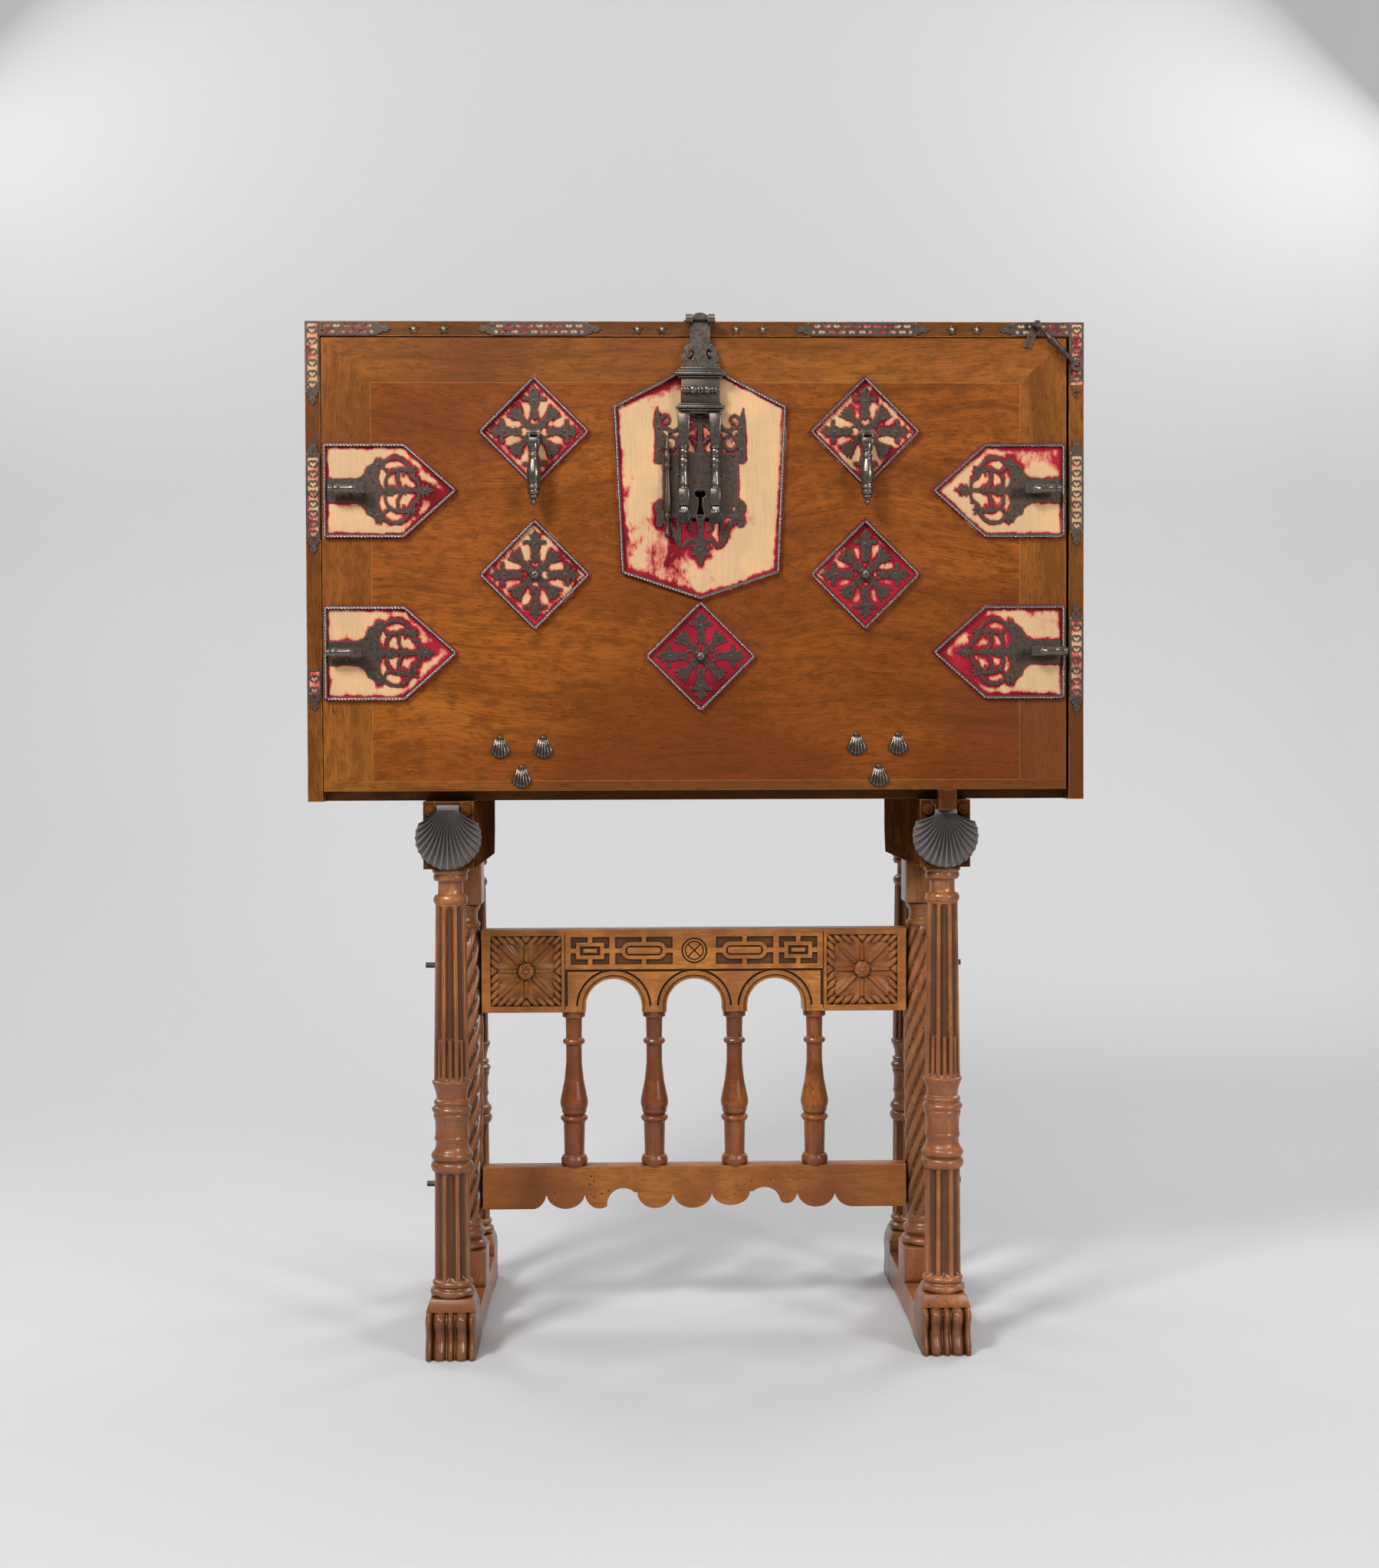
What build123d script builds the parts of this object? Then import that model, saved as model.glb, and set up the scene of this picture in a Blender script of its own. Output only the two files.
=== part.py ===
"""A vargueno: a fall-front writing chest on an arcaded trestle stand (pie de puente).

Millimetres, +Z up, the front faces -Y. The origin is on the floor, at the middle of the whole.
"""
from build123d import *
import os
from math import atan2, cos, hypot, radians, sin, tan

os.makedirs("parts", exist_ok=True)

# ---- Driving dimensions: the chest ------------------------------------------------------
CASE_WIDTH = 1050.0
CASE_DEPTH = 420.0
CASE_HEIGHT = 645.0
BOARD = 20.0                # thickness of top, sides and bottom
BACK_BOARD = 14.0
TAIL_COUNT = 5              # dovetails to a corner
TAIL_SLOPE = 3.0            # how much a tail widens on each side, over the board's thickness

# ---- Driving dimensions: the fall -------------------------------------------------------
FALL_THICK = 22.0
FALL_SILL = 14.0            # lower edge of the fall above the chest's underside
FALL_GAP_LEFT = 1.5
FALL_GAP_RIGHT = 4.0
FALL_GAP_TOP = 2.0
BATTEN_LEFT = 66.0
BATTEN_RIGHT = 63.0
TOP_BAND = 60.0
LIP = 13.0                  # strip along the fall's lower edge
SWING_CLEAR = 1.0           # air behind the fall's lower edge as it turns
HINGE_SPREAD = 330.0        # outer hinges from the middle one
KNUCKLE_R = 5.0
HINGE_PIN_R = 2.0
PIN_CLEAR = 0.05            # running clearance of every pin, on the radius
KNUCKLE_LONG = 16.0
KNUCKLE_SHORT = 11.0
KNUCKLE_GAP = 0.5
LEAF_THICK = 3.0
LEAF_LONG = 50.0

# ---- Driving dimensions: drawers --------------------------------------------------------
PLINTH = 28.0               # open height under the lowest shelf
SHELF = 12.0
DRAWER_ROWS = 3
CENTRE_ROWS = 2
CENTRE_BAY = 340.0          # between the centres of the two uprights
DRAWER_CLEAR = 0.5
DRAWER_FRONT = 12.0
DRAWER_WALL = 8.0
DRAWER_BOTTOM = 6.0
DRAWER_LENGTH = 330.0
KNOB_R = 8.0
KNOB_OUT = 14.0

# ---- Driving dimensions: the stand ------------------------------------------------------
STAND_HEIGHT = 756.0
FRAME_SPACING = 674.0       # between the middles of the two end frames
FRAME_WIDTH = 68.0
RUNNER_LENGTH = 445.0
RUNNER_HEIGHT = 50.0
RUNNER_ARCH = 8.0
TOE_HEIGHT = 63.0
TOE_OVERHANG = 16.0         # toes in front of the chest's front plane
TOE_BLOCK = 84.0
TOE_LOBES = 5
TOE_RELIEF = 5.0
COLUMN_SETBACK = 48.0       # column axis behind the toe's front
PLINTH_HEIGHT = 16.0        # sloping plinth under a column
PLINTH_TAPER = 20.0         # degrees
BEAM_HEIGHT = 92.0
BEAM_LENGTH = 402.0
BEAM_INSET = 4.0            # beam's front end behind the chest's front plane
BEAM_CHAMFER = 34.0
TENON = 24.0                # square tenons of the uprights
TENON_LONG = 20.0
TENON_CLEAR = 0.2
POST_BLOCK = 60.0
POST_FOOT = 51.0            # height of the square block at a post's foot
POST_R = 29.0               # greatest radius of a post
POST_NECK_R = 23.0

# ---- Driving dimensions: lopers ---------------------------------------------------------
FLANGE_WIDTH = 37.0
FLANGE_THICK = 7.0
WEB_WIDTH = 27.0
WEB_HEIGHT = 30.0
LOPER_LENGTH = 372.0
SLIDE_CLEAR = 0.3
SHELL_R = 44.0
SHELL_THICK = 20.0
SHELL_RIBS = 15
NECK_WIDTH = 31.0
NECK_RIGHT_DROP = 8.0       # the right-hand neck is cut down to take the fall rest
REST_WIDTH = 23.0
REST_DEPTH = 20.0

# ---- Driving dimensions: rails and spindles ---------------------------------------------
RAIL_THICK = 35.0
RAIL_BOTTOM = 444.0
RAIL_HEIGHT = 120.0
ARCH_R = 40.5
ARCH_STILT = 8.0
ARCH_PITCH = 117.0
ARCHIVOLT = 9.0
RELIEF = 2.5                # how far rail ornament stands proud
ROSETTE_R = 44.0
APRON_THICK = 30.0
APRON_TOP = 219.0
APRON_BOTTOM = 157.0
APRON_CUSP = 182.0
APRON_ARCH_TOP = 203.0
APRON_LOBE = 30.0           # half the middle scallop
RAIL_TENON_LONG = 14.0
RAIL_TENON_THICK = 14.0
SPINDLE_TENON = 11.0
SPINDLE_TENON_LONG = 10.0
BOLT_R = 4.0
BOLT_HOLE_R = 4.2
BOLT_OUT = 24.0             # bolt end beyond the post
BOLT_IN = 60.0              # bolt inside the rail
UPPER_BOLT_Z = 512.0
LOWER_BOLT_Z = 193.0

# ---- Driving dimensions: ironwork -------------------------------------------------------
IRON_X = 5.0                # the ironwork's middle, a little to the right of the chest's
PAD = 2.0                   # velvet
PLATE = 1.5                 # pierced iron
ROPE_WIDTH = 6.5
ROPE_THICK = 5.0
DIAMOND = 74.0              # half a diagonal
DIAMOND_SPREAD = 223.0
DIAMOND_UPPER = 497.0       # heights above the chest's underside
DIAMOND_LOWER = 305.0
DIAMOND_MIDDLE = 195.0
ROSETTE_LONG = 57.0
ROSETTE_SHORT = 45.0
ROSETTE_WAIST = 14.0
BOSS_R = 9.0
BOSS_OUT = 8.0
LOCK_PAD_TOP = 589.0
LOCK_PAD_SHOULDER = 531.0
LOCK_PAD_HIP = 308.0
LOCK_PAD_BOTTOM = 272.0
LOCK_PAD_TOP_HALF = 115.0
LOCK_PAD_LOW_HALF = 105.0
LOCK_TOP = 551.0
LOCK_BOTTOM = 318.0
LOCK_HALF = 51.5
COLONETTE_R = 5.5
SIDE_PAD_LONG = 110.0
SIDE_PAD_POINT = 68.0
SIDE_PAD_HALF = 63.0
SIDE_PAD_EDGE = 2.0         # pad's outer end inside the fall's edge
BOLT_HIGH = 418.0           # side bolts above the chest's underside
BOLT_LOW = 200.0
BAR_LONG = 96.0
BAR_HALF = 5.5
BAR_THICK = 7.0
BAR_CLEAR = 0.5
BAR_DEPTH = 6.0             # bar behind the fall's outer face
BAR_TIP = 1.2               # tip beyond the fall's edge when drawn back
BOLT_THROW = 12.0
MORTISE_DEPTH = 15.0
STEM_R = 2.0
GRIP_OUT = 20.0             # turned grip in front of the fall
GRIP_LONG = 48.0
PULL_UP = 492.0             # pull pivots above the chest's underside
PULL_OUT = 25.0             # pivots in front of the fall
PULL_LONG = 96.0
PULL_R = 10.5
EAR_R = 5.0
EAR_THICK = 3.0
EYE_WIDTH = 8.0
EAR_GAP = 0.4
STUD_R = 11.5
HASP_OUT = 15.5             # hasp pin in front of the chest's front plane
HASP_PIN_UP = 0.0           # hasp pin above the case top's upper face
HASP_SHELL_R = 5.0
HASP_PIN_R = 2.0
HASP_STRAP = 3.0
HASP_LEG_SPREAD = 42.0
HASP_WIDTH = 62.0
HOOK_R = 4.0
HOOK_OUT = 11.0             # corner hook's middle in front of the chest's front plane
HOOK_TOP_X = 459.0
HOOK_TOP_DROP = 5.0         # hook's pivot below the case top's upper face
HOOK_RUN = 54.0
HOOK_FALL = 55.0
MOUNT_CLOTH = 0.8
MOUNT_PLATE = 1.2
STAR_R = 7.0
STAR_POINTS = 5
STAR_PLACES = (-379, -339, -79, -46, 54, 90, 346, 379)
SWELLING_FACETS = 3         # flats along a turned swelling
HANDLE_UP = 318.0           # handle pivots above the chest's underside
HANDLE_SPAN = 110.0
HANDLE_DROP = 62.0
HANDLE_ROD_R = 5.0
HANDLE_OUT = 13.0           # handle's middle outside the case side
EYE_R = 15.0

# ---- Derived places ---------------------------------------------------------------------
# The front plane lies where the whole, from the pulls to the heels, is centred on the origin.
front_reach = PULL_OUT + PULL_R
back_reach = max(CASE_DEPTH, RUNNER_LENGTH - TOE_OVERHANG)
FRONT_Y = (front_reach - back_reach) / 2
half_width = CASE_WIDTH / 2
inner_half = half_width - BOARD
back_y = FRONT_Y + CASE_DEPTH
case_z = STAND_HEIGHT
case_top_z = case_z + CASE_HEIGHT
roof_z = case_top_z - BOARD
deck_z = case_z + BOARD
pivot_y = FRONT_Y + FALL_THICK
pivot_z = case_z + FALL_SILL + FALL_THICK
sill_y = FRONT_Y + 2 * FALL_THICK + SWING_CLEAR
carcass_y = sill_y + SWING_CLEAR
fall_left = -inner_half + FALL_GAP_LEFT
fall_right = inner_half - FALL_GAP_RIGHT
fall_bottom = case_z + FALL_SILL
fall_top = roof_z - FALL_GAP_TOP
hinge_places = [-HINGE_SPREAD, 0.0, HINGE_SPREAD]
knuckle_start = KNUCKLE_LONG / 2 + KNUCKLE_GAP
hinge_half = knuckle_start + KNUCKLE_SHORT

frame_half = FRAME_SPACING / 2
toe_y = FRONT_Y - TOE_OVERHANG
heel_y = toe_y + RUNNER_LENGTH
column_front_y = toe_y + COLUMN_SETBACK
column_back_y = heel_y - COLUMN_SETBACK
post_y = (toe_y + heel_y) / 2
beam_z = STAND_HEIGHT - BEAM_HEIGHT
beam_front = FRONT_Y + BEAM_INSET
beam_back = beam_front + BEAM_LENGTH
rail_top = RAIL_BOTTOM + RAIL_HEIGHT
rail_half = frame_half - POST_R
apron_half = frame_half - POST_R
rest_top = fall_bottom - SLIDE_CLEAR

face = Plane(origin=(0, FRONT_Y, 0), x_dir=(1, 0, 0), z_dir=(0, -1, 0))


# ---- Helpers ----------------------------------------------------------------------------
def save(piece, name):
    """Label a finished piece and write its STEP file."""
    piece.part.label = name
    export_step(piece.part, f"parts/{name}.step")


def group(pieces, name):
    """Write pieces that touch, but aren't one solid, as the separate solids of one node."""
    whole = Compound([solid for piece in pieces for solid in piece.part.solids()])
    whole.label = name
    export_step(whole, f"parts/{name}.step")


def block(low, high, mode=Mode.ADD):
    """A square block between two corners."""
    size = [b - a for a, b in zip(low, high)]
    middle = [(a + b) / 2 for a, b in zip(low, high)]
    with Locations(tuple(middle)):
        Box(*size, mode=mode)


def plate(points, out, thick, mode=Mode.ADD):
    """A flat plate from an outline of (x, z), its back `out` in front of the chest's face."""
    with BuildSketch(face.offset(out)) as outline:
        with BuildLine():
            Polyline(*points, close=True)
        make_face()
    extrude(outline.sketch, amount=thick, mode=mode)


def swelling(here, there, bulge):
    """Points between two ends of a swelling, as a turner's flat facets; positive bulges outwards on the way up."""
    (ax, ay), (bx, by) = here, there
    long = hypot(bx - ax, by - ay)
    points = []
    for i in range(1, SWELLING_FACETS):
        t = i / SWELLING_FACETS
        rise = 4 * bulge * t * (1 - t) / long
        points.append((ax + t * (bx - ax) + rise * (by - ay), ay + t * (by - ay) - rise * (bx - ax)))
    return points


def lathe(at, profile, mode=Mode.ADD):
    """Turn a profile of (radius, height[, bulge]) about the plane's own Y direction."""
    points = [(p[0], p[1]) for p in profile]
    with BuildSketch(at) as outline:
        with BuildLine():
            if points[0][0] > 0:
                Line((0, points[0][1]), points[0])
            for here, entry in zip(points, profile[1:]):
                there = (entry[0], entry[1])
                if len(entry) > 2:
                    Polyline(here, *swelling(here, there, entry[2]), there)
                else:
                    Line(here, there)
            if points[-1][0] > 0:
                Line(points[-1], (0, points[-1][1]))
            Line((0, points[-1][1]), (0, points[0][1]))
        make_face()
    revolve(outline.sketch, axis=Axis(at.origin, at.y_dir), mode=mode)


def rod(start, end, radius, mode=Mode.ADD):
    """A round rod between two points."""
    way = Vector(*end) - Vector(*start)
    with BuildSketch(Plane(origin=start, z_dir=way)) as section:
        Circle(radius)
    extrude(section.sketch, amount=way.length, mode=mode)


def dome(radius, height):
    """The bulge of an arc that ends level on the axis, for a low dome."""
    return hypot(radius, height) / 2 * tan(atan2(height, radius) / 2)


def upright(x, y):
    """The plane in which a standing piece at (x, y) is turned."""
    return Plane(origin=(x, y, 0), x_dir=(1, 0, 0), z_dir=(0, -1, 0))


def forward(x, y, z):
    """The plane in which a boss that stands out towards the front is turned."""
    return Plane(origin=(x, y, z), x_dir=(1, 0, 0), z_dir=(0, 0, -1))


def mirrored(points, middle=0.0):
    """An outline from its right half, listed from top to bottom."""
    left = [(-x, z) for x, z in reversed(points) if abs(x) > 0.01]
    return [(x + middle, z) for x, z in points + left]


def diamond(x, z, half):
    """The four corners of a square that stands on one corner."""
    return [(x, z + half), (x + half, z), (x, z - half), (x - half, z)]


# ---- The chest --------------------------------------------------------------------------
def tails(x_inner, x_outer, y_low, y_high, z_low, z_high, mode):
    """A row of dovetails, narrow at x_inner, across a board's end."""
    pitch = (y_high - y_low) / TAIL_COUNT
    root = pitch / 4
    for i in range(TAIL_COUNT):
        middle = y_low + pitch * (i + 0.5)
        with BuildSketch(Plane.XY.offset(z_low)) as tail:
            with BuildLine():
                Polyline(
                    (x_inner, middle - root),
                    (x_inner, middle + root),
                    (x_outer, middle + root + TAIL_SLOPE),
                    (x_outer, middle - root - TAIL_SLOPE),
                    close=True,
                )
            make_face()
        extrude(tail.sketch, amount=z_high - z_low, mode=mode)


with BuildPart() as case_top:
    block((-inner_half, FRONT_Y, roof_z), (inner_half, back_y, case_top_z))
    for side in (-1, 1):
        tails(side * inner_half, side * half_width, FRONT_Y, back_y, roof_z, case_top_z, Mode.ADD)
save(case_top, "case_top")

with BuildPart() as case_bottom:
    block((-inner_half, sill_y, case_z), (inner_half, back_y, deck_z))
    for side in (-1, 1):
        tails(side * inner_half, side * half_width, sill_y, back_y, case_z, deck_z, Mode.ADD)
save(case_bottom, "case_bottom")

mortise_y = FRONT_Y + BAR_DEPTH + BAR_THICK / 2
for side, name in ((-1, "case_side_left"), (1, "case_side_right")):
    with BuildPart() as case_side:
        block(
            (min(side * inner_half, side * half_width), FRONT_Y, case_z),
            (max(side * inner_half, side * half_width), back_y, case_top_z),
        )
        tails(side * inner_half, side * half_width, FRONT_Y, back_y, roof_z, case_top_z, Mode.SUBTRACT)
        tails(side * inner_half, side * half_width, sill_y, back_y, case_z, deck_z, Mode.SUBTRACT)
        for height in (BOLT_LOW, BOLT_HIGH):
            with Locations((side * (inner_half + MORTISE_DEPTH / 2), mortise_y, case_z + height)):
                Box(
                    MORTISE_DEPTH,
                    BAR_THICK + 2 * BAR_CLEAR,
                    2 * (BAR_HALF + BAR_CLEAR),
                    mode=Mode.SUBTRACT,
                )
    save(case_side, name)

with BuildPart() as case_back:
    block((-inner_half, back_y - BACK_BOARD, deck_z), (inner_half, back_y, roof_z))
save(case_back, "case_back")

# ---- The drawer carcass -----------------------------------------------------------------
carcass_back = back_y - BACK_BOARD
floor_top = pivot_z
low_shelf_top = floor_top + PLINTH + SHELF
upright_x = CENTRE_BAY / 2
plinth_y = carcass_y + LEAF_LONG + 2.0
bays = [
    ("left", -inner_half, -upright_x - SHELF / 2, DRAWER_ROWS),
    ("centre", -upright_x + SHELF / 2, upright_x - SHELF / 2, CENTRE_ROWS),
    ("right", upright_x + SHELF / 2, inner_half, DRAWER_ROWS),
]


def bay_pitch(rows):
    """From one shelf to the next in a bay with so many drawers."""
    return (roof_z - low_shelf_top + SHELF) / rows


with BuildPart() as carcass_floor:
    block((-inner_half, carcass_y, deck_z), (inner_half, carcass_back, floor_top))
save(carcass_floor, "carcass_floor")


def board(low, high):
    """A board of its own."""
    with BuildPart() as piece:
        block(low, high)
    return piece


boards = []
for side in (-1, 1):
    x = side * upright_x
    boards.append(board((x - SHELF / 2, carcass_y, floor_top), (x + SHELF / 2, carcass_back, roof_z)))
for _, x_low, x_high, rows in bays:
    plinth_top = floor_top + PLINTH
    boards.append(board((x_low, plinth_y, floor_top), (x_high, plinth_y + SHELF, plinth_top)))
    for row in range(rows):
        top = low_shelf_top + row * bay_pitch(rows)
        boards.append(board((x_low, carcass_y, top - SHELF), (x_high, carcass_back, top)))
group(boards, "carcass_boards")


def drawer(name, x_low, x_high, z_low, z_high):
    """An open box with a thicker front board, and its turned knob."""
    x0, x1 = x_low + DRAWER_CLEAR, x_high - DRAWER_CLEAR
    z0, z1 = z_low + SLIDE_CLEAR, z_high - 2 * DRAWER_CLEAR
    y0, y1 = carcass_y, carcass_y + DRAWER_LENGTH
    with BuildPart() as box:
        block((x0, y0, z0), (x1, y1, z1))
        block(
            (x0 + DRAWER_WALL, y0 + DRAWER_FRONT, z0 + DRAWER_BOTTOM),
            (x1 - DRAWER_WALL, y1 - DRAWER_WALL, z1),
            mode=Mode.SUBTRACT,
        )
    with BuildPart() as knob:
        lathe(forward((x0 + x1) / 2, y0, (z0 + z1) / 2), [
            (KNOB_R / 2, 0),
            (KNOB_R / 2, KNOB_OUT / 3),
            (KNOB_R, KNOB_OUT * 0.7),
            (0, KNOB_OUT, dome(KNOB_R, KNOB_OUT * 0.3)),
        ])
    group([box, knob], name)


for bay, x_low, x_high, rows in bays:
    for row in range(rows):
        z_low = low_shelf_top + row * bay_pitch(rows)
        drawer(f"drawer_{bay}_{row + 1}", x_low, x_high, z_low, z_low + bay_pitch(rows) - SHELF)

# ---- The fall ---------------------------------------------------------------------------
field_left = fall_left + BATTEN_LEFT
field_right = fall_right - BATTEN_RIGHT
field_top = fall_top - TOP_BAND
field_bottom = fall_bottom + LIP

side_bolts = [
    ("bolt_upper_left", -1, case_z + BOLT_HIGH, 0.0),
    ("bolt_lower_left", -1, case_z + BOLT_LOW, 5.0),
    ("bolt_upper_right", 1, case_z + BOLT_HIGH, 0.0),
    ("bolt_lower_right", 1, case_z + BOLT_LOW, 9.0),
]


def fall_edge(side):
    """The x of the fall's left (-1) or right (1) edge."""
    return fall_left if side < 0 else fall_right


def stem_x(side, shift):
    """Where a side bolt's stem stands when the bolt is drawn back."""
    return fall_edge(side) - side * (GRIP_LONG / 2 + BOLT_THROW - shift)


def slot_through(z, side, shift, out, thick):
    """The slot that a bolt's stem slides in, cut `thick` deep from `out` in front of the face."""
    x = stem_x(side, shift) + side * BOLT_THROW / 2
    long = BOLT_THROW + 2 * STEM_R + 2 * BAR_CLEAR
    with Locations((x, FRONT_Y - out + thick / 2, z)):
        Box(long, thick, 2 * (STEM_R + BAR_CLEAR), mode=Mode.SUBTRACT)


def bolt_channels():
    """The channels of the four side bolts inside the fall, with their stem slots."""
    y_low = mortise_y - BAR_THICK / 2 - BAR_CLEAR
    y_high = mortise_y + BAR_THICK / 2 + BAR_CLEAR
    for _, side, z, shift in side_bolts:
        inner = fall_edge(side) - side * (BAR_LONG + 2.0)
        outer = fall_edge(side) + side * BAR_TIP
        block(
            (min(inner, outer), y_low, z - BAR_HALF - BAR_CLEAR),
            (max(inner, outer), y_high, z + BAR_HALF + BAR_CLEAR),
            mode=Mode.SUBTRACT,
        )
        slot_through(z, side, shift, 0.0, y_low - FRONT_Y + BAR_CLEAR)


with BuildPart() as fall_panel:
    block((field_left, FRONT_Y, field_bottom), (field_right, pivot_y, field_top))
    for x in hinge_places:
        reach = hinge_half + KNUCKLE_GAP
        rod((x - reach, pivot_y, pivot_z), (x + reach, pivot_y, pivot_z), KNUCKLE_R + KNUCKLE_GAP,
            mode=Mode.SUBTRACT)
    bolt_channels()
save(fall_panel, "fall_panel")

band_outlines = [
    [
        (fall_left, field_bottom),
        (field_left, field_bottom),
        (field_left, field_top),
        (fall_left, fall_top),
    ],
    [
        (fall_right, field_bottom),
        (fall_right, fall_top),
        (field_right, field_top),
        (field_right, field_bottom),
    ],
    [(fall_left, fall_top), (field_left, field_top), (field_right, field_top), (fall_right, fall_top)],
    [
        (fall_left, fall_bottom),
        (fall_right, fall_bottom),
        (fall_right, field_bottom),
        (fall_left, field_bottom),
    ],
]
bands = []
for outline in band_outlines:
    with BuildPart() as band:
        plate(outline, -FALL_THICK, FALL_THICK)
        bolt_channels()
    bands.append(band)
group(bands, "fall_banding")

# Fall hinges: the middle knuckle and its pin stay on the carcass, the outer two turn with the fall.
with BuildPart() as fall_hinge_leaves:
    for x in hinge_places:
        for side in (-1, 1):
            near, far = x + side * knuckle_start, x + side * hinge_half
            rod((near, pivot_y, pivot_z), (far, pivot_y, pivot_z), KNUCKLE_R)
            block(
                (min(near, far), pivot_y, pivot_z),
                (max(near, far), pivot_y + LEAF_THICK, pivot_z + LEAF_LONG / 2),
            )
        block(
            (x - hinge_half, pivot_y, pivot_z + KNUCKLE_R + KNUCKLE_GAP),
            (x + hinge_half, pivot_y + LEAF_THICK, pivot_z + LEAF_LONG),
        )
        rod((x - hinge_half, pivot_y, pivot_z), (x + hinge_half, pivot_y, pivot_z), HINGE_PIN_R + PIN_CLEAR,
            mode=Mode.SUBTRACT)
save(fall_hinge_leaves, "fall_hinge_leaves")

with BuildPart() as carcass_hinge_leaves:
    for x in hinge_places:
        half = KNUCKLE_LONG / 2
        rod((x - half, pivot_y, pivot_z), (x + half, pivot_y, pivot_z), KNUCKLE_R)
        rod((x - hinge_half, pivot_y, pivot_z), (x + hinge_half, pivot_y, pivot_z), HINGE_PIN_R)
        block((x - half, pivot_y, pivot_z), (x + half, carcass_y, pivot_z + LEAF_THICK))
        block(
            (x - hinge_half, pivot_y + KNUCKLE_R + KNUCKLE_GAP, pivot_z),
            (x + hinge_half, carcass_y + LEAF_LONG, pivot_z + LEAF_THICK),
        )
save(carcass_hinge_leaves, "carcass_hinge_leaves")

# ---- Velvet, borders and pierced iron of the fall ---------------------------------------
upper_z = case_z + DIAMOND_UPPER
lower_z = case_z + DIAMOND_LOWER
diamonds = [
    (IRON_X - DIAMOND_SPREAD, upper_z),
    (IRON_X + DIAMOND_SPREAD, upper_z),
    (IRON_X - DIAMOND_SPREAD, lower_z),
    (IRON_X + DIAMOND_SPREAD, lower_z),
    (IRON_X, case_z + DIAMOND_MIDDLE),
]


def lock_pad(inset):
    """The lock's six-sided pad, its outline drawn in by `inset`."""
    half = [
        (0, LOCK_PAD_TOP - 1.15 * inset),
        (LOCK_PAD_TOP_HALF - inset, LOCK_PAD_SHOULDER - inset / 2),
        (LOCK_PAD_LOW_HALF - inset, LOCK_PAD_HIP + inset / 2),
        (0, LOCK_PAD_BOTTOM + 1.1 * inset),
    ]
    return mirrored([(x, z + case_z) for x, z in half], IRON_X)


def side_pad(side, z, inset):
    """A side bolt's pad: square at the fall's edge, pointed inwards."""
    outer = fall_edge(side) - side * (SIDE_PAD_EDGE + inset)
    shoulder = fall_edge(side) - side * (SIDE_PAD_EDGE + SIDE_PAD_LONG - inset / 2)
    tip = fall_edge(side) - side * (SIDE_PAD_EDGE + SIDE_PAD_LONG + SIDE_PAD_POINT - 1.4 * inset)
    half = SIDE_PAD_HALF - inset
    return [(outer, z - half), (outer, z + half), (shoulder, z + half), (tip, z), (shoulder, z - half)]


with BuildPart() as velvet_pads:
    for x, z in diamonds:
        plate(diamond(x, z, DIAMOND), 0, PAD)
    plate(lock_pad(0), 0, PAD)
    for _, side, z, shift in side_bolts:
        plate(side_pad(side, z, 0), 0, PAD)
        slot_through(z, side, shift, PAD, PAD)
save(velvet_pads, "velvet_pads")

with BuildPart() as rope_borders:
    for x, z in diamonds:
        plate(diamond(x, z, DIAMOND), PAD, ROPE_THICK)
        plate(diamond(x, z, DIAMOND - ROPE_WIDTH * 1.414), PAD, ROPE_THICK, mode=Mode.SUBTRACT)
    plate(lock_pad(0), PAD, ROPE_THICK)
    plate(lock_pad(ROPE_WIDTH), PAD, ROPE_THICK, mode=Mode.SUBTRACT)
    for _, side, z, shift in side_bolts:
        plate(side_pad(side, z, 0), PAD, ROPE_THICK)
        plate(side_pad(side, z, ROPE_WIDTH), PAD, ROPE_THICK, mode=Mode.SUBTRACT)
save(rope_borders, "rope_borders")

with BuildPart() as rosettes:
    for index, (x, z) in enumerate(diamonds):
        star = []
        for i in range(16):
            reach = ROSETTE_WAIST if i % 2 else (ROSETTE_LONG if i % 4 == 0 else ROSETTE_SHORT)
            angle = radians(90 - 22.5 * i)
            star.append((x + reach * cos(angle), z + reach * sin(angle)))
        plate(star, PAD, PLATE)
        if index > 1:
            lathe(forward(x, FRONT_Y - PAD - PLATE, z), [(BOSS_R, 0), (0, BOSS_OUT, dome(BOSS_R, BOSS_OUT))])
save(rosettes, "rosettes")

# ---- The lock ---------------------------------------------------------------------------
lock_outline = mirrored(
    [
        (0, case_z + LOCK_TOP),
        (9, case_z + LOCK_TOP - 30),
        (20, case_z + LOCK_TOP - 62),
        (LOCK_HALF - 8, case_z + LOCK_TOP - 66),
        (LOCK_HALF - 4, case_z + LOCK_TOP - 40),
        (LOCK_HALF + 2, case_z + LOCK_TOP - 68),
        (LOCK_HALF, case_z + LOCK_TOP - 165),
        (LOCK_HALF - 6, case_z + LOCK_BOTTOM + 56),
        (30, case_z + LOCK_BOTTOM + 22),
        (9, case_z + LOCK_BOTTOM + 10),
        (0, case_z + LOCK_BOTTOM),
    ],
    IRON_X,
)
keyhole_z = case_z + LOCK_TOP - 168
with BuildPart() as lock_body:
    plate(lock_outline, PAD, PLATE)
    with BuildSketch(face.offset(PAD)) as keyhole:
        with Locations((IRON_X, keyhole_z + 10)):
            Circle(4.5)
        with Locations((IRON_X, keyhole_z)):
            Rectangle(4.5, 20)
    extrude(keyhole.sketch, amount=PLATE, mode=Mode.SUBTRACT)
colonette_x = IRON_X - LOCK_HALF + 1.0
colonette_top = case_z + LOCK_TOP - 76
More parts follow.
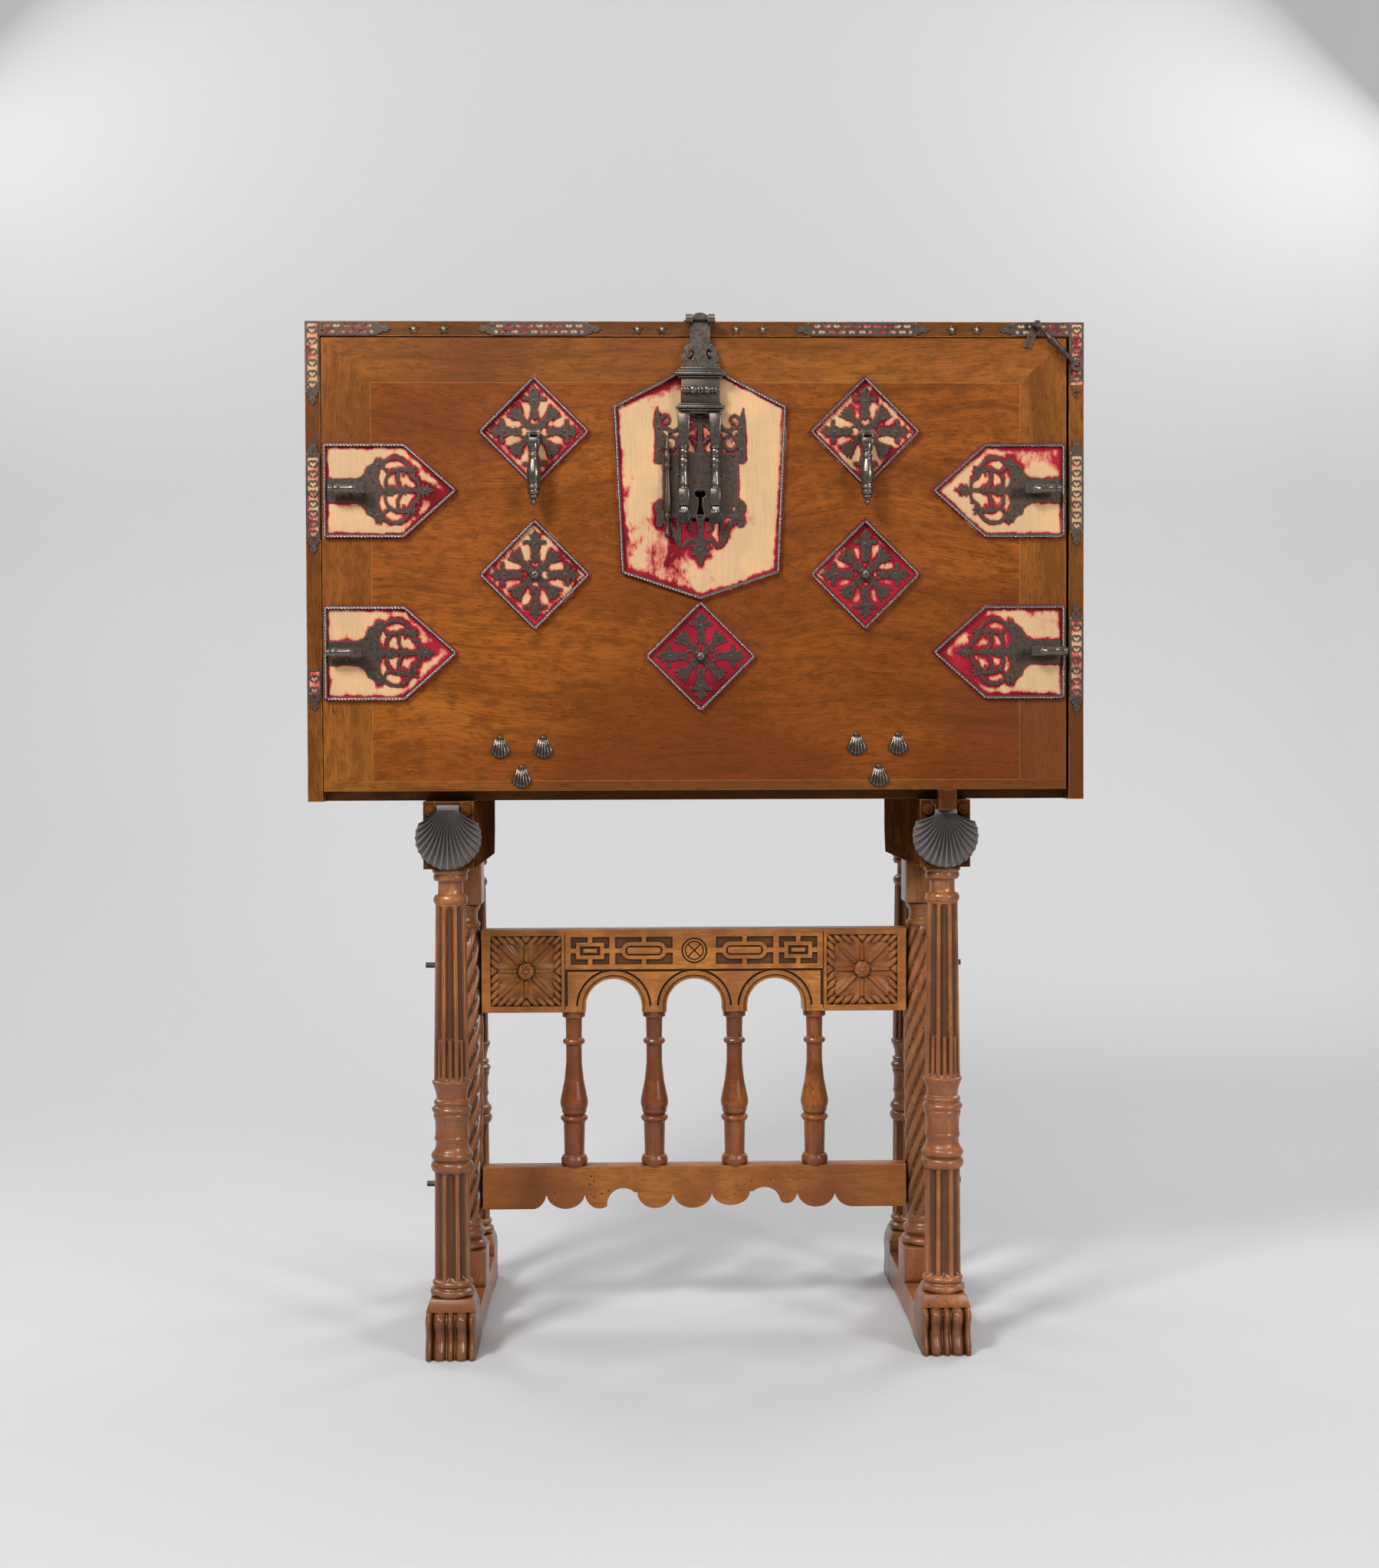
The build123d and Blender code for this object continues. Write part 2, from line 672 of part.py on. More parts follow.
with BuildPart() as colonette:
    at = upright(colonette_x, FRONT_Y - PAD - PLATE - COLONETTE_R)
    lathe(at, [
        (2.0, colonette_top - 134),
        (COLONETTE_R, colonette_top - 124, 1.0),
        (3.2, colonette_top - 116),
        (COLONETTE_R - 1, colonette_top - 84, 1.0),
        (3.5, colonette_top - 40),
        (COLONETTE_R, colonette_top - 30),
        (COLONETTE_R, colonette_top - 24),
        (3.0, colonette_top - 12),
        (0, colonette_top),
    ])
group([lock_body, colonette], "lock_plate")

# ---- Side bolts -------------------------------------------------------------------------
with BuildPart() as bolt_plates:
    for _, side, z, shift in side_bolts:
        outer = fall_edge(side) - side * (SIDE_PAD_EDGE + ROPE_WIDTH)
        neck = fall_edge(side) - side * 62.0
        crest = fall_edge(side) - side * 100.0
        tip = fall_edge(side) - side * 148.0
        plate([(outer, z - 15), (outer, z + 15), (neck, z + 18), (crest, z + 45), (tip, z),
               (crest, z - 45), (neck, z - 18)], PAD, PLATE)
        slot_through(z, side, shift, PAD + PLATE, PLATE)
save(bolt_plates, "bolt_plates")

for name, side, z, shift in side_bolts:
    with BuildPart() as side_bolt:
        tip = fall_edge(side) + side * BAR_TIP
        end = tip - side * BAR_LONG
        block(
            (min(tip, end), mortise_y - BAR_THICK / 2, z - BAR_HALF),
            (max(tip, end), mortise_y + BAR_THICK / 2, z + BAR_HALF),
        )
        x = stem_x(side, shift)
        rod((x, mortise_y, z), (x, FRONT_Y - GRIP_OUT, z), STEM_R)
        inner, outer = x - side * GRIP_LONG / 2, x + side * GRIP_LONG / 2
        with Locations((inner + side * 6, FRONT_Y - GRIP_OUT, z)):
            Box(12, 12, 12)
        at = Plane(origin=(x, FRONT_Y - GRIP_OUT, z), x_dir=(0, 0, 1), z_dir=(0, side, 0))
        lathe(at, [
            (5.5, -GRIP_LONG / 2 + 11),
            (6.5, -GRIP_LONG / 2 + 16),
            (5.6, -GRIP_LONG / 2 + 20),
            (5.6, 8),
            (6.8, 12),
            (6.8, 16),
            (4.8, 19),
            (5.5, GRIP_LONG / 2),
        ])
    save(side_bolt, name)

# ---- Drop pulls, staples, studs ---------------------------------------------------------
pull_places = [("pull_left", IRON_X - DIAMOND_SPREAD), ("pull_right", IRON_X + DIAMOND_SPREAD)]
pull_z = case_z + PULL_UP
pull_y = FRONT_Y - PULL_OUT

with BuildPart() as fall_staples:
    for _, x in pull_places:
        lathe(forward(x, FRONT_Y - PAD - PLATE, pull_z), [
            (BOSS_R, 0), (BOSS_R, 2), (4, 6), (3.5, PULL_OUT - PAD - PLATE)])
        rod((x - EYE_WIDTH / 2, pull_y, pull_z), (x + EYE_WIDTH / 2, pull_y, pull_z), EAR_R)
        rod((x - EYE_WIDTH, pull_y, pull_z), (x + EYE_WIDTH, pull_y, pull_z), HINGE_PIN_R + PIN_CLEAR,
            mode=Mode.SUBTRACT)
    strap_out = MOUNT_CLOTH + MOUNT_PLATE + SLIDE_CLEAR
    strap = [(x, case_top_z - z) for x, z in (
        (HOOK_TOP_X - 5, 1), (HOOK_TOP_X + 5, 1), (HOOK_TOP_X + 4, 12), (HOOK_TOP_X - 8, 34),
        (HOOK_TOP_X - 17, 34))]
    plate(strap, strap_out, PLATE)
    tongue = [(HOOK_TOP_X - 17, case_top_z - 34), (HOOK_TOP_X - 8, case_top_z - 34),
              (HOOK_TOP_X - 6, case_top_z - 28), (HOOK_TOP_X - 13, case_top_z - 28)]
    plate(tongue, 0, strap_out + PLATE)
    pin_z = case_top_z - HOOK_TOP_DROP
    pin_end = FRONT_Y - HOOK_OUT - HOOK_R - 0.5
    rod((HOOK_TOP_X, FRONT_Y - strap_out, pin_z), (HOOK_TOP_X, pin_end, pin_z), HINGE_PIN_R)
    rod((HOOK_TOP_X, pin_end, pin_z), (HOOK_TOP_X, pin_end - 2, pin_z), HOOK_R)
save(fall_staples, "fall_staples")

for name, x in pull_places:
    with BuildPart() as pull:
        ear_in = EYE_WIDTH / 2 + EAR_GAP
        ear_out = ear_in + EAR_THICK
        rod((x - ear_out, pull_y, pull_z), (x + ear_out, pull_y, pull_z), HINGE_PIN_R)
        for side in (-1, 1):
            rod((x + side * ear_in, pull_y, pull_z), (x + side * ear_out, pull_y, pull_z), EAR_R)
            low, high = sorted((x + side * ear_in, x + side * ear_out))
            block((low, pull_y - EAR_R, pull_z - 12), (high, pull_y + EAR_R, pull_z))
        block((x - ear_out, pull_y - EAR_R, pull_z - 15), (x + ear_out, pull_y + EAR_R, pull_z - EAR_R - 1))
        lathe(upright(x, pull_y), [
            (0, pull_z - PULL_LONG),
            (3.5, pull_z - PULL_LONG + 6, 1.0),
            (2.2, pull_z - PULL_LONG + 10),
            (6.5, pull_z - PULL_LONG + 12),
            (PULL_R - 1, pull_z - PULL_LONG + 30, 1.0),
            (PULL_R, pull_z - PULL_LONG + 42),
            (6.5, pull_z - PULL_LONG + 66, -1.0),
            (9.5, pull_z - PULL_LONG + 69),
            (9.5, pull_z - PULL_LONG + 73),
            (6.5, pull_z - PULL_LONG + 76),
            (8.0, pull_z - 14),
        ])
    save(pull, name)

stud_places = [(-266, 74), (-208, 74), (-237, 34), (216, 77), (272, 77), (246, 34)]
with BuildPart() as shell_studs:
    for x, height in stud_places:
        z = case_z + height
        fan = [(x - 4, z + 13), (x + 4, z + 13)]
        for i in range(7):
            angle = radians(60 - 40 * i)
            fan.append((x + STUD_R * cos(angle), z + STUD_R * 1.1 * sin(angle)))
        plate(fan, 0, 3.5)
save(shell_studs, "shell_studs")

# ---- The hasp ---------------------------------------------------------------------------
hasp_y = FRONT_Y - HASP_OUT
hasp_z = case_top_z + HASP_PIN_UP
hasp_side = HASP_WIDTH / 4
with BuildPart() as hasp_hinge:
    for side in (-1, 1):
        near, far = IRON_X + side * (hasp_side - 6), IRON_X + side * (hasp_side + 1)
        rod((near, hasp_y, hasp_z), (far, hasp_y, hasp_z), HASP_SHELL_R)
        low, high = sorted((near, far))
        block((low, hasp_y, case_top_z + 0.3), (high, FRONT_Y + 4, case_top_z + HASP_STRAP))
    rod((IRON_X - hasp_side, hasp_y, hasp_z), (IRON_X + hasp_side, hasp_y, hasp_z), HASP_PIN_R)
    block(
        (IRON_X - hasp_side - 6, FRONT_Y + 3, case_top_z),
        (IRON_X + hasp_side + 6, FRONT_Y + 70, case_top_z + HASP_STRAP),
    )
save(hasp_hinge, "hasp_hinge")

with BuildPart() as hasp:
    sleeve = hasp_side - 6 - 0.5
    rod((IRON_X - sleeve, hasp_y, hasp_z), (IRON_X + sleeve, hasp_y, hasp_z), HASP_SHELL_R)
    block(
        (IRON_X - sleeve - 1, hasp_y - 0.2, hasp_z - HASP_SHELL_R - 1),
        (IRON_X + sleeve + 1, hasp_y + HASP_SHELL_R + 1, hasp_z + HASP_SHELL_R + 1),
        mode=Mode.SUBTRACT,
    )
    strap_y = hasp_y - HASP_SHELL_R
    block((IRON_X - sleeve, strap_y, hasp_z - 30), (IRON_X + sleeve, strap_y + HASP_STRAP, hasp_z - 2))
    rod((IRON_X - sleeve - 1, hasp_y, hasp_z), (IRON_X + sleeve + 1, hasp_y, hasp_z),
        HASP_PIN_R + 6 * PIN_CLEAR, mode=Mode.SUBTRACT)
    lobe_z = hasp_z - 42
    for side in (-1, 1):
        rod((IRON_X + side * 9.5, strap_y, lobe_z), (IRON_X + side * 9.5, strap_y + HASP_STRAP, lobe_z), 9.5)
    block((IRON_X - 9, strap_y, hasp_z - 56), (IRON_X + 9, strap_y + HASP_STRAP, hasp_z - 25))
    box_top = hasp_z - 54
    half = HASP_WIDTH / 2
    block((IRON_X - half - 7, strap_y - 5, box_top - 7), (IRON_X + half + 7, strap_y + HASP_STRAP, box_top))
    block((IRON_X - half, strap_y - 2, box_top - 30), (IRON_X + half, strap_y + HASP_STRAP, box_top - 6))
    block((IRON_X - half - 3, strap_y - 4, box_top - 37), (IRON_X + half + 3, strap_y + HASP_STRAP,
                                                          box_top - 30))
    rod((IRON_X - half, strap_y - 2, box_top - 19), (IRON_X + half, strap_y - 2, box_top - 19), 5)
    leg_top = box_top - 36
    leg_y = strap_y + HASP_STRAP - 6
    for side in (-1, 1):
        lathe(upright(IRON_X + side * HASP_LEG_SPREAD / 2, leg_y), [
            (5.5, leg_top - 166),
            (6.0, leg_top - 140),
            (3.6, leg_top - 138),
            (5.0, leg_top - 100),
            (5.8, leg_top - 96),
            (4.2, leg_top - 92),
            (5.0, leg_top - 52),
            (5.8, leg_top - 48),
            (4.0, leg_top - 44),
            (5.6, leg_top + 2),
        ])
        fan_x = IRON_X + side * HASP_LEG_SPREAD / 2
        fan = [(fan_x - 4, leg_top - 160), (fan_x + 4, leg_top - 160)]
        for i in range(7):
            angle = radians(60 - 40 * i)
            fan.append((fan_x + 11 * cos(angle), leg_top - 175 + 12 * sin(angle)))
        plate(fan, FRONT_Y - strap_y - HASP_STRAP, 7)
save(hasp, "hasp")

# ---- The corner hook --------------------------------------------------------------------
hook_y = FRONT_Y - HOOK_OUT
hook_top = (HOOK_TOP_X, hook_y, case_top_z - HOOK_TOP_DROP)
hook_end = (HOOK_TOP_X + HOOK_RUN, hook_y, case_top_z - HOOK_TOP_DROP - HOOK_FALL)
with BuildPart() as corner_hook:
    along = Vector(*hook_end) - Vector(*hook_top)
    long = along.length
    at = Plane(origin=hook_top, x_dir=(0, 1, 0), z_dir=along.cross(Vector(0, -1, 0)))
    lathe(at, [
        (2.4, 2),
        (2.2, 16),
        (HOOK_R, 22),
        (HOOK_R + 1.4, 32, 0.8),
        (2.6, 46),
        (HOOK_R + 0.6, 48),
        (HOOK_R + 0.6, 52),
        (HOOK_R - 0.6, 54),
        (HOOK_R - 0.6, long - 7),
    ])
    rod((hook_top[0], hook_y - 4, hook_top[2]), (hook_top[0], hook_y + 4, hook_top[2]), HOOK_R + 1)
    rod((hook_top[0], hook_y - 5, hook_top[2]), (hook_top[0], hook_y + 5, hook_top[2]),
        HINGE_PIN_R + PIN_CLEAR, mode=Mode.SUBTRACT)
    rod((hook_end[0], hook_y - 3, hook_end[2]), (hook_end[0], hook_y + 3, hook_end[2]), 8)
    rod((hook_end[0], hook_y - 4, hook_end[2]), (hook_end[0], hook_y + 4, hook_end[2]), 4,
        mode=Mode.SUBTRACT)
save(corner_hook, "corner_hook")

# ---- Mounts and stars on the case's front edges -----------------------------------------
edge_mid = BOARD / 2
top_edge = case_top_z - edge_mid


def strip(x_low, x_high, z_low, z_high, ends):
    """A mount's outline along an edge, with an ogee point at the ends that are named."""
    wide = x_high - x_low > z_high - z_low
    half = (z_high - z_low) / 2 if wide else (x_high - x_low) / 2
    if wide:
        z = (z_low + z_high) / 2
        points = []
        if "low" in ends:
            points += [(x_low, z), (x_low + 8, z + 4), (x_low + 12, z + 2), (x_low + 20, z + half)]
        else:
            points += [(x_low, z + half)]
        if "high" in ends:
            points += [(x_high - 20, z + half), (x_high - 12, z + 2), (x_high - 8, z + 4), (x_high, z)]
            points += [(x_high - 8, z - 4), (x_high - 12, z - 2), (x_high - 20, z - half)]
        else:
            points += [(x_high, z + half), (x_high, z - half)]
        if "low" in ends:
            points += [(x_low + 20, z - half), (x_low + 12, z - 2), (x_low + 8, z - 4)]
        else:
            points += [(x_low, z - half)]
        return points
    swapped = strip(z_low, z_high, x_low, x_high, ends)
    return [(b, a) for a, b in swapped]


edge = BOARD - 1.0
out_x = half_width - 0.5
in_x = half_width - 0.5 - edge
edge_strips = [
    (-out_x + edge, -411, top_edge - edge / 2, top_edge + edge / 2, "high"),
    (-out_x, -in_x, case_z + 533, case_top_z - 0.5, "low"),
    (-293, -129, top_edge - edge / 2, top_edge + edge / 2, "low high"),
    (134, 314, top_edge - edge / 2, top_edge + edge / 2, "low high"),
    (410, in_x, top_edge - edge / 2, top_edge + edge / 2, "low"),
    (in_x, out_x, case_z + 543, case_top_z - 0.5, "low"),
    (-out_x, -in_x, case_z + 334, case_z + 485, "low high"),
    (-out_x, -in_x, case_z + 123, case_z + 178, "low"),
    (in_x, out_x, case_z + 344, case_z + 487, "low high"),
    (in_x, out_x, case_z + 118, case_z + 264, "low high"),
]
cloths = []
mounts = []
for x_low, x_high, z_low, z_high, ends in edge_strips:
    with BuildPart() as cloth:
        plate([(x_low, z_low), (x_low, z_high), (x_high, z_high), (x_high, z_low)], 0, MOUNT_CLOTH)
    with BuildPart() as mount:
        plate(strip(x_low, x_high, z_low, z_high, ends), MOUNT_CLOTH, MOUNT_PLATE)
    cloths.append(cloth)
    mounts.append(mount)
group(cloths, "edge_velvet")
group(mounts, "edge_mounts")

with BuildPart() as star_studs:
    for x in STAR_PLACES:
        star = []
        for i in range(2 * STAR_POINTS):
            reach = STAR_R if i % 2 == 0 else STAR_R / 2
            angle = radians(90 - 180 / STAR_POINTS * i)
            star.append((x + reach * cos(angle), top_edge - 1 + reach * sin(angle)))
        plate(star, 0, 2.5)
save(star_studs, "star_studs")

# ---- Carrying handles -------------------------------------------------------------------
handle_z = case_z + HANDLE_UP
handle_y = FRONT_Y + CASE_DEPTH / 2
with BuildPart() as handle_eyes:
    for side in (-1, 1):
        for end in (-1, 1):
            y = handle_y + end * HANDLE_SPAN / 2
            at = Plane(origin=(side * half_width, y, handle_z), x_dir=(0, 1, 0), z_dir=(0, 0, -side))
            lathe(at, [(EYE_R, 0), (EYE_R - 3, 3), (5, 5), (5, HANDLE_OUT)])
            x = side * (half_width + HANDLE_OUT)
            rod((x, y - 4, handle_z), (x, y + 4, handle_z), HANDLE_ROD_R + 3)
            rod((x, y - 9, handle_z), (x, y + 9, handle_z), HANDLE_ROD_R - 1 + PIN_CLEAR, mode=Mode.SUBTRACT)
save(handle_eyes, "handle_eyes")

for side, name in ((-1, "handle_left"), (1, "handle_right")):
    with BuildPart() as handle:
        x = side * (half_width + HANDLE_OUT)
        near = HANDLE_SPAN / 2 + 2 * HANDLE_ROD_R
        for end in (-1, 1):
            y = handle_y + end * HANDLE_SPAN / 2
            rod((x, y - end * 8, handle_z), (x, handle_y + end * near, handle_z), HANDLE_ROD_R - 1)
        with BuildLine() as bail:
            FilletPolyline(
                (x, handle_y - near, handle_z + HANDLE_ROD_R - 1),
                (x, handle_y - near - 3, handle_z - 22),
                (x, handle_y - near + 20, handle_z - HANDLE_DROP),
                (x, handle_y + near - 20, handle_z - HANDLE_DROP),
                (x, handle_y + near + 3, handle_z - 22),
                (x, handle_y + near, handle_z + HANDLE_ROD_R - 1),
                radius=16,
            )
        with BuildSketch(Plane(origin=bail.line @ 0, z_dir=bail.line % 0)) as section:
            Circle(HANDLE_ROD_R - 1)
        sweep(section.sketch, path=bail.line)
    save(handle, name)

# ---- The stand: runners and beams -------------------------------------------------------
side_plane = Plane(origin=(0, 0, 0), x_dir=(0, 1, 0), z_dir=(1, 0, 0))
flange_z = STAND_HEIGHT - FLANGE_THICK - SLIDE_CLEAR


def socket(x, y, z_low, z_high):
    """A square socket for an upright's tenon."""
    reach = TENON / 2 + TENON_CLEAR
    block((x - reach, y - reach, z_low), (x + reach, y + reach, z_high), mode=Mode.SUBTRACT)


for side, hand in ((-1, "left"), (1, "right")):
    x = side * frame_half
    with BuildPart() as runner:
        with BuildSketch(side_plane.offset(x - FRAME_WIDTH / 2)) as profile:
            with BuildLine():
                Polyline(
                    (toe_y + TOE_RELIEF, 0),
                    (toe_y + TOE_RELIEF, TOE_HEIGHT - 8),
                    (toe_y + TOE_RELIEF + 4, TOE_HEIGHT),
                    (toe_y + TOE_BLOCK, TOE_HEIGHT),
                    (toe_y + TOE_BLOCK + 6, RUNNER_HEIGHT),
                    (heel_y - TOE_BLOCK - 6, RUNNER_HEIGHT),
                    (heel_y - TOE_BLOCK, TOE_HEIGHT),
                    (heel_y - TOE_RELIEF - 4, TOE_HEIGHT),
                    (heel_y - TOE_RELIEF, TOE_HEIGHT - 8),
                    (heel_y - TOE_RELIEF, 0),
                    (heel_y - TOE_BLOCK, 0),
                    (heel_y - TOE_BLOCK - 10, RUNNER_ARCH),
                    (toe_y + TOE_BLOCK + 10, RUNNER_ARCH),
                    (toe_y + TOE_BLOCK, 0),
                    close=True,
                )
            make_face()
        extrude(profile.sketch, amount=FRAME_WIDTH)
        lobe = FRAME_WIDTH / TOE_LOBES
        for y in (toe_y + TOE_RELIEF, heel_y - TOE_RELIEF):
            for i in range(TOE_LOBES):
                lobe_x = x - FRAME_WIDTH / 2 + lobe * (i + 0.5)
                with BuildSketch(Plane.XY) as round_lobe:
                    with Locations((lobe_x, y)):
                        Ellipse(lobe / 2 - 0.3, TOE_RELIEF)
                extrude(round_lobe.sketch, amount=TOE_HEIGHT - 8)
        for y in (column_front_y, column_back_y):
            socket(x, y, TOE_HEIGHT - TENON_LONG - 1, TOE_HEIGHT + 1)
        socket(x, post_y, RUNNER_HEIGHT - TENON_LONG - 1, RUNNER_HEIGHT + 1)
    save(runner, f"runner_{hand}")

    with BuildPart() as beam:
        with BuildSketch(side_plane.offset(x - FRAME_WIDTH / 2)) as profile:
            with BuildLine():
                Polyline(
                    (beam_front, beam_z),
                    (beam_front, STAND_HEIGHT),
                    (beam_back, STAND_HEIGHT),
                    (beam_back, beam_z + BEAM_CHAMFER),
                    (beam_back - BEAM_CHAMFER / 3, beam_z),
                    close=True,
                )
            make_face()
        extrude(profile.sketch, amount=FRAME_WIDTH)
        block(
            (x - FLANGE_WIDTH / 2 - SLIDE_CLEAR, beam_front, flange_z - SLIDE_CLEAR),
            (x + FLANGE_WIDTH / 2 + SLIDE_CLEAR, beam_back, STAND_HEIGHT),
            mode=Mode.SUBTRACT,
        )
        block(
            (x - WEB_WIDTH / 2 - SLIDE_CLEAR, beam_front, STAND_HEIGHT - WEB_HEIGHT - SLIDE_CLEAR),
            (x + WEB_WIDTH / 2 + SLIDE_CLEAR, beam_back, STAND_HEIGHT),
            mode=Mode.SUBTRACT,
        )
        for y in (column_front_y, column_back_y, post_y):
            socket(x, y, beam_z - 1, beam_z + TENON_LONG + 1)
    save(beam, f"beam_{hand}")

# ---- Columns and centre posts -----------------------------------------------------------
def tenons(x, y, z_low, z_high):
    """Square tenons at an upright's two ends."""
    half = TENON / 2
    block((x - half, y - half, z_low - TENON_LONG), (x + half, y + half, z_low))
    block((x - half, y - half, z_high), (x + half, y + half, z_high + TENON_LONG))


def fluted(x, y, z_low, z_high, r_low, r_high):
    """An eight-sided shaft with a hollow flute down each face."""
    sections = []
    for z, r in ((z_low, r_low), (z_high, r_high)):
        with BuildSketch(Plane.XY.offset(z)) as section:
            with Locations((x, y)):
                RegularPolygon(r, 8, rotation=22.5)
            with Locations((x, y)):
                with PolarLocations(r * 1.02, 8):
                    Circle(r * 0.22, mode=Mode.SUBTRACT)
        sections.append(section.sketch.face())
    loft(sections, ruled=True)


def column(x, y, name):
    """A front or back column, from the runner to the beam."""
    base = TOE_HEIGHT + PLINTH_HEIGHT
    lower_top = base + 171
    drum = lower_top + 44
    cup = drum + 52
    upper_top = beam_z - 49
    with BuildPart() as piece:
        with BuildSketch(Plane.XY.offset(TOE_HEIGHT)) as foot:
            with Locations((x, y)):
                Rectangle(FRAME_WIDTH, FRAME_WIDTH)
        extrude(foot.sketch, amount=PLINTH_HEIGHT, taper=PLINTH_TAPER)
        lathe(upright(x, y), [
            (28, base), (28, base + 11, 2.0), (25, base + 12), (26, base + 21, 1.5)])
        fluted(x, y, base + 21, lower_top, 24.5, 23.5)
        lathe(upright(x, y), [
            (26, lower_top), (26, lower_top + 13, 2.5), (24, lower_top + 14), (26, lower_top + 27, 2.5),
            (24, drum, -2.0), (24, drum + 26), (25, drum + 35), (25, drum + 43, 2.5),
            (23, drum + 44), (24, cup, 2.5)])
        lathe(upright(x, y), [(20, cup), (24.5, cup + 24, -3.0), (24.5, cup + 27)])
        fluted(x, y, cup + 27, upper_top, 23.0, 20.0)
        lathe(upright(x, y), [
            (21, upper_top), (21, upper_top + 12, 1.5), (17, upper_top + 14), (17, beam_z - 18),
            (22, beam_z - 17), (22, beam_z - 10, 1.5), (23, beam_z - 8), (23, beam_z, 1.5)])
        tenons(x, y, TOE_HEIGHT, beam_z)
    save(piece, name)


def post(side, name):
    """The stout post in the middle of an end frame, mortised for the two rails."""
    x = side * frame_half
    foot = RUNNER_HEIGHT + POST_FOOT
    body = foot + 39
    neck = beam_z - 68
    with BuildPart() as piece:
        half = FRAME_WIDTH / 2
        block((x - half, post_y - half, RUNNER_HEIGHT), (x + half, post_y + half, foot))
        lathe(upright(x, post_y), [
            (32, foot), (32, foot + 12, 2.0), (27, foot + 14), (30, foot + 28, 2.0), (27, body),
            (POST_R, body + 0.4 * (neck - body), 1.0), (POST_R - 0.5, body + 0.93 * (neck - body)),
            (POST_NECK_R, neck - 12, 1.5), (POST_NECK_R, neck), (26, neck + 1), (26, neck + 6)])
        half = POST_BLOCK / 2
        block((x - half, post_y - half, neck + 6), (x + half, post_y + half, beam_z))
        tenons(x, post_y, RUNNER_HEIGHT, beam_z)
        reach = RAIL_TENON_THICK / 2 + TENON_CLEAR
        depth = RAIL_TENON_LONG + 1
        for z_low, z_high in ((RAIL_BOTTOM + 20, rail_top - 20), (APRON_CUSP - 5, APRON_TOP - 10)):
            inner = side * (frame_half - POST_R - 1)
            outer = side * (frame_half - POST_R + depth)
            block(
                (min(inner, outer), post_y - reach, z_low - TENON_CLEAR),
                (max(inner, outer), post_y + reach, z_high + TENON_CLEAR),
                mode=Mode.SUBTRACT,
            )
        for z in (UPPER_BOLT_Z, LOWER_BOLT_Z):
            rod((x - POST_R - 5, post_y, z), (x + POST_R + 5, post_y, z), BOLT_HOLE_R, mode=Mode.SUBTRACT)
    save(piece, name)


for side, hand in ((-1, "left"), (1, "right")):
    column(side * frame_half, column_front_y, f"column_front_{hand}")
    column(side * frame_half, column_back_y, f"column_back_{hand}")
    post(side, f"post_{hand}")

# ---- Lopers with their scallop shell heads ----------------------------------------------
head_back = beam_front - SLIDE_CLEAR
shell_z = STAND_HEIGHT - 5 - SHELL_R


def shell_head(x, neck_drop, name):
    """A scallop shell hung from a neck, its ribs fanning down from the hinge line."""
    neck_top = STAND_HEIGHT - 5 - neck_drop
    front = head_back - SHELL_THICK
    hinge = (x, front + 3, shell_z + SHELL_R * 0.72)
    with BuildPart() as piece:
        with BuildSketch(Plane(origin=(0, head_back, 0), x_dir=(1, 0, 0), z_dir=(0, -1, 0))) as fan:
            with Locations((x, shell_z)):
                Circle(SHELL_R - 2)
            with Locations((x, (shell_z + STAND_HEIGHT - 5) / 2)):
                Rectangle(NECK_WIDTH + 22, SHELL_R)
            for side in (-1, 1):
                with Locations((x + side * (NECK_WIDTH / 2 + 7), STAND_HEIGHT - 9)):
                    Circle(7, mode=Mode.SUBTRACT)
            with Locations((x, STAND_HEIGHT - 5 - neck_drop + 10)):
                Rectangle(4 * NECK_WIDTH, 20, mode=Mode.SUBTRACT)
        extrude(fan.sketch, amount=SHELL_THICK * 0.55)
        for i in range(SHELL_RIBS):
            angle = radians(205 + 130 * i / (SHELL_RIBS - 1))
            rim = Vector(x + (SHELL_R - 3) * cos(angle) * 1.02, 0, shell_z + (SHELL_R - 3) * sin(angle))
            reach = Vector(rim.X - hinge[0], 0, rim.Z - hinge[2])
            along = reach.normalized()
            across = along.cross(Vector(0, 1, 0))
            middle = head_back - SHELL_THICK * 0.55
            start = Vector(hinge[0], middle, hinge[2]) + along * 8
            end = Vector(rim.X, middle, rim.Z)
            wide = reach.length * radians(130 / (SHELL_RIBS - 1)) * 0.5
            with BuildSketch(Plane(origin=start, x_dir=across, z_dir=along)) as root:
                Circle(2.0)
            with BuildSketch(Plane(origin=end, x_dir=across, z_dir=along)) as tip:
                Ellipse(wide, SHELL_THICK * 0.33)
            loft([root.sketch.face(), tip.sketch.face()])
        block((x - NECK_WIDTH / 2, front + 4, neck_top - 30), (x + NECK_WIDTH / 2, head_back, neck_top))
    save(piece, name)


for side, hand in ((-1, "left"), (1, "right")):
    x = side * frame_half
    with BuildPart() as loper:
        web_bottom = STAND_HEIGHT - WEB_HEIGHT
        top = STAND_HEIGHT - SLIDE_CLEAR
        block(
            (x - FLANGE_WIDTH / 2, head_back, STAND_HEIGHT - FLANGE_THICK),
            (x + FLANGE_WIDTH / 2, head_back + LOPER_LENGTH, top),
        )
        block(
            (x - WEB_WIDTH / 2, head_back, web_bottom),
            (x + WEB_WIDTH / 2, head_back + LOPER_LENGTH, STAND_HEIGHT - FLANGE_THICK),
        )
    save(loper, f"loper_{hand}")
    shell_head(x, NECK_RIGHT_DROP if side > 0 else 0.0, f"shell_head_{hand}")

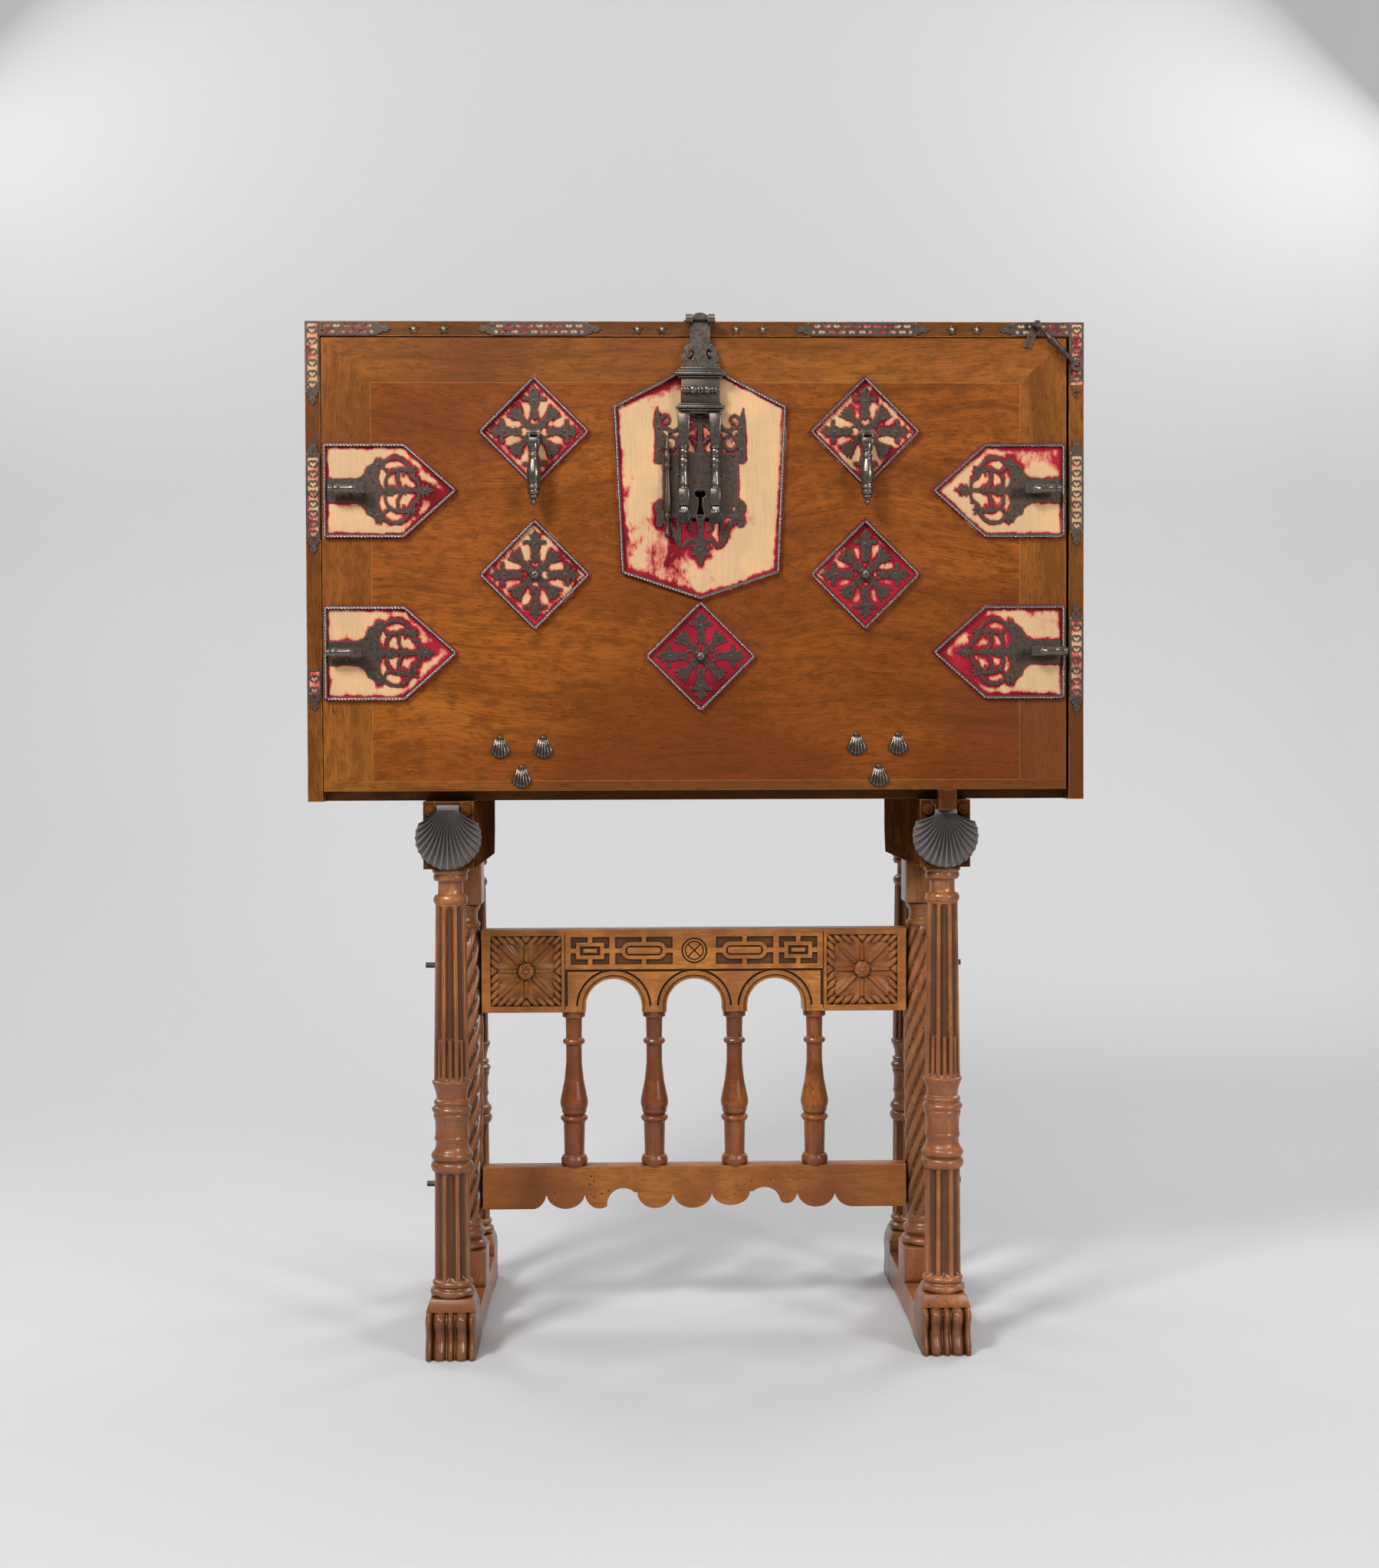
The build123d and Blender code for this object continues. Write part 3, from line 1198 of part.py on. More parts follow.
rest_y = FRONT_Y - 1.0
with BuildPart() as fall_rest:
    block(
        (frame_half - REST_WIDTH / 2, rest_y - REST_DEPTH, STAND_HEIGHT - 5 - NECK_RIGHT_DROP),
        (frame_half + REST_WIDTH / 2, rest_y, rest_top),
    )
save(fall_rest, "fall_rest")

# ---- The arcade, its spindles and the apron ---------------------------------------------
rail_front = post_y - RAIL_THICK / 2
rail_back = post_y + RAIL_THICK / 2
arch_places = [-ARCH_PITCH, 0.0, ARCH_PITCH]
spindle_places = [-1.5 * ARCH_PITCH, -0.5 * ARCH_PITCH, 0.5 * ARCH_PITCH, 1.5 * ARCH_PITCH]
springing = RAIL_BOTTOM + ARCH_STILT
rail_face = Plane(origin=(0, rail_front, 0), x_dir=(1, 0, 0), z_dir=(0, -1, 0))


def arch_hole(x, radius, thick_from, thick, mode):
    """A stilted round arch, through the rail or as a raised band on it."""
    with BuildSketch(rail_face.offset(thick_from)) as opening:
        with Locations((x, springing)):
            Circle(radius)
        with Locations((x, (springing + RAIL_BOTTOM) / 2 - 0.5)):
            Rectangle(2 * radius, ARCH_STILT + 1)
        with Locations((x, RAIL_BOTTOM - radius)):
            Rectangle(2 * radius + 2, 2 * radius, mode=Mode.SUBTRACT)
    extrude(opening.sketch, amount=thick, mode=mode)


with BuildPart() as arcade_rail:
    block((-rail_half, rail_front, RAIL_BOTTOM), (rail_half, rail_back, rail_top))
    for side in (-1, 1):
        inner, outer = side * rail_half, side * (rail_half + RAIL_TENON_LONG)
        block(
            (min(inner, outer), post_y - RAIL_TENON_THICK / 2, RAIL_BOTTOM + 20),
            (max(inner, outer), post_y + RAIL_TENON_THICK / 2, rail_top - 20),
        )
        rosette_x = side * (rail_half - ROSETTE_R - 9)
        lathe(forward(rosette_x, rail_front, RAIL_BOTTOM + RAIL_HEIGHT / 2), [
            (ROSETTE_R, 0), (ROSETTE_R - 2, RELIEF), (14, RELIEF), (12, RELIEF + 1.5),
            (0, RELIEF + 5, dome(12, 3.5))])
    for x in arch_places:
        arch_hole(x, ARCH_R + ARCHIVOLT, 0, RELIEF, Mode.ADD)
    for x in arch_places:
        arch_hole(x, ARCH_R, -RAIL_THICK - 1, RAIL_THICK + RELIEF + 2, Mode.SUBTRACT)
    with BuildSketch(rail_face) as panels:
        for x, width in ((-131, 52), (-62, 75), (62, 75), (131, 52)):
            with Locations((x, rail_top - 31)):
                Rectangle(width - 4, 36)
                Rectangle(width - 14, 26, mode=Mode.SUBTRACT)
                RectangleRounded(width - 22, 14, 6)
        with Locations((0, rail_top - 31)):
            Circle(16)
    extrude(panels.sketch, amount=RELIEF)
    for x in spindle_places:
        reach = SPINDLE_TENON / 2 + TENON_CLEAR
        block(
            (x - reach, post_y - reach, RAIL_BOTTOM - 1),
            (x + reach, post_y + reach, RAIL_BOTTOM + SPINDLE_TENON_LONG + 1),
            mode=Mode.SUBTRACT,
        )
    for side in (-1, 1):
        bolt_end = side * (rail_half + RAIL_TENON_LONG + 1)
        rod((side * (rail_half - BOLT_IN), post_y, UPPER_BOLT_Z), (bolt_end, post_y, UPPER_BOLT_Z),
            BOLT_HOLE_R, mode=Mode.SUBTRACT)
save(arcade_rail, "arcade_rail")

with BuildPart() as spindles:
    for x in spindle_places:
        high = RAIL_BOTTOM
        low = APRON_TOP
        lathe(upright(x, post_y), [
            (17.5, low), (17.5, low + 14, 2.0), (14.5, low + 18, -1.0), (15.5, low + 62),
            (18.5, low + 66), (18.5, low + 72, 1.5), (15, low + 74), (18, low + 82, 1.2),
            (19.5, low + 98, 1.5), (11.5, low + 176, -3.0), (15, low + 178), (15, low + 184, 1.2),
            (11.5, low + 186), (12.0, high - 14), (16.5, high - 8, -2.0), (16.5, high)])
        half = SPINDLE_TENON / 2
        block((x - half, post_y - half, low - SPINDLE_TENON_LONG), (x + half, post_y + half, low))
        block((x - half, post_y - half, high), (x + half, post_y + half, high + SPINDLE_TENON_LONG))
save(spindles, "spindles")

apron_face = Plane(origin=(0, post_y - APRON_THICK / 2, 0), x_dir=(1, 0, 0), z_dir=(0, -1, 0))
scallops = [
    (78, APRON_CUSP, (54, APRON_BOTTOM + 2)),
    (122, APRON_CUSP, (100, APRON_ARCH_TOP)),
    (159, APRON_CUSP, (140, APRON_BOTTOM + 8)),
    (214, APRON_CUSP, (186, APRON_BOTTOM)),
    (apron_half, APRON_BOTTOM + 14, (262, APRON_BOTTOM)),
]
with BuildPart() as apron_rail:
    with BuildSketch(apron_face) as profile:
        with BuildLine():
            ThreePointArc((-APRON_LOBE, APRON_CUSP), (0, APRON_BOTTOM), (APRON_LOBE, APRON_CUSP))
            for side in (-1, 1):
                here = (side * APRON_LOBE, APRON_CUSP)
                for x, z, through in scallops:
                    there = (side * x, z)
                    ThreePointArc(here, (side * through[0], through[1]), there)
                    here = there
                Line(here, (side * apron_half, APRON_TOP))
            Line((-apron_half, APRON_TOP), (apron_half, APRON_TOP))
        make_face()
    extrude(profile.sketch, amount=-APRON_THICK)
    for side in (-1, 1):
        inner, outer = side * apron_half, side * (apron_half + RAIL_TENON_LONG)
        block(
            (min(inner, outer), post_y - RAIL_TENON_THICK / 2, APRON_CUSP - 5),
            (max(inner, outer), post_y + RAIL_TENON_THICK / 2, APRON_TOP - 10),
        )
        bolt_end = side * (apron_half + RAIL_TENON_LONG + 1)
        rod((side * (apron_half - BOLT_IN), post_y, LOWER_BOLT_Z), (bolt_end, post_y, LOWER_BOLT_Z),
            BOLT_HOLE_R, mode=Mode.SUBTRACT)
    for x in spindle_places:
        reach = SPINDLE_TENON / 2 + TENON_CLEAR
        block(
            (x - reach, post_y - reach, APRON_TOP - SPINDLE_TENON_LONG - 1),
            (x + reach, post_y + reach, APRON_TOP + 1),
            mode=Mode.SUBTRACT,
        )
save(apron_rail, "apron_rail")

with BuildPart() as tie_bolts:
    for side in (-1, 1):
        for z in (UPPER_BOLT_Z, LOWER_BOLT_Z):
            outer = frame_half + POST_R + BOLT_OUT
            rod((side * (rail_half - BOLT_IN + 1), post_y, z), (side * outer, post_y, z), BOLT_R)
            nut_at = Plane(origin=(side * (frame_half + POST_R), post_y, z), z_dir=(side, 0, 0))
            with BuildSketch(nut_at) as nut:
                Rectangle(17, 17)
            extrude(nut.sketch, amount=7)
save(tie_bolts, "tie_bolts")
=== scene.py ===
"""Dresses a vargueno on its arcaded stand: walnut, worn velvet, pierced and turned iron, carving.

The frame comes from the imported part. Sizes in this file are millimetres unless a name says otherwise.
"""

from math import cos, hypot, pi, radians, sin, sqrt, tau

import bmesh
import bpy
import numpy as np
from bpy.props import FloatProperty, FloatVectorProperty, IntProperty, PointerProperty
from bpy.types import Operator, Panel, PropertyGroup
from mathutils import Matrix, Vector, geometry


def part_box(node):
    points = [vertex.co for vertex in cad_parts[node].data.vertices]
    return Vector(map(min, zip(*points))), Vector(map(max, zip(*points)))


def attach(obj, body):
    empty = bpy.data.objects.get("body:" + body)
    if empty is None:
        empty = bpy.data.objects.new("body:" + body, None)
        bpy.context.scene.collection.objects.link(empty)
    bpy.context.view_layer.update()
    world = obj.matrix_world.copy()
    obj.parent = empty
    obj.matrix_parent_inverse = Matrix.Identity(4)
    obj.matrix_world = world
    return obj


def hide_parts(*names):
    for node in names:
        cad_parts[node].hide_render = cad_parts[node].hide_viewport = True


bl_info = {
    "name": "Vargueno",
    "version": (1, 0, 0),
    "blender": (4, 5, 0),
    "location": "3D View > Sidebar > Vargueno",
    "description": "Dresses a vargueno: walnut, velvet, pierced iron and carving",
    "category": "Object",
}

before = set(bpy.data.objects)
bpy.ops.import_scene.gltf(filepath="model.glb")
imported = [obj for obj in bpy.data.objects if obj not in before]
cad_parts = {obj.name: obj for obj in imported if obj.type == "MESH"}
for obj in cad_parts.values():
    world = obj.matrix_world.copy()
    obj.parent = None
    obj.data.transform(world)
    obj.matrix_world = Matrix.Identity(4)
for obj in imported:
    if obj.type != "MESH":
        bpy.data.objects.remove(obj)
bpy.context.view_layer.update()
MM = 0.001


def corner(node, end):
    """The low (0) or high (1) corner of a CAD node, in millimetres."""
    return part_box(node)[end] / MM


FACE = corner("fall_panel", 0).y
FALL_LEFT = corner("fall_banding", 0).x
FALL_RIGHT = corner("fall_banding", 1).x
CASE_LOW = corner("case_side_left", 0).z
CASE_HIGH = corner("case_side_left", 1).z
IRON_X = (corner("hasp", 0).x + corner("hasp", 1).x) / 2
PAD = FACE - corner("velvet_pads", 0).y
TOE = corner("runner_left", 0).y
HEEL = corner("runner_left", 1).y
FRAME_X = (corner("runner_right", 0).x + corner("runner_right", 1).x) / 2
RAIL_LOW = corner("arcade_rail", 0).z
RAIL_HIGH = corner("arcade_rail", 1).z
POST_Y = (TOE + HEEL) / 2
BEAM_LOW = corner("beam_left", 0).z

DIAMOND_SPREAD = 223.0
DIAMOND_HALF = 77.0
UPPER_DIAMOND = CASE_LOW + 497.0
LOWER_DIAMOND = CASE_LOW + 305.0
MIDDLE_DIAMOND = CASE_LOW + 195.0
DIAMONDS = [
    (IRON_X - DIAMOND_SPREAD, UPPER_DIAMOND),
    (IRON_X + DIAMOND_SPREAD, UPPER_DIAMOND),
    (IRON_X - DIAMOND_SPREAD, LOWER_DIAMOND),
    (IRON_X + DIAMOND_SPREAD, LOWER_DIAMOND),
    (IRON_X, MIDDLE_DIAMOND),
]
BAND_WIDE = 66.0  # width of the fall's top band
LIP_HIGH = 34.0  # height of the fall's lower lip
LOCK_TOP = CASE_LOW + 468.0  # the upper edge of the lock's solid plate
BOLT_HIGH = CASE_LOW + 418.0
BOLT_LOW = CASE_LOW + 200.0
SIDE_BOLTS = [(-1, BOLT_HIGH), (-1, BOLT_LOW), (1, BOLT_HIGH), (1, BOLT_LOW)]


# ---- Sizes and colours that a user may change -------------------------------------------
class VarguenoColours(PropertyGroup):
    field: FloatVectorProperty(
        name="Field", description="Walnut of the fall's field", subtype="COLOR", default=(0.275, 0.075, 0.0095))
    bands: FloatVectorProperty(
        name="Bands", description="Walnut of the fall's battens and of the case", subtype="COLOR",
        default=(0.285, 0.095, 0.015))
    stand: FloatVectorProperty(
        name="Stand", description="Walnut of columns, posts and runners", subtype="COLOR",
        default=(0.45, 0.170, 0.044))
    rails: FloatVectorProperty(
        name="Rails", description="Walnut of the arcade and the apron", subtype="COLOR",
        default=(0.56, 0.215, 0.042))
    iron: FloatVectorProperty(
        name="Iron", description="Dark wrought iron", subtype="COLOR", default=(0.082, 0.062, 0.050))
    crimson: FloatVectorProperty(
        name="Crimson", description="Pile of the velvet", subtype="COLOR", default=(0.30, 0.0035, 0.016))
    ground: FloatVectorProperty(
        name="Ground", description="Silk ground where the pile has worn off", subtype="COLOR",
        default=(0.54, 0.35, 0.19))


class VarguenoIron(PropertyGroup):
    rope_radius: FloatProperty(
        name="Rope radius", description="Radius of the twisted borders", default=0.0034, unit="LENGTH")
    rope_turn: FloatProperty(
        name="Rope turn", description="Length of one full turn of the twist", default=0.018, unit="LENGTH")
    rope_strands: IntProperty(name="Rope strands", description="Strands in the twist", default=4, min=2, max=6)
    plate_bevel: FloatProperty(
        name="Plate bevel", description="Filed edge of the pierced plates", default=0.0004, unit="LENGTH")


class VarguenoStand(PropertyGroup):
    gadroons: IntProperty(name="Gadroons", description="Lobes round a post", default=10, min=4, max=24)
    gadroon_turn: FloatProperty(
        name="Gadroon turn", description="Height of one full turn of the lobes", default=0.37, unit="LENGTH")
    gadroon_depth: FloatProperty(
        name="Gadroon depth", description="Depth of the grooves between lobes", default=0.0075, unit="LENGTH")
    shell_ribs: IntProperty(name="Shell ribs", description="Ribs of a loper's shell", default=18, min=8, max=40)


class VarguenoStage(PropertyGroup):
    camera_x: FloatProperty(name="Camera across", description="Place across the front", default=-0.0777,
                            unit="LENGTH")
    camera_y: FloatProperty(name="Camera distance", description="Place in front", default=-2.9037, unit="LENGTH")
    camera_z: FloatProperty(name="Camera height", description="Height over the floor", default=0.8349,
                            unit="LENGTH")
    camera_pitch: FloatProperty(name="Pitch", description="Turn downwards", default=0.0209, unit="ROTATION")
    camera_yaw: FloatProperty(name="Yaw", description="Turn about the vertical", default=-0.0247,
                              unit="ROTATION")
    camera_roll: FloatProperty(name="Roll", description="Turn about the line of sight", default=-0.0033,
                               unit="ROTATION")
    lens: FloatProperty(name="Lens", description="Focal length on a 36 mm high sensor", default=45.97,
                        unit="CAMERA")
    floor: FloatVectorProperty(name="Floor", description="Colour of floor and backdrop", subtype="COLOR",
                               default=(0.50, 0.50, 0.51))


def colours():
    return bpy.context.scene.vargueno_colours


# ---- Node trees -------------------------------------------------------------------------
def put(tree, kind, sockets=None, **settings):
    """Add a node, set it up, and fill its inputs with values or other nodes' outputs."""
    node = tree.nodes.new(kind)
    for name, value in settings.items():
        setattr(node, name, value)
    for name, value in (sockets or {}).items():
        target = node.inputs[name]
        if isinstance(value, bpy.types.NodeSocket):
            tree.links.new(value, target)
        else:
            target.default_value = value
    return node


def sums(tree, operation, *values, clamp=False):
    """A Math node's output."""
    return put(tree, "ShaderNodeMath", dict(enumerate(values)), operation=operation, use_clamp=clamp).outputs[0]


def noise(tree, where, stretch, detail=4.0, rough=0.55, warp=0.0):
    """Noise read on stretched coordinates; one number stretches them evenly."""
    if not hasattr(stretch, "__len__"):
        stretch = (stretch,) * 3
    mapped = put(tree, "ShaderNodeMapping", {"Vector": where, "Scale": stretch}).outputs[0]
    return put(tree, "ShaderNodeTexNoise", {
        "Vector": mapped, "Scale": 1.0, "Detail": detail, "Roughness": rough, "Distortion": warp,
    }).outputs["Fac"]


def ramp(tree, value, *stops):
    """A colour ramp from (place, grey or colour) stops."""
    node = put(tree, "ShaderNodeValToRGB", {"Fac": value})
    ends = node.color_ramp.elements
    while len(ends) < len(stops):
        ends.new(0.5)
    for end, (place, tone) in zip(ends, stops):
        end.position = place
        end.color = (tone, tone, tone, 1) if isinstance(tone, (int, float)) else (*tone, 1)
    return node.outputs[0]


def blend(tree, amount, first, second):
    """Mix two colours by an amount."""
    node = put(tree, "ShaderNodeMix", data_type="RGBA")
    for index, value in ((0, amount), (6, first), (7, second)):
        if isinstance(value, bpy.types.NodeSocket):
            tree.links.new(value, node.inputs[index])
        else:
            node.inputs[index].default_value = value if index == 0 else (*value, 1)
    return node.outputs[2]


def stain(tree, colour, value, first, last, tint):
    """Lay a tint over a colour, by an amount that goes from one (place, amount) of a value to another."""
    return blend(tree, ramp(tree, value, first, last), colour, tint)


def spread(tree, value, low, high, to_low=0.0, to_high=1.0):
    """A value mapped from one range to another."""
    return put(tree, "ShaderNodeMapRange", {
        "Value": value, "From Min": low, "From Max": high, "To Min": to_low, "To Max": to_high}).outputs[0]


def times(tree, value, factor, clamp=False):
    return sums(tree, "MULTIPLY", value, factor, clamp=clamp)


def attribute(tree, name):
    return put(tree, "ShaderNodeAttribute", attribute_name=name).outputs["Fac"]


def shade(colour, factor, green=None, blue=None):
    """A colour made darker or lighter, evenly or by a factor for each part."""
    factors = (factor, factor if green is None else green, factor if blue is None else blue)
    return tuple(min(1.0, part * by) for part, by in zip(colour, factors))


def start(name):
    """A new material with its shader and object coordinates."""
    material = bpy.data.materials.new(name)
    material.use_nodes = True
    tree = material.node_tree
    shader = tree.nodes["Principled BSDF"]
    where = put(tree, "ShaderNodeTexCoord").outputs["Object"]
    return material, tree, shader, where


def bump(tree, shader, height, strength, distance):
    """Relief in the shading; the distance is in millimetres."""
    node = put(tree, "ShaderNodeBump", {"Height": height, "Strength": strength, "Distance": distance * MM})
    tree.links.new(node.outputs[0], shader.inputs["Normal"])


def edges(tree, radius, low, high):
    """1 on edges and 0 on flats: a mask for worn edges, and on the black paint also for a painted highlight."""
    rounded = put(tree, "ShaderNodeBevel", {"Radius": radius * MM}, samples=6).outputs[0]
    plain = put(tree, "ShaderNodeNewGeometry").outputs["Normal"]
    dot = put(tree, "ShaderNodeVectorMath", {0: rounded, 1: plain}, operation="DOT_PRODUCT").outputs["Value"]
    return spread(tree, dot, high, low)


def hollows(tree, distance):
    """1 in hollows and corners, 0 in the open, by ambient occlusion: a mask for painted shade."""
    light = put(tree, "ShaderNodeAmbientOcclusion", {"Distance": distance * MM}, samples=6).outputs["AO"]
    return spread(tree, light, 0.92, 0.48)


def walnut(name, base, grain, figure=1.0, wear=0.5, worm=0.0, red=0.3, dirt_and_shade=0.6, polish=0.3, matt=0.0):
    """Waxed walnut with its grain along an axis: broad figure, dark streaks, pores and worn edges, with painted shade
    darkening its grooves and hollows.
    """
    material, tree, shader, where = start(name)
    along = "XYZ".index(grain)

    def fibres(length, across, **kinds):
        stretch = tuple(length if i == along else across for i in range(3))
        return noise(tree, swept, stretch, **kinds)

    sway = put(tree, "ShaderNodeTexNoise", {"Vector": where, "Scale": 2.6, "Detail": 2.0})
    sway_by = put(tree, "ShaderNodeVectorMath", {0: sway.outputs["Color"], "Scale": 0.11 * figure},
                  operation="SCALE").outputs[0]
    swept = put(tree, "ShaderNodeVectorMath", {0: where, 1: sway_by}, operation="ADD").outputs[0]
    broad = fibres(2.2, 17, detail=5.0, rough=0.5, warp=0.6)
    streaks = fibres(3.0, 70, detail=6.0, rough=0.62, warp=0.3)
    dapple = fibres(46, 105, rough=0.6)
    fibre = fibres(22, 620, detail=3.0, rough=0.6)
    pores = fibres(55, 900, detail=2.0, rough=0.5)
    blotch = noise(tree, where, 5)
    zones = noise(tree, where, 1.9, detail=2.0)
    colour = ramp(tree, broad, (0.26, shade(base, 0.50)), (0.42, shade(base, 0.80)), (0.57, base),
                  (0.78, shade(base, 1.25, 1.38, 1.3)))
    layers = [
        (blotch, (0.45, 0.0), (0.65, red), shade(base, 0.90, 0.60, 0.70)),
        (zones, (0.42, 0.75), (0.56, 0.0), shade(base, 0.42, 0.32, 0.5)),
        (streaks, (0.34, 0.55), (0.46, 0.0), shade(base, 0.30)),
        (dapple, (0.38, 0.6), (0.54, 0.0), shade(base, 0.42)),
        (fibre, (0.35, 0.45), (0.6, 0.0), shade(base, 0.30)),
        (pores, (0.30, 0.7), (0.38, 0.0), shade(base, 0.12)),
    ]
    if dirt_and_shade > 0.5:
        patina = noise(tree, where, (13, 13, 9), detail=5.0, rough=0.6)
        layers.append((patina, (0.40, 0.72), (0.55, 0.0), shade(base, 0.38, 0.30, 0.45)))
    for layer in layers:
        colour = stain(tree, colour, *layer)
    # Painted shade: darker where the groove attribute is deep and, by ambient occlusion, in hollows and corners.
    if dirt_and_shade > 0.5:
        colour = blend(tree, times(tree, attribute(tree, "groove"), 0.8), colour, shade(base, 0.13))
    if dirt_and_shade:
        colour = blend(tree, times(tree, hollows(tree, 9.0), dirt_and_shade), colour, shade(base, 0.10))
    if wear:
        patches = ramp(tree, noise(tree, where, 30), (0.4, 0.15), (0.62, wear))
        rubbed = times(tree, edges(tree, 1.6, 0.90, 0.995), patches)
        colour = blend(tree, rubbed, colour, (0.60, 0.27, 0.085))
    height = sums(tree, "ADD", fibre, times(tree, pores, 0.5))
    if worm:
        cells = put(tree, "ShaderNodeTexVoronoi", {"Vector": where, "Scale": 95.0, "Randomness": 1.0})
        few = ramp(tree, noise(tree, where, 7, detail=1.0), (0.5 - 0.12 * worm, 0.0), (0.62, 1.0))
        hole = sums(tree, "LESS_THAN", cells.outputs["Distance"], times(tree, few, 0.115))
        colour = blend(tree, hole, colour, (0.004, 0.002, 0.001))
        height = sums(tree, "SUBTRACT", height, times(tree, hole, 3.0))
    tree.links.new(colour, shader.inputs["Base Color"])
    tree.links.new(spread(tree, blotch, 0.3, 0.7, 0.27 + matt, 0.42 + matt), shader.inputs["Roughness"])
    shader.inputs["Specular IOR Level"].default_value = polish
    bump(tree, shader, height, 0.25, 0.35)
    return material


def wrought(name, base, bright=0.5, rough=0.42, rust=0.35, pitted=1.0):
    """Wrought iron: dark and pitted, rubbed bright on its edges and high places, with painted shade in its hollows."""
    material, tree, shader, where = start(name)
    pits = noise(tree, where, 220, rough=0.65)
    cloud = noise(tree, where, 38)
    colour = stain(tree, base, cloud, (0.42, 0.0), (0.7, rust), shade(base, 1.5, 0.95, 0.55))
    colour = stain(tree, colour, pits, (0.3, 0.6 * pitted), (0.48, 0.0), shade(base, 0.3))
    # Painted shade in hollows and corners.
    colour = blend(tree, times(tree, hollows(tree, 4.0), 0.8), colour, shade(base, 0.12))
    colour = blend(tree, times(tree, edges(tree, 0.9, 0.86, 0.99), bright, clamp=True), colour, (0.52, 0.47, 0.42))
    tree.links.new(colour, shader.inputs["Base Color"])
    shader.inputs["Metallic"].default_value = 0.85
    tree.links.new(spread(tree, pits, 0.3, 0.7, rough - 0.1, rough + 0.12), shader.inputs["Roughness"])
    bump(tree, shader, pits, 0.35 * pitted, 0.25)
    return material


def worn_velvet(name, own_wear=None):
    """Crimson pile over a cream silk ground. The piece's `pile` attribute says where pile is left."""
    material, tree, shader, where = start(name)
    crimson, ground = tuple(colours().crimson), tuple(colours().ground)
    rags = noise(tree, where, (75, 75, 45), detail=6.0, rough=0.68, warp=0.4)
    lumps = noise(tree, where, (16, 16, 12), detail=3.0)
    patches = noise(tree, where, (42, 42, 34), detail=3.0)
    threads = noise(tree, where, (900, 900, 30), detail=2.0)
    weft = noise(tree, where, (25, 25, 900), detail=2.0)
    if own_wear is None:
        left = attribute(tree, "pile")
    else:
        left = sums(tree, "ADD", times(tree, lumps, 1.1), own_wear)
    for ragged, much in ((rags, 1.05), (patches, 1.15)):
        left = sums(tree, "ADD", left, times(tree, sums(tree, "SUBTRACT", ragged, 0.5), much))
    silk = stain(tree, ground, threads, (0.35, 0.35), (0.6, 0.0), shade(ground, 0.62))
    silk = stain(tree, silk, weft, (0.35, 0.18), (0.6, 0.0), shade(ground, 0.7))
    silk = stain(tree, silk, lumps, (0.45, 0.0), (0.75, 0.45), (0.80, 0.44, 0.20))
    nap = stain(tree, shade(crimson, 0.42), lumps, (0.35, 0.0), (0.65, 1.0), shade(crimson, 1.1, 3, 1.6))
    faded = stain(tree, silk, left, (0.36, 0.0), (0.54, 0.85), (0.50, 0.085, 0.07))
    tree.links.new(stain(tree, faded, left, (0.50, 0.0), (0.66, 1.0), nap), shader.inputs["Base Color"])
    for label, value in (("Roughness", 0.8), ("Specular IOR Level", 0.15), ("Sheen Weight", 0.08),
                         ("Sheen Roughness", 0.4)):
        shader.inputs[label].default_value = value
    raised = sums(tree, "ADD", times(tree, ramp(tree, left, (0.45, 0.0), (0.6, 1.0)), 1.2), times(tree, threads, 0.25))
    bump(tree, shader, raised, 0.6, 0.4)
    return material


def plain_metal(name, base, rough):
    """Dull metal with a faint cloud of tarnish."""
    material, tree, shader, where = start(name)
    colour = stain(tree, base, noise(tree, where, 90), (0.4, 0.0), (0.7, 0.6), shade(base, 0.35))
    tree.links.new(colour, shader.inputs["Base Color"])
    shader.inputs["Metallic"].default_value = 1.0
    shader.inputs["Roughness"].default_value = rough
    return material


def black_paint(name):
    """Worn black paint on carved wood, with brown rubbed through on the ribs; lighter grey on edges and ribs, rubbed
    paint together with a painted highlight; painted shade in the hollows.
    """
    material, tree, shader, where = start(name)
    specks = noise(tree, where, 420, detail=2.0)
    colour = stain(tree, (0.13, 0.122, 0.115), noise(tree, where, 60, detail=6.0, rough=0.65), (0.45, 0.0),
                   (0.72, 0.55), (0.17, 0.12, 0.09))
    colour = stain(tree, colour, specks, (0.6, 0.0), (0.72, 0.8), (0.20, 0.16, 0.14))
    # Lighter grey on edges and ribs: rubbed paint and a painted highlight.
    colour = blend(tree, times(tree, edges(tree, 0.9, 0.88, 0.995), 0.8), colour, (0.36, 0.34, 0.32))
    # Painted shade, near black, in the hollows.
    colour = blend(tree, times(tree, hollows(tree, 5.0), 0.85), colour, (0.008, 0.007, 0.007))
    tree.links.new(colour, shader.inputs["Base Color"])
    shader.inputs["Roughness"].default_value = 0.42
    bump(tree, shader, specks, 0.4, 0.4)
    return material


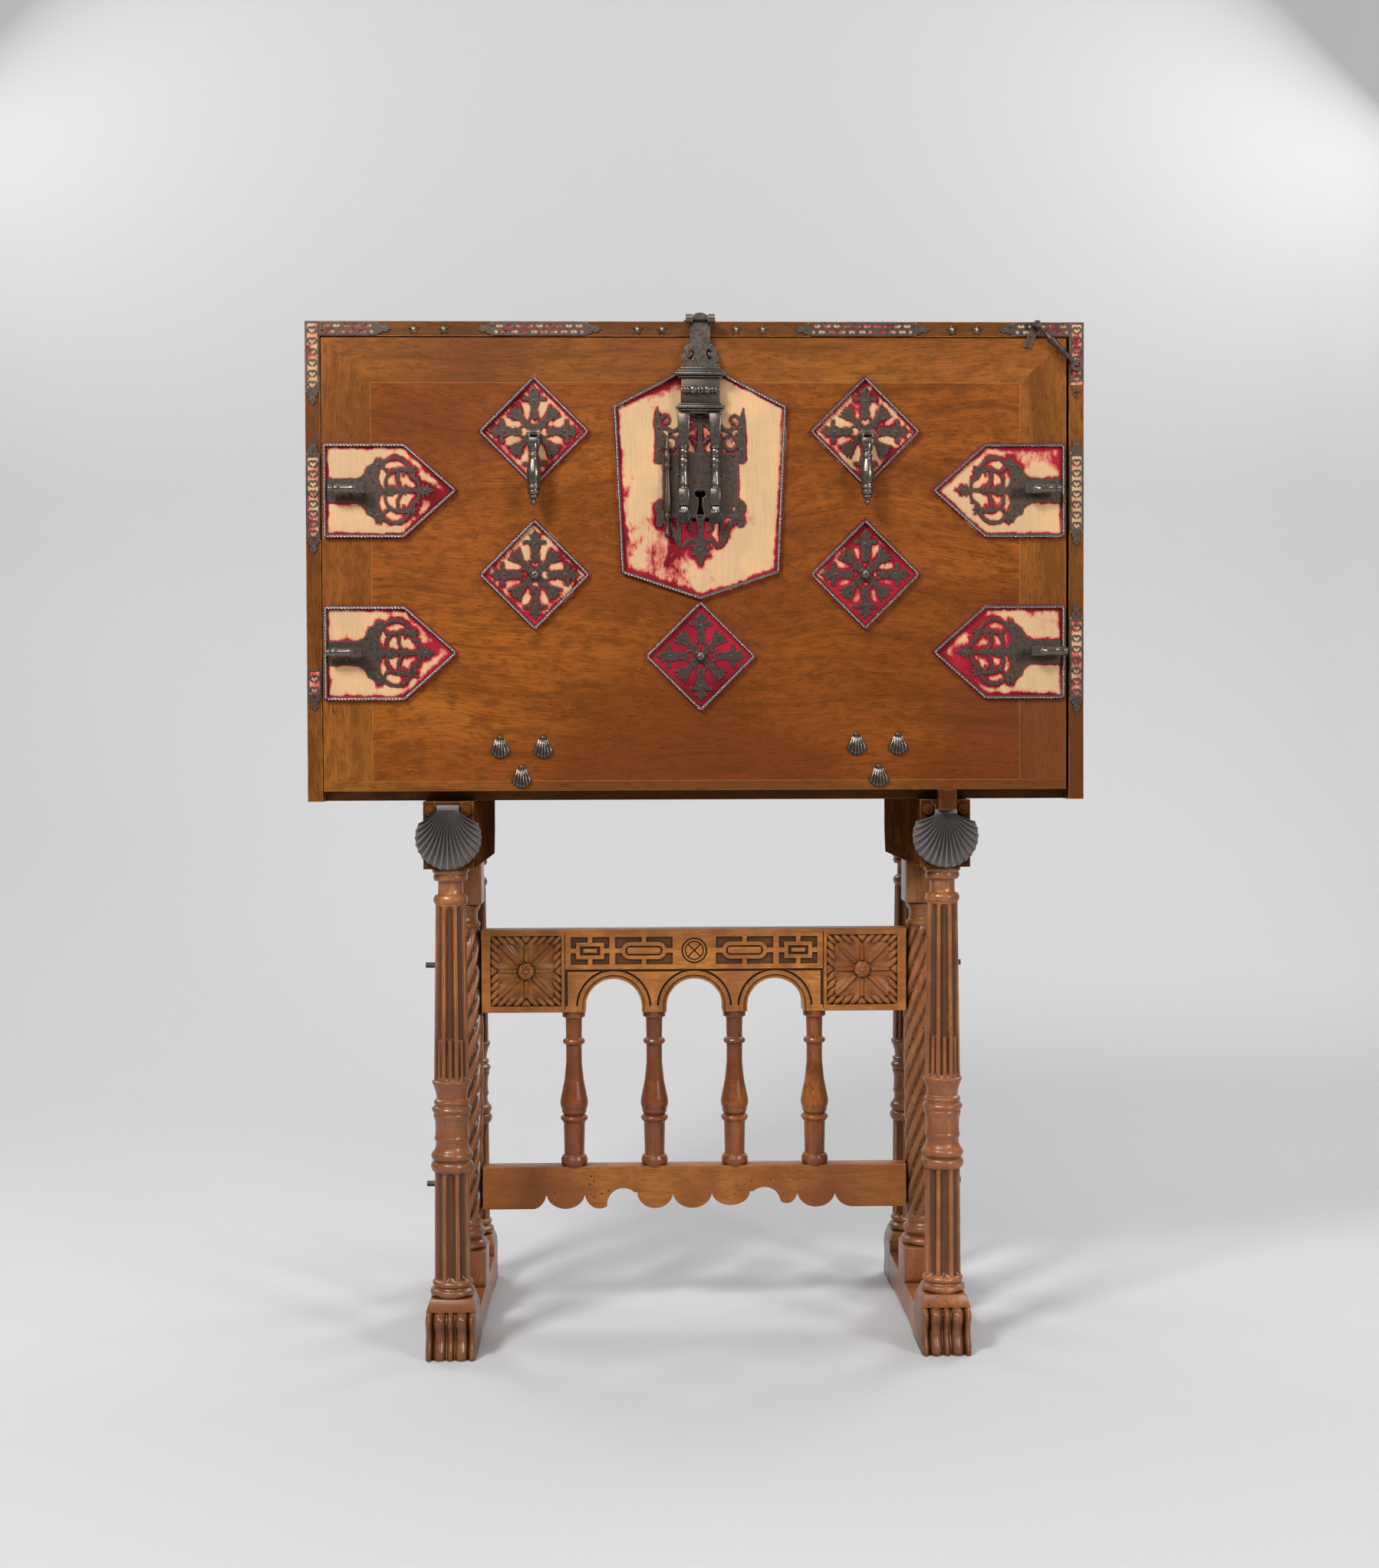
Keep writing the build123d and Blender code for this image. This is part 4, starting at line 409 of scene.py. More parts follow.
def finish(name):
    """The material of that name, made on first use."""
    if name in bpy.data.materials:
        return bpy.data.materials[name]
    c = colours()
    field, bands, stand, rails = (tuple(v) for v in (c.field, c.bands, c.stand, c.rails))
    woods = {
        "walnut field": (field, "X", {"figure": 1.0, "wear": 0.4, "dirt_and_shade": 0.0, "polish": 0.14}),
        "walnut band": (bands, "Z", {"figure": 0.5, "wear": 0.2, "red": 0.5, "dirt_and_shade": 0.0, "polish": 0.14}),
        "walnut top band": (bands, "X", {"figure": 0.6, "wear": 0.2, "red": 0.45, "dirt_and_shade": 0.0, "polish": 0.14}),
        "walnut case": (shade(bands, 0.72), "Z", {"figure": 0.6, "wear": 0.8, "red": 0.4, "dirt_and_shade": 0.5,
                                                  "polish": 0.16}),
        "walnut board": (shade(bands, 0.66), "X", {"figure": 0.8, "wear": 0.7, "dirt_and_shade": 0.5, "polish": 0.16}),
        "walnut stand": (stand, "Z", {"figure": 0.5, "wear": 0.85, "worm": 1.0, "red": 0.5, "dirt_and_shade": 0.97,
                                      "polish": 0.5, "matt": -0.06}),
        # Beams, lopers and curls: the stand's walnut made darker, painted shade.
        "shaded walnut beam": (shade(stand, 0.34), "Y", {"figure": 0.6, "wear": 0.7, "worm": 0.5, "polish": 0.0,
                                                  "matt": 0.5}),
        "walnut rail": (rails, "X", {"figure": 0.6, "wear": 0.6, "red": 0.25, "dirt_and_shade": 0.95, "polish": 0.3}),
        "walnut foot": (shade(stand, 0.78), "Z", {"figure": 0.5, "wear": 1.0, "worm": 1.0, "dirt_and_shade": 0.97,
                                                  "polish": 0.5, "matt": -0.04}),
        # The sunk grounds of the carving: the rails' walnut made darker, painted shade in the recesses.
        "walnut ground": (shade(rails, 0.33), "X", {"figure": 0.5, "wear": 0.2, "dirt_and_shade": 0.9}),
        "walnut spindle": (shade(rails, 0.54, 0.40, 0.33), "Z", {
            "figure": 0.4, "wear": 0.7, "worm": 1.0, "red": 0.6, "dirt_and_shade": 0.85, "polish": 0.5, "matt": -0.06}),
        "walnut apron": (shade(rails, 0.9), "X", {"figure": 0.6, "wear": 0.6, "worm": 1.6, "polish": 0.2}),
        "walnut inside": (shade(field, 0.7), "X", {"figure": 0.6, "wear": 0.2}),
    }
    if name in woods:
        base, grain, looks = woods[name]
        return walnut(name, base, grain, **looks)
    makers = {
        "iron": lambda: wrought(name, tuple(c.iron)),
        "bright iron": lambda: wrought(name, (0.15, 0.13, 0.115), bright=0.7, rough=0.24, rust=0.25, pitted=0.15),
        "rope iron": lambda: wrought(name, (0.17, 0.148, 0.132), bright=1.0, rough=0.28, rust=0.2, pitted=0.3),
        # A near-black metal for the sheet behind the keyhole: painted shade in the hole.
        "keyhole shade": lambda: plain_metal(name, (0.004, 0.003, 0.003), 0.9),
        "silvered brass": lambda: plain_metal(name, (0.62, 0.56, 0.42), 0.34),
        "worn velvet": lambda: worn_velvet(name),
        "strip velvet": lambda: worn_velvet(name, own_wear=-0.14),
        "black paint": lambda: black_paint(name),
    }
    return makers[name]()


def paint(finish_name, *nodes):
    """Give CAD nodes a finish."""
    for node in nodes:
        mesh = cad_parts[node].data
        mesh.materials.clear()
        mesh.materials.append(finish(finish_name))


# ---- Making meshes ----------------------------------------------------------------------
def placed(name, data):
    """A new object in the scene."""
    made = bpy.data.objects.new(name, data)
    bpy.context.scene.collection.objects.link(made)
    return made


def listed(points):
    """Points in millimetres as tuples in metres."""
    return [tuple(point) for point in np.asarray(points, float) * MM]


def places_of(mesh):
    """A mesh's points as an array, in metres."""
    places = np.zeros(len(mesh.vertices) * 3)
    mesh.vertices.foreach_get("co", places)
    return places.reshape(-1, 3)


def keep_values(mesh, name, values):
    """Store a number for each point."""
    mesh.attributes.new(name, "FLOAT", "POINT").data.foreach_set("value", values.astype(np.float32))


def piece(name, points, faces, finish_name, smooth=True):
    """A new object from points in millimetres."""
    mesh = bpy.data.meshes.new(name)
    mesh.from_pydata(listed(points), [], [tuple(face) for face in faces])
    mesh.validate()
    mesh.materials.append(finish(finish_name))
    if smooth:
        mesh.shade_smooth()
    return placed(name, mesh)


def mark_grooves(mesh, depth):
    """Keep how deep each point lies in a groove, 0 to 1, for the painted shade in the finish."""
    keep_values(mesh, "groove", np.clip(depth, 0, 1))


def ring_grooves(made, x, y, count, least, deep):
    """Mark a ringed body's grooves from each ring's own greatest reach."""
    places = places_of(made.data) / MM
    reach = np.hypot(places[:, 0] - x, places[:, 1] - y).reshape(-1, count)
    mark_grooves(made.data, ((reach.max(axis=1, keepdims=True) - reach - least) / deep).ravel())


def join(name, parts):
    """Several objects as one, each with its own finish and grooves kept."""
    points, faces, marks, slots, smooth, grooves = [], [], [], [], [], []
    for part in parts:
        mesh = part.data
        base = len(points)
        points.extend(map(tuple, places_of(mesh)))
        depth = np.zeros(len(mesh.vertices), np.float32)
        if "groove" in mesh.attributes:
            mesh.attributes["groove"].data.foreach_get("value", depth)
        grooves.append(depth)
        own = []
        for material in mesh.materials:
            if material not in slots:
                slots.append(material)
            own.append(slots.index(material))
        for face in mesh.polygons:
            faces.append([base + i for i in face.vertices])
            marks.append(own[face.material_index])
            smooth.append(face.use_smooth)
        bpy.data.objects.remove(part)
    mesh = bpy.data.meshes.new(name)
    mesh.from_pydata(points, [], faces)
    for material in slots:
        mesh.materials.append(material)
    mesh.polygons.foreach_set("material_index", marks)
    mesh.polygons.foreach_set("use_smooth", smooth)
    mesh.set_sharp_from_angle(angle=radians(50))
    if any(depth.any() for depth in grooves):
        mark_grooves(mesh, np.concatenate(grooves))
    return placed(name, mesh)


def settle(made, body, slot, *nodes):
    """Hang a finished piece on its body, and let it stand for CAD nodes."""
    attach(made, body)
    if nodes:
        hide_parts(*nodes)
    return made


def crisp(made, angle=40):
    """Smooth shading with sharp edges kept."""
    made.data.shade_smooth()
    made.data.set_sharp_from_angle(angle=radians(angle))
    return made


def frozen(made):
    """Apply an object's modifiers."""
    depsgraph = bpy.context.evaluated_depsgraph_get()
    mesh = bpy.data.meshes.new_from_object(made.evaluated_get(depsgraph))
    made.modifiers.clear()
    made.data = mesh
    return made


def outward(made):
    """Turn a closed mesh's faces outwards."""
    work = bmesh.new()
    work.from_mesh(made.data)
    bmesh.ops.recalc_face_normals(work, faces=work.faces)
    work.to_mesh(made.data)
    work.free()
    return made


def softened(made, bevel):
    """Round a block's edges a little."""
    modifier = made.modifiers.new("edges", "BEVEL")
    modifier.width = bevel * MM
    modifier.segments = 2
    return crisp(frozen(made), 50)


def tapered_block(name, bottom, top, finish_name, bevel):
    """A block between two level rectangles, each given as (x low, x high, y low, y high, z)."""
    points = []
    for x_low, x_high, y_low, y_high, z in (bottom, top):
        points += [(x_low, y_low, z), (x_high, y_low, z), (x_high, y_high, z), (x_low, y_high, z)]
    faces = [(3, 2, 1, 0), (4, 5, 6, 7), (0, 1, 5, 4), (1, 2, 6, 5), (2, 3, 7, 6), (3, 0, 4, 7)]
    return softened(piece(name, points, faces, finish_name, smooth=False), bevel)


def bevelled_box(name, low, high, finish_name, bevel=1.0):
    """A block with small rounded edges."""
    return tapered_block(name, (low[0], high[0], low[1], high[1], low[2]), (low[0], high[0], low[1], high[1], high[2]),
                         finish_name, bevel)


def grid_faces(rows, columns, wrap=False):
    """Quads over a grid of rows x columns points; `wrap` closes each row into a ring."""
    faces = []
    across = columns if wrap else columns - 1
    for i in range(rows - 1):
        for j in range(across):
            k = (j + 1) % columns
            faces.append((i * columns + j, i * columns + k, (i + 1) * columns + k, (i + 1) * columns + j))
    return faces


def closed_rings(name, rings, finish_name, smooth=True):
    """A skin over a stack of rings, closed at both ends."""
    rings = np.asarray(rings, float)
    rows, columns = rings.shape[:2]
    faces = grid_faces(rows, columns, wrap=True)
    faces += [tuple(reversed(range(columns))), tuple(range((rows - 1) * columns, rows * columns))]
    return piece(name, rings.reshape(-1, 3), faces, finish_name, smooth)


def two_sided(name, front, rear, finish_name, angle):
    """A closed skin over two facing grids of points."""
    rows, count = len(front), len(front[0])
    shift = rows * count
    faces = grid_faces(rows, count)
    faces += [tuple(shift + k for k in reversed(face)) for face in grid_faces(rows, count)]
    rim = (list(range(count)) + [i * count + count - 1 for i in range(1, rows)]
           + [(rows - 1) * count + j for j in range(count - 2, -1, -1)] + [i * count for i in range(rows - 2, 0, -1)])
    faces += [(b, a, a + shift, b + shift) for a, b in zip(rim, rim[1:] + rim[:1])]
    points = np.array(front + rear).reshape(-1, 3)
    return crisp(piece(name, points, [tuple(reversed(face)) for face in faces], finish_name), angle)


def eased(profile, cut):
    """A profile with each corner cut back a little, so that it catches light."""
    profile = [np.array(p, float) for p in profile]
    made = [profile[0]]
    for before, here, after in zip(profile, profile[1:], profile[2:]):
        for other in (before, after):
            way = other - here
            long = np.linalg.norm(way)
            made.append(here + way * min(cut / max(long, 1e-6), 0.35))
    made.append(profile[-1])
    return made


def turned(name, profile, finish_name, at=(0, 0, 0), up=(0, 0, 1), segments=32, cut=0.5):
    """A turned piece from (radius, height) pairs."""
    up = Vector(up).normalized()
    side = Vector((1, 0, 0)) if abs(up.z) > 0.99 else up.orthogonal().normalized()
    front = up.cross(side)
    rings = []
    for radius, height in eased(profile, cut):
        middle = Vector(at) + up * height
        angles = [tau * (j + 0.5) / segments for j in range(segments)]
        rings.append([middle + side * cos(angle) * radius + front * sin(angle) * radius for angle in angles])
    return crisp(closed_rings(name, rings, finish_name), 50)


def dome_head(name, x, z, out, radius, height, finish_name, segments=14):
    """A round nail head standing `out` in front of the fall's face."""
    profile = [(radius, -1.0)] + [(radius * cos(a), height * sin(a)) for a in np.linspace(0, 1.45, 5)]
    return turned(name, profile, finish_name, at=(x, FACE - out, z), up=(0, -1, 0), segments=segments, cut=0.01)


# ---- Cut sheets: shapes given by a distance, negative inside ------------------------------
def disc(x, z, cx, cz, radius):
    return np.hypot(x - cx, z - cz) - radius


def stroke(x, z, points, widths):
    """A tapered stroke along a line of points; widths are half widths."""
    best = np.full(np.shape(x), 1e9)
    if not hasattr(widths, "__len__"):
        widths = [widths] * len(points)
    for (ax, az), (bx, bz), wa, wb in zip(points, points[1:], widths, widths[1:]):
        dx, dz = bx - ax, bz - az
        long = max(dx * dx + dz * dz, 1e-9)
        t = np.clip(((x - ax) * dx + (z - az) * dz) / long, 0, 1)
        best = np.minimum(best, np.hypot(x - ax - t * dx, z - az - t * dz) - (wa + (wb - wa) * t))
    return best


def curl(points, steps=6):
    """A smooth line through a few points."""
    points = [np.array(p, float) for p in points]
    ends = [2 * points[0] - points[1]] + points + [2 * points[-1] - points[-2]]
    line = []
    for a, b, c, d in zip(ends, ends[1:], ends[2:], ends[3:]):
        for i in range(steps):
            t = i / steps
            line.append(0.5 * (2 * b + (c - a) * t + (2 * a - 5 * b + 4 * c - d) * t * t
                               + (3 * b - a - 3 * c + d) * t ** 3))
    line.append(points[-1])
    return [tuple(p) for p in line]


def scroll(x, z, points, widths, steps=5):
    """A smooth tapered stroke through a few points."""
    line = curl(points, steps)
    if not hasattr(widths, "__len__"):
        widths = [widths] * len(points)
    full = np.interp(np.linspace(0, len(points) - 1, len(line)), range(len(points)), widths)
    return stroke(x, z, line, list(full))


def polygon(x, z, points):
    """Signed distance to a polygon."""
    inside = np.zeros(np.shape(x), bool)
    best = np.full(np.shape(x), 1e9)
    for (ax, az), (bx, bz) in zip(points, points[1:] + points[:1]):
        dx, dz = bx - ax, bz - az
        t = np.clip(((x - ax) * dx + (z - az) * dz) / max(dx * dx + dz * dz, 1e-9), 0, 1)
        best = np.minimum(best, np.hypot(x - ax - t * dx, z - az - t * dz))
        crosses = (az > z) != (bz > z)
        with np.errstate(divide="ignore", invalid="ignore"):
            inside ^= crosses & (x < (bx - ax) * (z - az) / (bz - az) + ax)
    return np.where(inside, -best, best)


def round_box(x, z, cx, cz, half_x, half_z, radius=0.0):
    dx = np.abs(x - cx) - half_x + radius
    dz = np.abs(z - cz) - half_z + radius
    return np.hypot(np.maximum(dx, 0), np.maximum(dz, 0)) + np.minimum(np.maximum(dx, dz), 0) - radius


def union(*fields):
    """What lies inside any of the shapes."""
    return np.minimum.reduce(fields)


def less(field, *holes):
    """A shape with holes cut out of it."""
    return np.maximum.reduce([field] + [-hole for hole in holes])


STEPS = {1: [(0, 3)], 2: [(1, 0)], 3: [(1, 3)], 4: [(2, 1)], 5: [(0, 3), (2, 1)], 6: [(2, 0)], 7: [(2, 3)],
         8: [(3, 2)], 9: [(0, 2)], 10: [(1, 0), (3, 2)], 11: [(1, 2)], 12: [(3, 1)], 13: [(0, 1)], 14: [(3, 0)]}


def outlines(shape, low, high, pitch):
    """The outlines of a shape inside a box, as closed loops of points."""
    xs = np.arange(low[0] - pitch, high[0] + 2 * pitch, pitch)
    zs = np.arange(low[1] - pitch, high[1] + 2 * pitch, pitch)
    gx, gz = np.meshgrid(xs, zs, indexing="ij")
    value = shape(gx, gz)
    value[np.abs(value) < 1e-6] = 1e-6
    inside = value < 0
    case = (inside[:-1, :-1] * 1 + inside[1:, :-1] * 2 + inside[1:, 1:] * 4 + inside[:-1, 1:] * 8)
    onward = {}

    def edge(i, j, side):
        return {0: (i, j, 0), 1: (i + 1, j, 1), 2: (i, j + 1, 0), 3: (i, j, 1)}[side]

    def place(key):
        i, j, upright = key
        k, m = (i, j + 1) if upright else (i + 1, j)
        t = value[i, j] / (value[i, j] - value[k, m])
        return (xs[i] + t * (xs[k] - xs[i]), zs[j] + t * (zs[m] - zs[j]))

    for i, j in zip(*np.nonzero((case > 0) & (case < 15))):
        for a, b in STEPS[int(case[i, j])]:
            onward[edge(i, j, a)] = edge(i, j, b)
    loops = []
    while onward:
        first = next(iter(onward))
        loop, here = [], first
        while here in onward:
            loop.append(place(here))
            here = onward.pop(here)
        if len(loop) > 5:
            loops.append(thinned(loop, 0.05 * pitch + 0.02))
    return loops


def thinned(loop, within):
    """A closed loop without the points that hardly bend it."""
    points = np.array(loop)
    keep = np.zeros(len(points), bool)
    far = int(np.argmax(np.hypot(*(points - points[0]).T)))
    keep[[0, far]] = True
    spans = [(0, far), (far, len(points))]
    while spans:
        a, b = spans.pop()
        if b - a < 2:
            continue
        here = points[a]
        way = points[b % len(points)] - here
        long = max(hypot(*way), 1e-9)
        middle = points[a + 1:b]
        off = np.abs((middle - here) @ np.array([-way[1], way[0]])) / long
        if off.max() > within:
            bend = a + 1 + int(np.argmax(off))
            keep[bend] = True
            spans += [(a, bend), (bend, b)]
    return [tuple(p) for p in points[keep]]


def cut_sheet(name, shape, low, high, back, thick, finish_name, pitch=0.6, bevel=None, at=(0, 0), face=None):
    """A sheet cut to a shape, its back `back` in front of a face (the fall's if none is given)."""
    if bevel is None:
        bevel = bpy.context.scene.vargueno_iron.plate_bevel / MM
    curve = bpy.data.curves.new(name, "CURVE")
    curve.dimensions = "2D"
    curve.fill_mode = "BOTH"
    curve.extrude = (thick / 2 - bevel) * MM
    curve.bevel_depth = bevel * MM
    curve.bevel_resolution = 1
    curve.offset = -bevel * MM
    for loop in outlines(shape, low, high, pitch):
        spline = curve.splines.new("POLY")
        spline.points.add(len(loop) - 1)
        for point, (x, z) in zip(spline.points, loop):
            point.co = (x * MM, z * MM, 0, 1)
        spline.use_cyclic_u = True
    holder = placed(name, curve)
    bpy.context.view_layer.update()
    mesh = bpy.data.meshes.new_from_object(holder.evaluated_get(bpy.context.evaluated_depsgraph_get()))
    bpy.data.objects.remove(holder)
    middle = (FACE if face is None else face) - back - thick / 2
    mesh.transform(Matrix(((1, 0, 0, at[0] * MM), (0, 0, -1, middle * MM), (0, 1, 0, at[1] * MM), (0, 0, 0, 1))))
    mesh.materials.clear()
    mesh.materials.append(finish(finish_name))
    return crisp(placed(name, mesh), 35)


def node_group(name, inputs):
    """A new Geometry Nodes tree with named inputs [(name, kind, default)]."""
    tree = bpy.data.node_groups.new(name, "GeometryNodeTree")
    tree.interface.new_socket("Geometry", in_out="INPUT", socket_type="NodeSocketGeometry")
    for label, kind, default in inputs:
        tree.interface.new_socket(label, in_out="INPUT", socket_type=kind).default_value = default
    tree.interface.new_socket("Geometry", in_out="OUTPUT", socket_type="NodeSocketGeometry")
    tree.is_modifier = True
    return tree, put(tree, "NodeGroupInput"), put(tree, "NodeGroupOutput")


def grow(made, tree, values):
    """Run a Geometry Nodes tree on an object and keep the plain mesh that it makes."""
    modifier = made.modifiers.new("grow", "NODES")
    modifier.node_group = tree
    names = {item.name: item.identifier for item in tree.interface.items_tree
             if item.item_type == "SOCKET" and item.in_out == "INPUT"}
    for label, value in values.items():
        modifier[names[label]] = value
    return frozen(made)


def close_tree(tree, result, finish_name, end):
    """Realise the instances and give the finish."""
    real = put(tree, "GeometryNodeRealizeInstances", {0: result}).outputs[0]
    shaded = put(tree, "GeometryNodeSetShadeSmooth", {"Geometry": real}).outputs[0]
    done = put(tree, "GeometryNodeSetMaterial", {"Geometry": shaded, "Material": finish(finish_name)}).outputs[0]
    tree.links.new(done, end.inputs[0])


# ---- Stage ------------------------------------------------------------------------------
def build_stage():
    """Camera, pale floor running up into a backdrop, and soft light from above and in front."""
    scene = bpy.context.scene
    plan = scene.vargueno_stage
    lens = bpy.data.cameras.new("camera")
    lens.sensor_fit = "VERTICAL"
    lens.sensor_height = 36
    lens.lens = plan.lens
    camera = placed("camera", lens)
    turn = (Matrix.Rotation(plan.camera_yaw, 4, "Z") @ Matrix.Rotation(pi / 2 - plan.camera_pitch, 4, "X")
            @ Matrix.Rotation(plan.camera_roll, 4, "Z"))
    camera.matrix_world = Matrix.Translation((plan.camera_x, plan.camera_y, plan.camera_z)) @ turn
    scene.camera = camera

    sweep = [(-9.0, 0.0), (1.6, 0.0)]
    sweep += [(1.6 + 1.6 * sin(a), 1.6 - 1.6 * cos(a)) for a in np.linspace(0.1, pi / 2, 14)]
    sweep.append((3.2, 9.0))
    points = [(x, y, z - 0.0002) for y, z in sweep for x in (-12, 12)]
    mesh = bpy.data.meshes.new("floor")
    mesh.from_pydata(points, [], grid_faces(len(sweep), 2))
    mesh.shade_smooth()
    floor = placed("floor", mesh)
    pale = bpy.data.materials.new("pale floor")
    pale.use_nodes = True
    shader = pale.node_tree.nodes["Principled BSDF"]
    shader.inputs["Base Color"].default_value = (*plan.floor, 1)
    shader.inputs["Roughness"].default_value = 0.7
    # The lamps don't reach the far ends of the backdrop: there it glows, for the camera alone.
    tree = pale.node_tree
    place = put(tree, "ShaderNodeTexCoord").outputs["Object"]
    across = put(tree, "ShaderNodeSeparateXYZ", {"Vector": place}).outputs["X"]
    glow = spread(tree, sums(tree, "ABSOLUTE", across, 0.0), 2.0, 5.5, 0.0, 0.5)
    seen = put(tree, "ShaderNodeLightPath").outputs["Is Camera Ray"]
    shader.inputs["Emission Color"].default_value = (1, 1, 1, 1)
    tree.links.new(times(tree, glow, seen), shader.inputs["Emission Strength"])
    mesh.materials.append(pale)

    lamps = [
        ("key", (-1.9, -2.6, 3.4), (0, 0, 0.8), 0.8, 135),
        ("fill", (2.6, -2.9, 2.0), (0, 0, 0.8), 0.8, 62),
        ("front", (-0.5, -3.8, 3.4), (0, 0, 0.6), 1.6, 45),
        ("back_left", (-2.5, 2.3, 3.3), (0, 0, 0.8), 1.4, 48),
        ("back_right", (2.5, 2.3, 3.3), (0, 0, 0.8), 1.4, 60),
        ("backdrop", (0, 0.6, 4.6), (0, 2.6, 0.6), 3.5, 55),
    ]
    for name, at, to, size, power in lamps:
        light = bpy.data.lights.new(name, "AREA")
        light.size = size
        light.energy = power
        lamp = placed(name, light)
        aim = (Vector(to) - Vector(at)).to_track_quat("-Z", "Y").to_matrix().to_4x4()
        lamp.matrix_world = Matrix.Translation(at) @ aim
    world = bpy.data.worlds.new("studio")
    world.use_nodes = True
    tree = world.node_tree
    soft = tree.nodes["Background"]
    soft.inputs["Color"].default_value = (1.0, 0.97, 0.94, 1)
    seen = put(tree, "ShaderNodeLightPath").outputs["Is Camera Ray"]
    tree.links.new(spread(tree, seen, 0.0, 1.0, 0.22, 0.6), soft.inputs["Strength"])
    scene.world = world
    scene.view_settings.view_transform = "Standard"
    scene.view_settings.look = "None"


def paint_frame():
    """Finishes for the CAD nodes that are shown as they are."""
    paint("walnut field", "fall_panel")
    paint("walnut band", "fall_banding")
    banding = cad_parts["fall_banding"].data
    banding.materials.append(finish("walnut top band"))
    top = corner("fall_banding", 1).z
    lip = CASE_LOW + LIP_HIGH
    for face in banding.polygons:
        x, z = face.center.x / MM, face.center.z / MM
        inwards = FALL_RIGHT - x if x > 0 else x - FALL_LEFT
        if top - z < min(inwards, BAND_WIDE) or z < lip:
            face.material_index = 1
    paint("walnut case", "case_side_left", "case_side_right")
    paint("walnut board", "case_top", "case_bottom", "case_back")
    paint("shaded walnut beam", "beam_left", "beam_right", "loper_left", "loper_right", "fall_rest")
    paint("walnut spindle", "spindles")
    drawers = [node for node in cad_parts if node.startswith("drawer_")]
    paint("walnut inside", "carcass_floor", "carcass_boards", *drawers)
    paint("iron", "fall_hinge_leaves", "carcass_hinge_leaves", "hasp_hinge", "fall_staples", "corner_hook",
          "handle_eyes", "handle_left", "handle_right", "tie_bolts")
    grips = [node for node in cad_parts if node.startswith("bolt_") and node != "bolt_plates"]
    paint("bright iron", *grips)
    round_nodes = ("fall_staples", "spindles", "handle_left", "handle_right", "handle_eyes", "corner_hook",
                   "tie_bolts")
    for node in (*grips, *round_nodes):
        crisp(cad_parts[node])


# ---- Velvet and borders -----------------------------------------------------------------
def diamond(x, z, half):
    return [(x, z + half), (x + half, z), (x, z - half), (x - half, z)]


def lock_pad(inset=0.0):
    """The lock's six-sided pad, drawn in by `inset`."""
    half = [(0, 593 - 1.15 * inset), (118 - inset, 532 - inset / 2), (108 - inset, 307 + inset / 2),
            (0, 270 + 1.1 * inset)]
    right = [(IRON_X + x, CASE_LOW + z) for x, z in half]
    left = [(IRON_X - x, CASE_LOW + z) for x, z in half[-2:0:-1]]
    return right + left


def fall_edge(side):
    """The fall's left (-1) or right (1) edge."""
    return FALL_RIGHT if side > 0 else FALL_LEFT


def side_pad(side, z, inset=0.0):
    """A side bolt's pad: square at the fall's edge, pointed inwards."""
    edge = fall_edge(side)
    outer = edge - side * (1 + inset)
    shoulder = edge - side * (112 - inset / 2)
    tip = edge - side * (184 - 1.4 * inset)
    half = 64.5 - inset
    return [(outer, z - half), (outer, z + half), (shoulder, z + half), (tip, z), (shoulder, z - half)]


def ironwork(x, z):
    """Distance to the pierced iron that lies on the velvet."""
    fields = [rosette_shape(x - cx, z - cz) for cx, cz in DIAMONDS]
    fields.append(lock_shape(x - IRON_X, z - LOCK_TOP))
    fields += [bolt_plate_shape((fall_edge(side) - x) * side, z - height) for side, height in SIDE_BOLTS]
    return union(*fields)


def velvet_piece(name, outline, wear):
    """One pad of cloth, with its pile worn down away from the iron and the borders."""
    low, high = np.min(outline, axis=0), np.max(outline, axis=0)
    pitch, margin, rope_wide = 3.2, 1.5, 6.5
    xs, zs = np.meshgrid(np.arange(low[0], high[0], pitch), np.arange(low[1], high[1], pitch))
    keep = polygon(xs, zs, outline) < -margin
    points = list(outline) + list(zip(xs[keep], zs[keep]))
    sides = [(i, (i + 1) % len(outline)) for i in range(len(outline))]
    flat, _, faces, *_ = geometry.delaunay_2d_cdt([Vector(p) for p in points], sides, [], 1, 0.01)
    x, z = np.array([tuple(p) for p in flat]).T
    rim = -polygon(x, z, outline)
    ripple = 0.01 * np.sin(x * 0.21 + z * 0.13) * np.sin(z * 0.19)
    y = np.where(rim < 1.0, FACE - 0.1, FACE - PAD + 0.15 - ripple)
    made = piece(name, np.stack([x, y, z], axis=1), faces, "worn velvet")
    if made.data.polygons[0].normal.y > 0:
        made.data.flip_normals()
    near = np.maximum(np.minimum(ironwork(x, z), rim - rope_wide), 0)
    u, v = (x - low[0]) / (high[0] - low[0]), (z - low[1]) / (high[1] - low[1])
    keep_values(made.data, "pile", 0.06 + 0.66 * np.exp(-(near / 3.6) ** 1.2) + wear(u, v))
    return settle(made, "fall", "velvet")


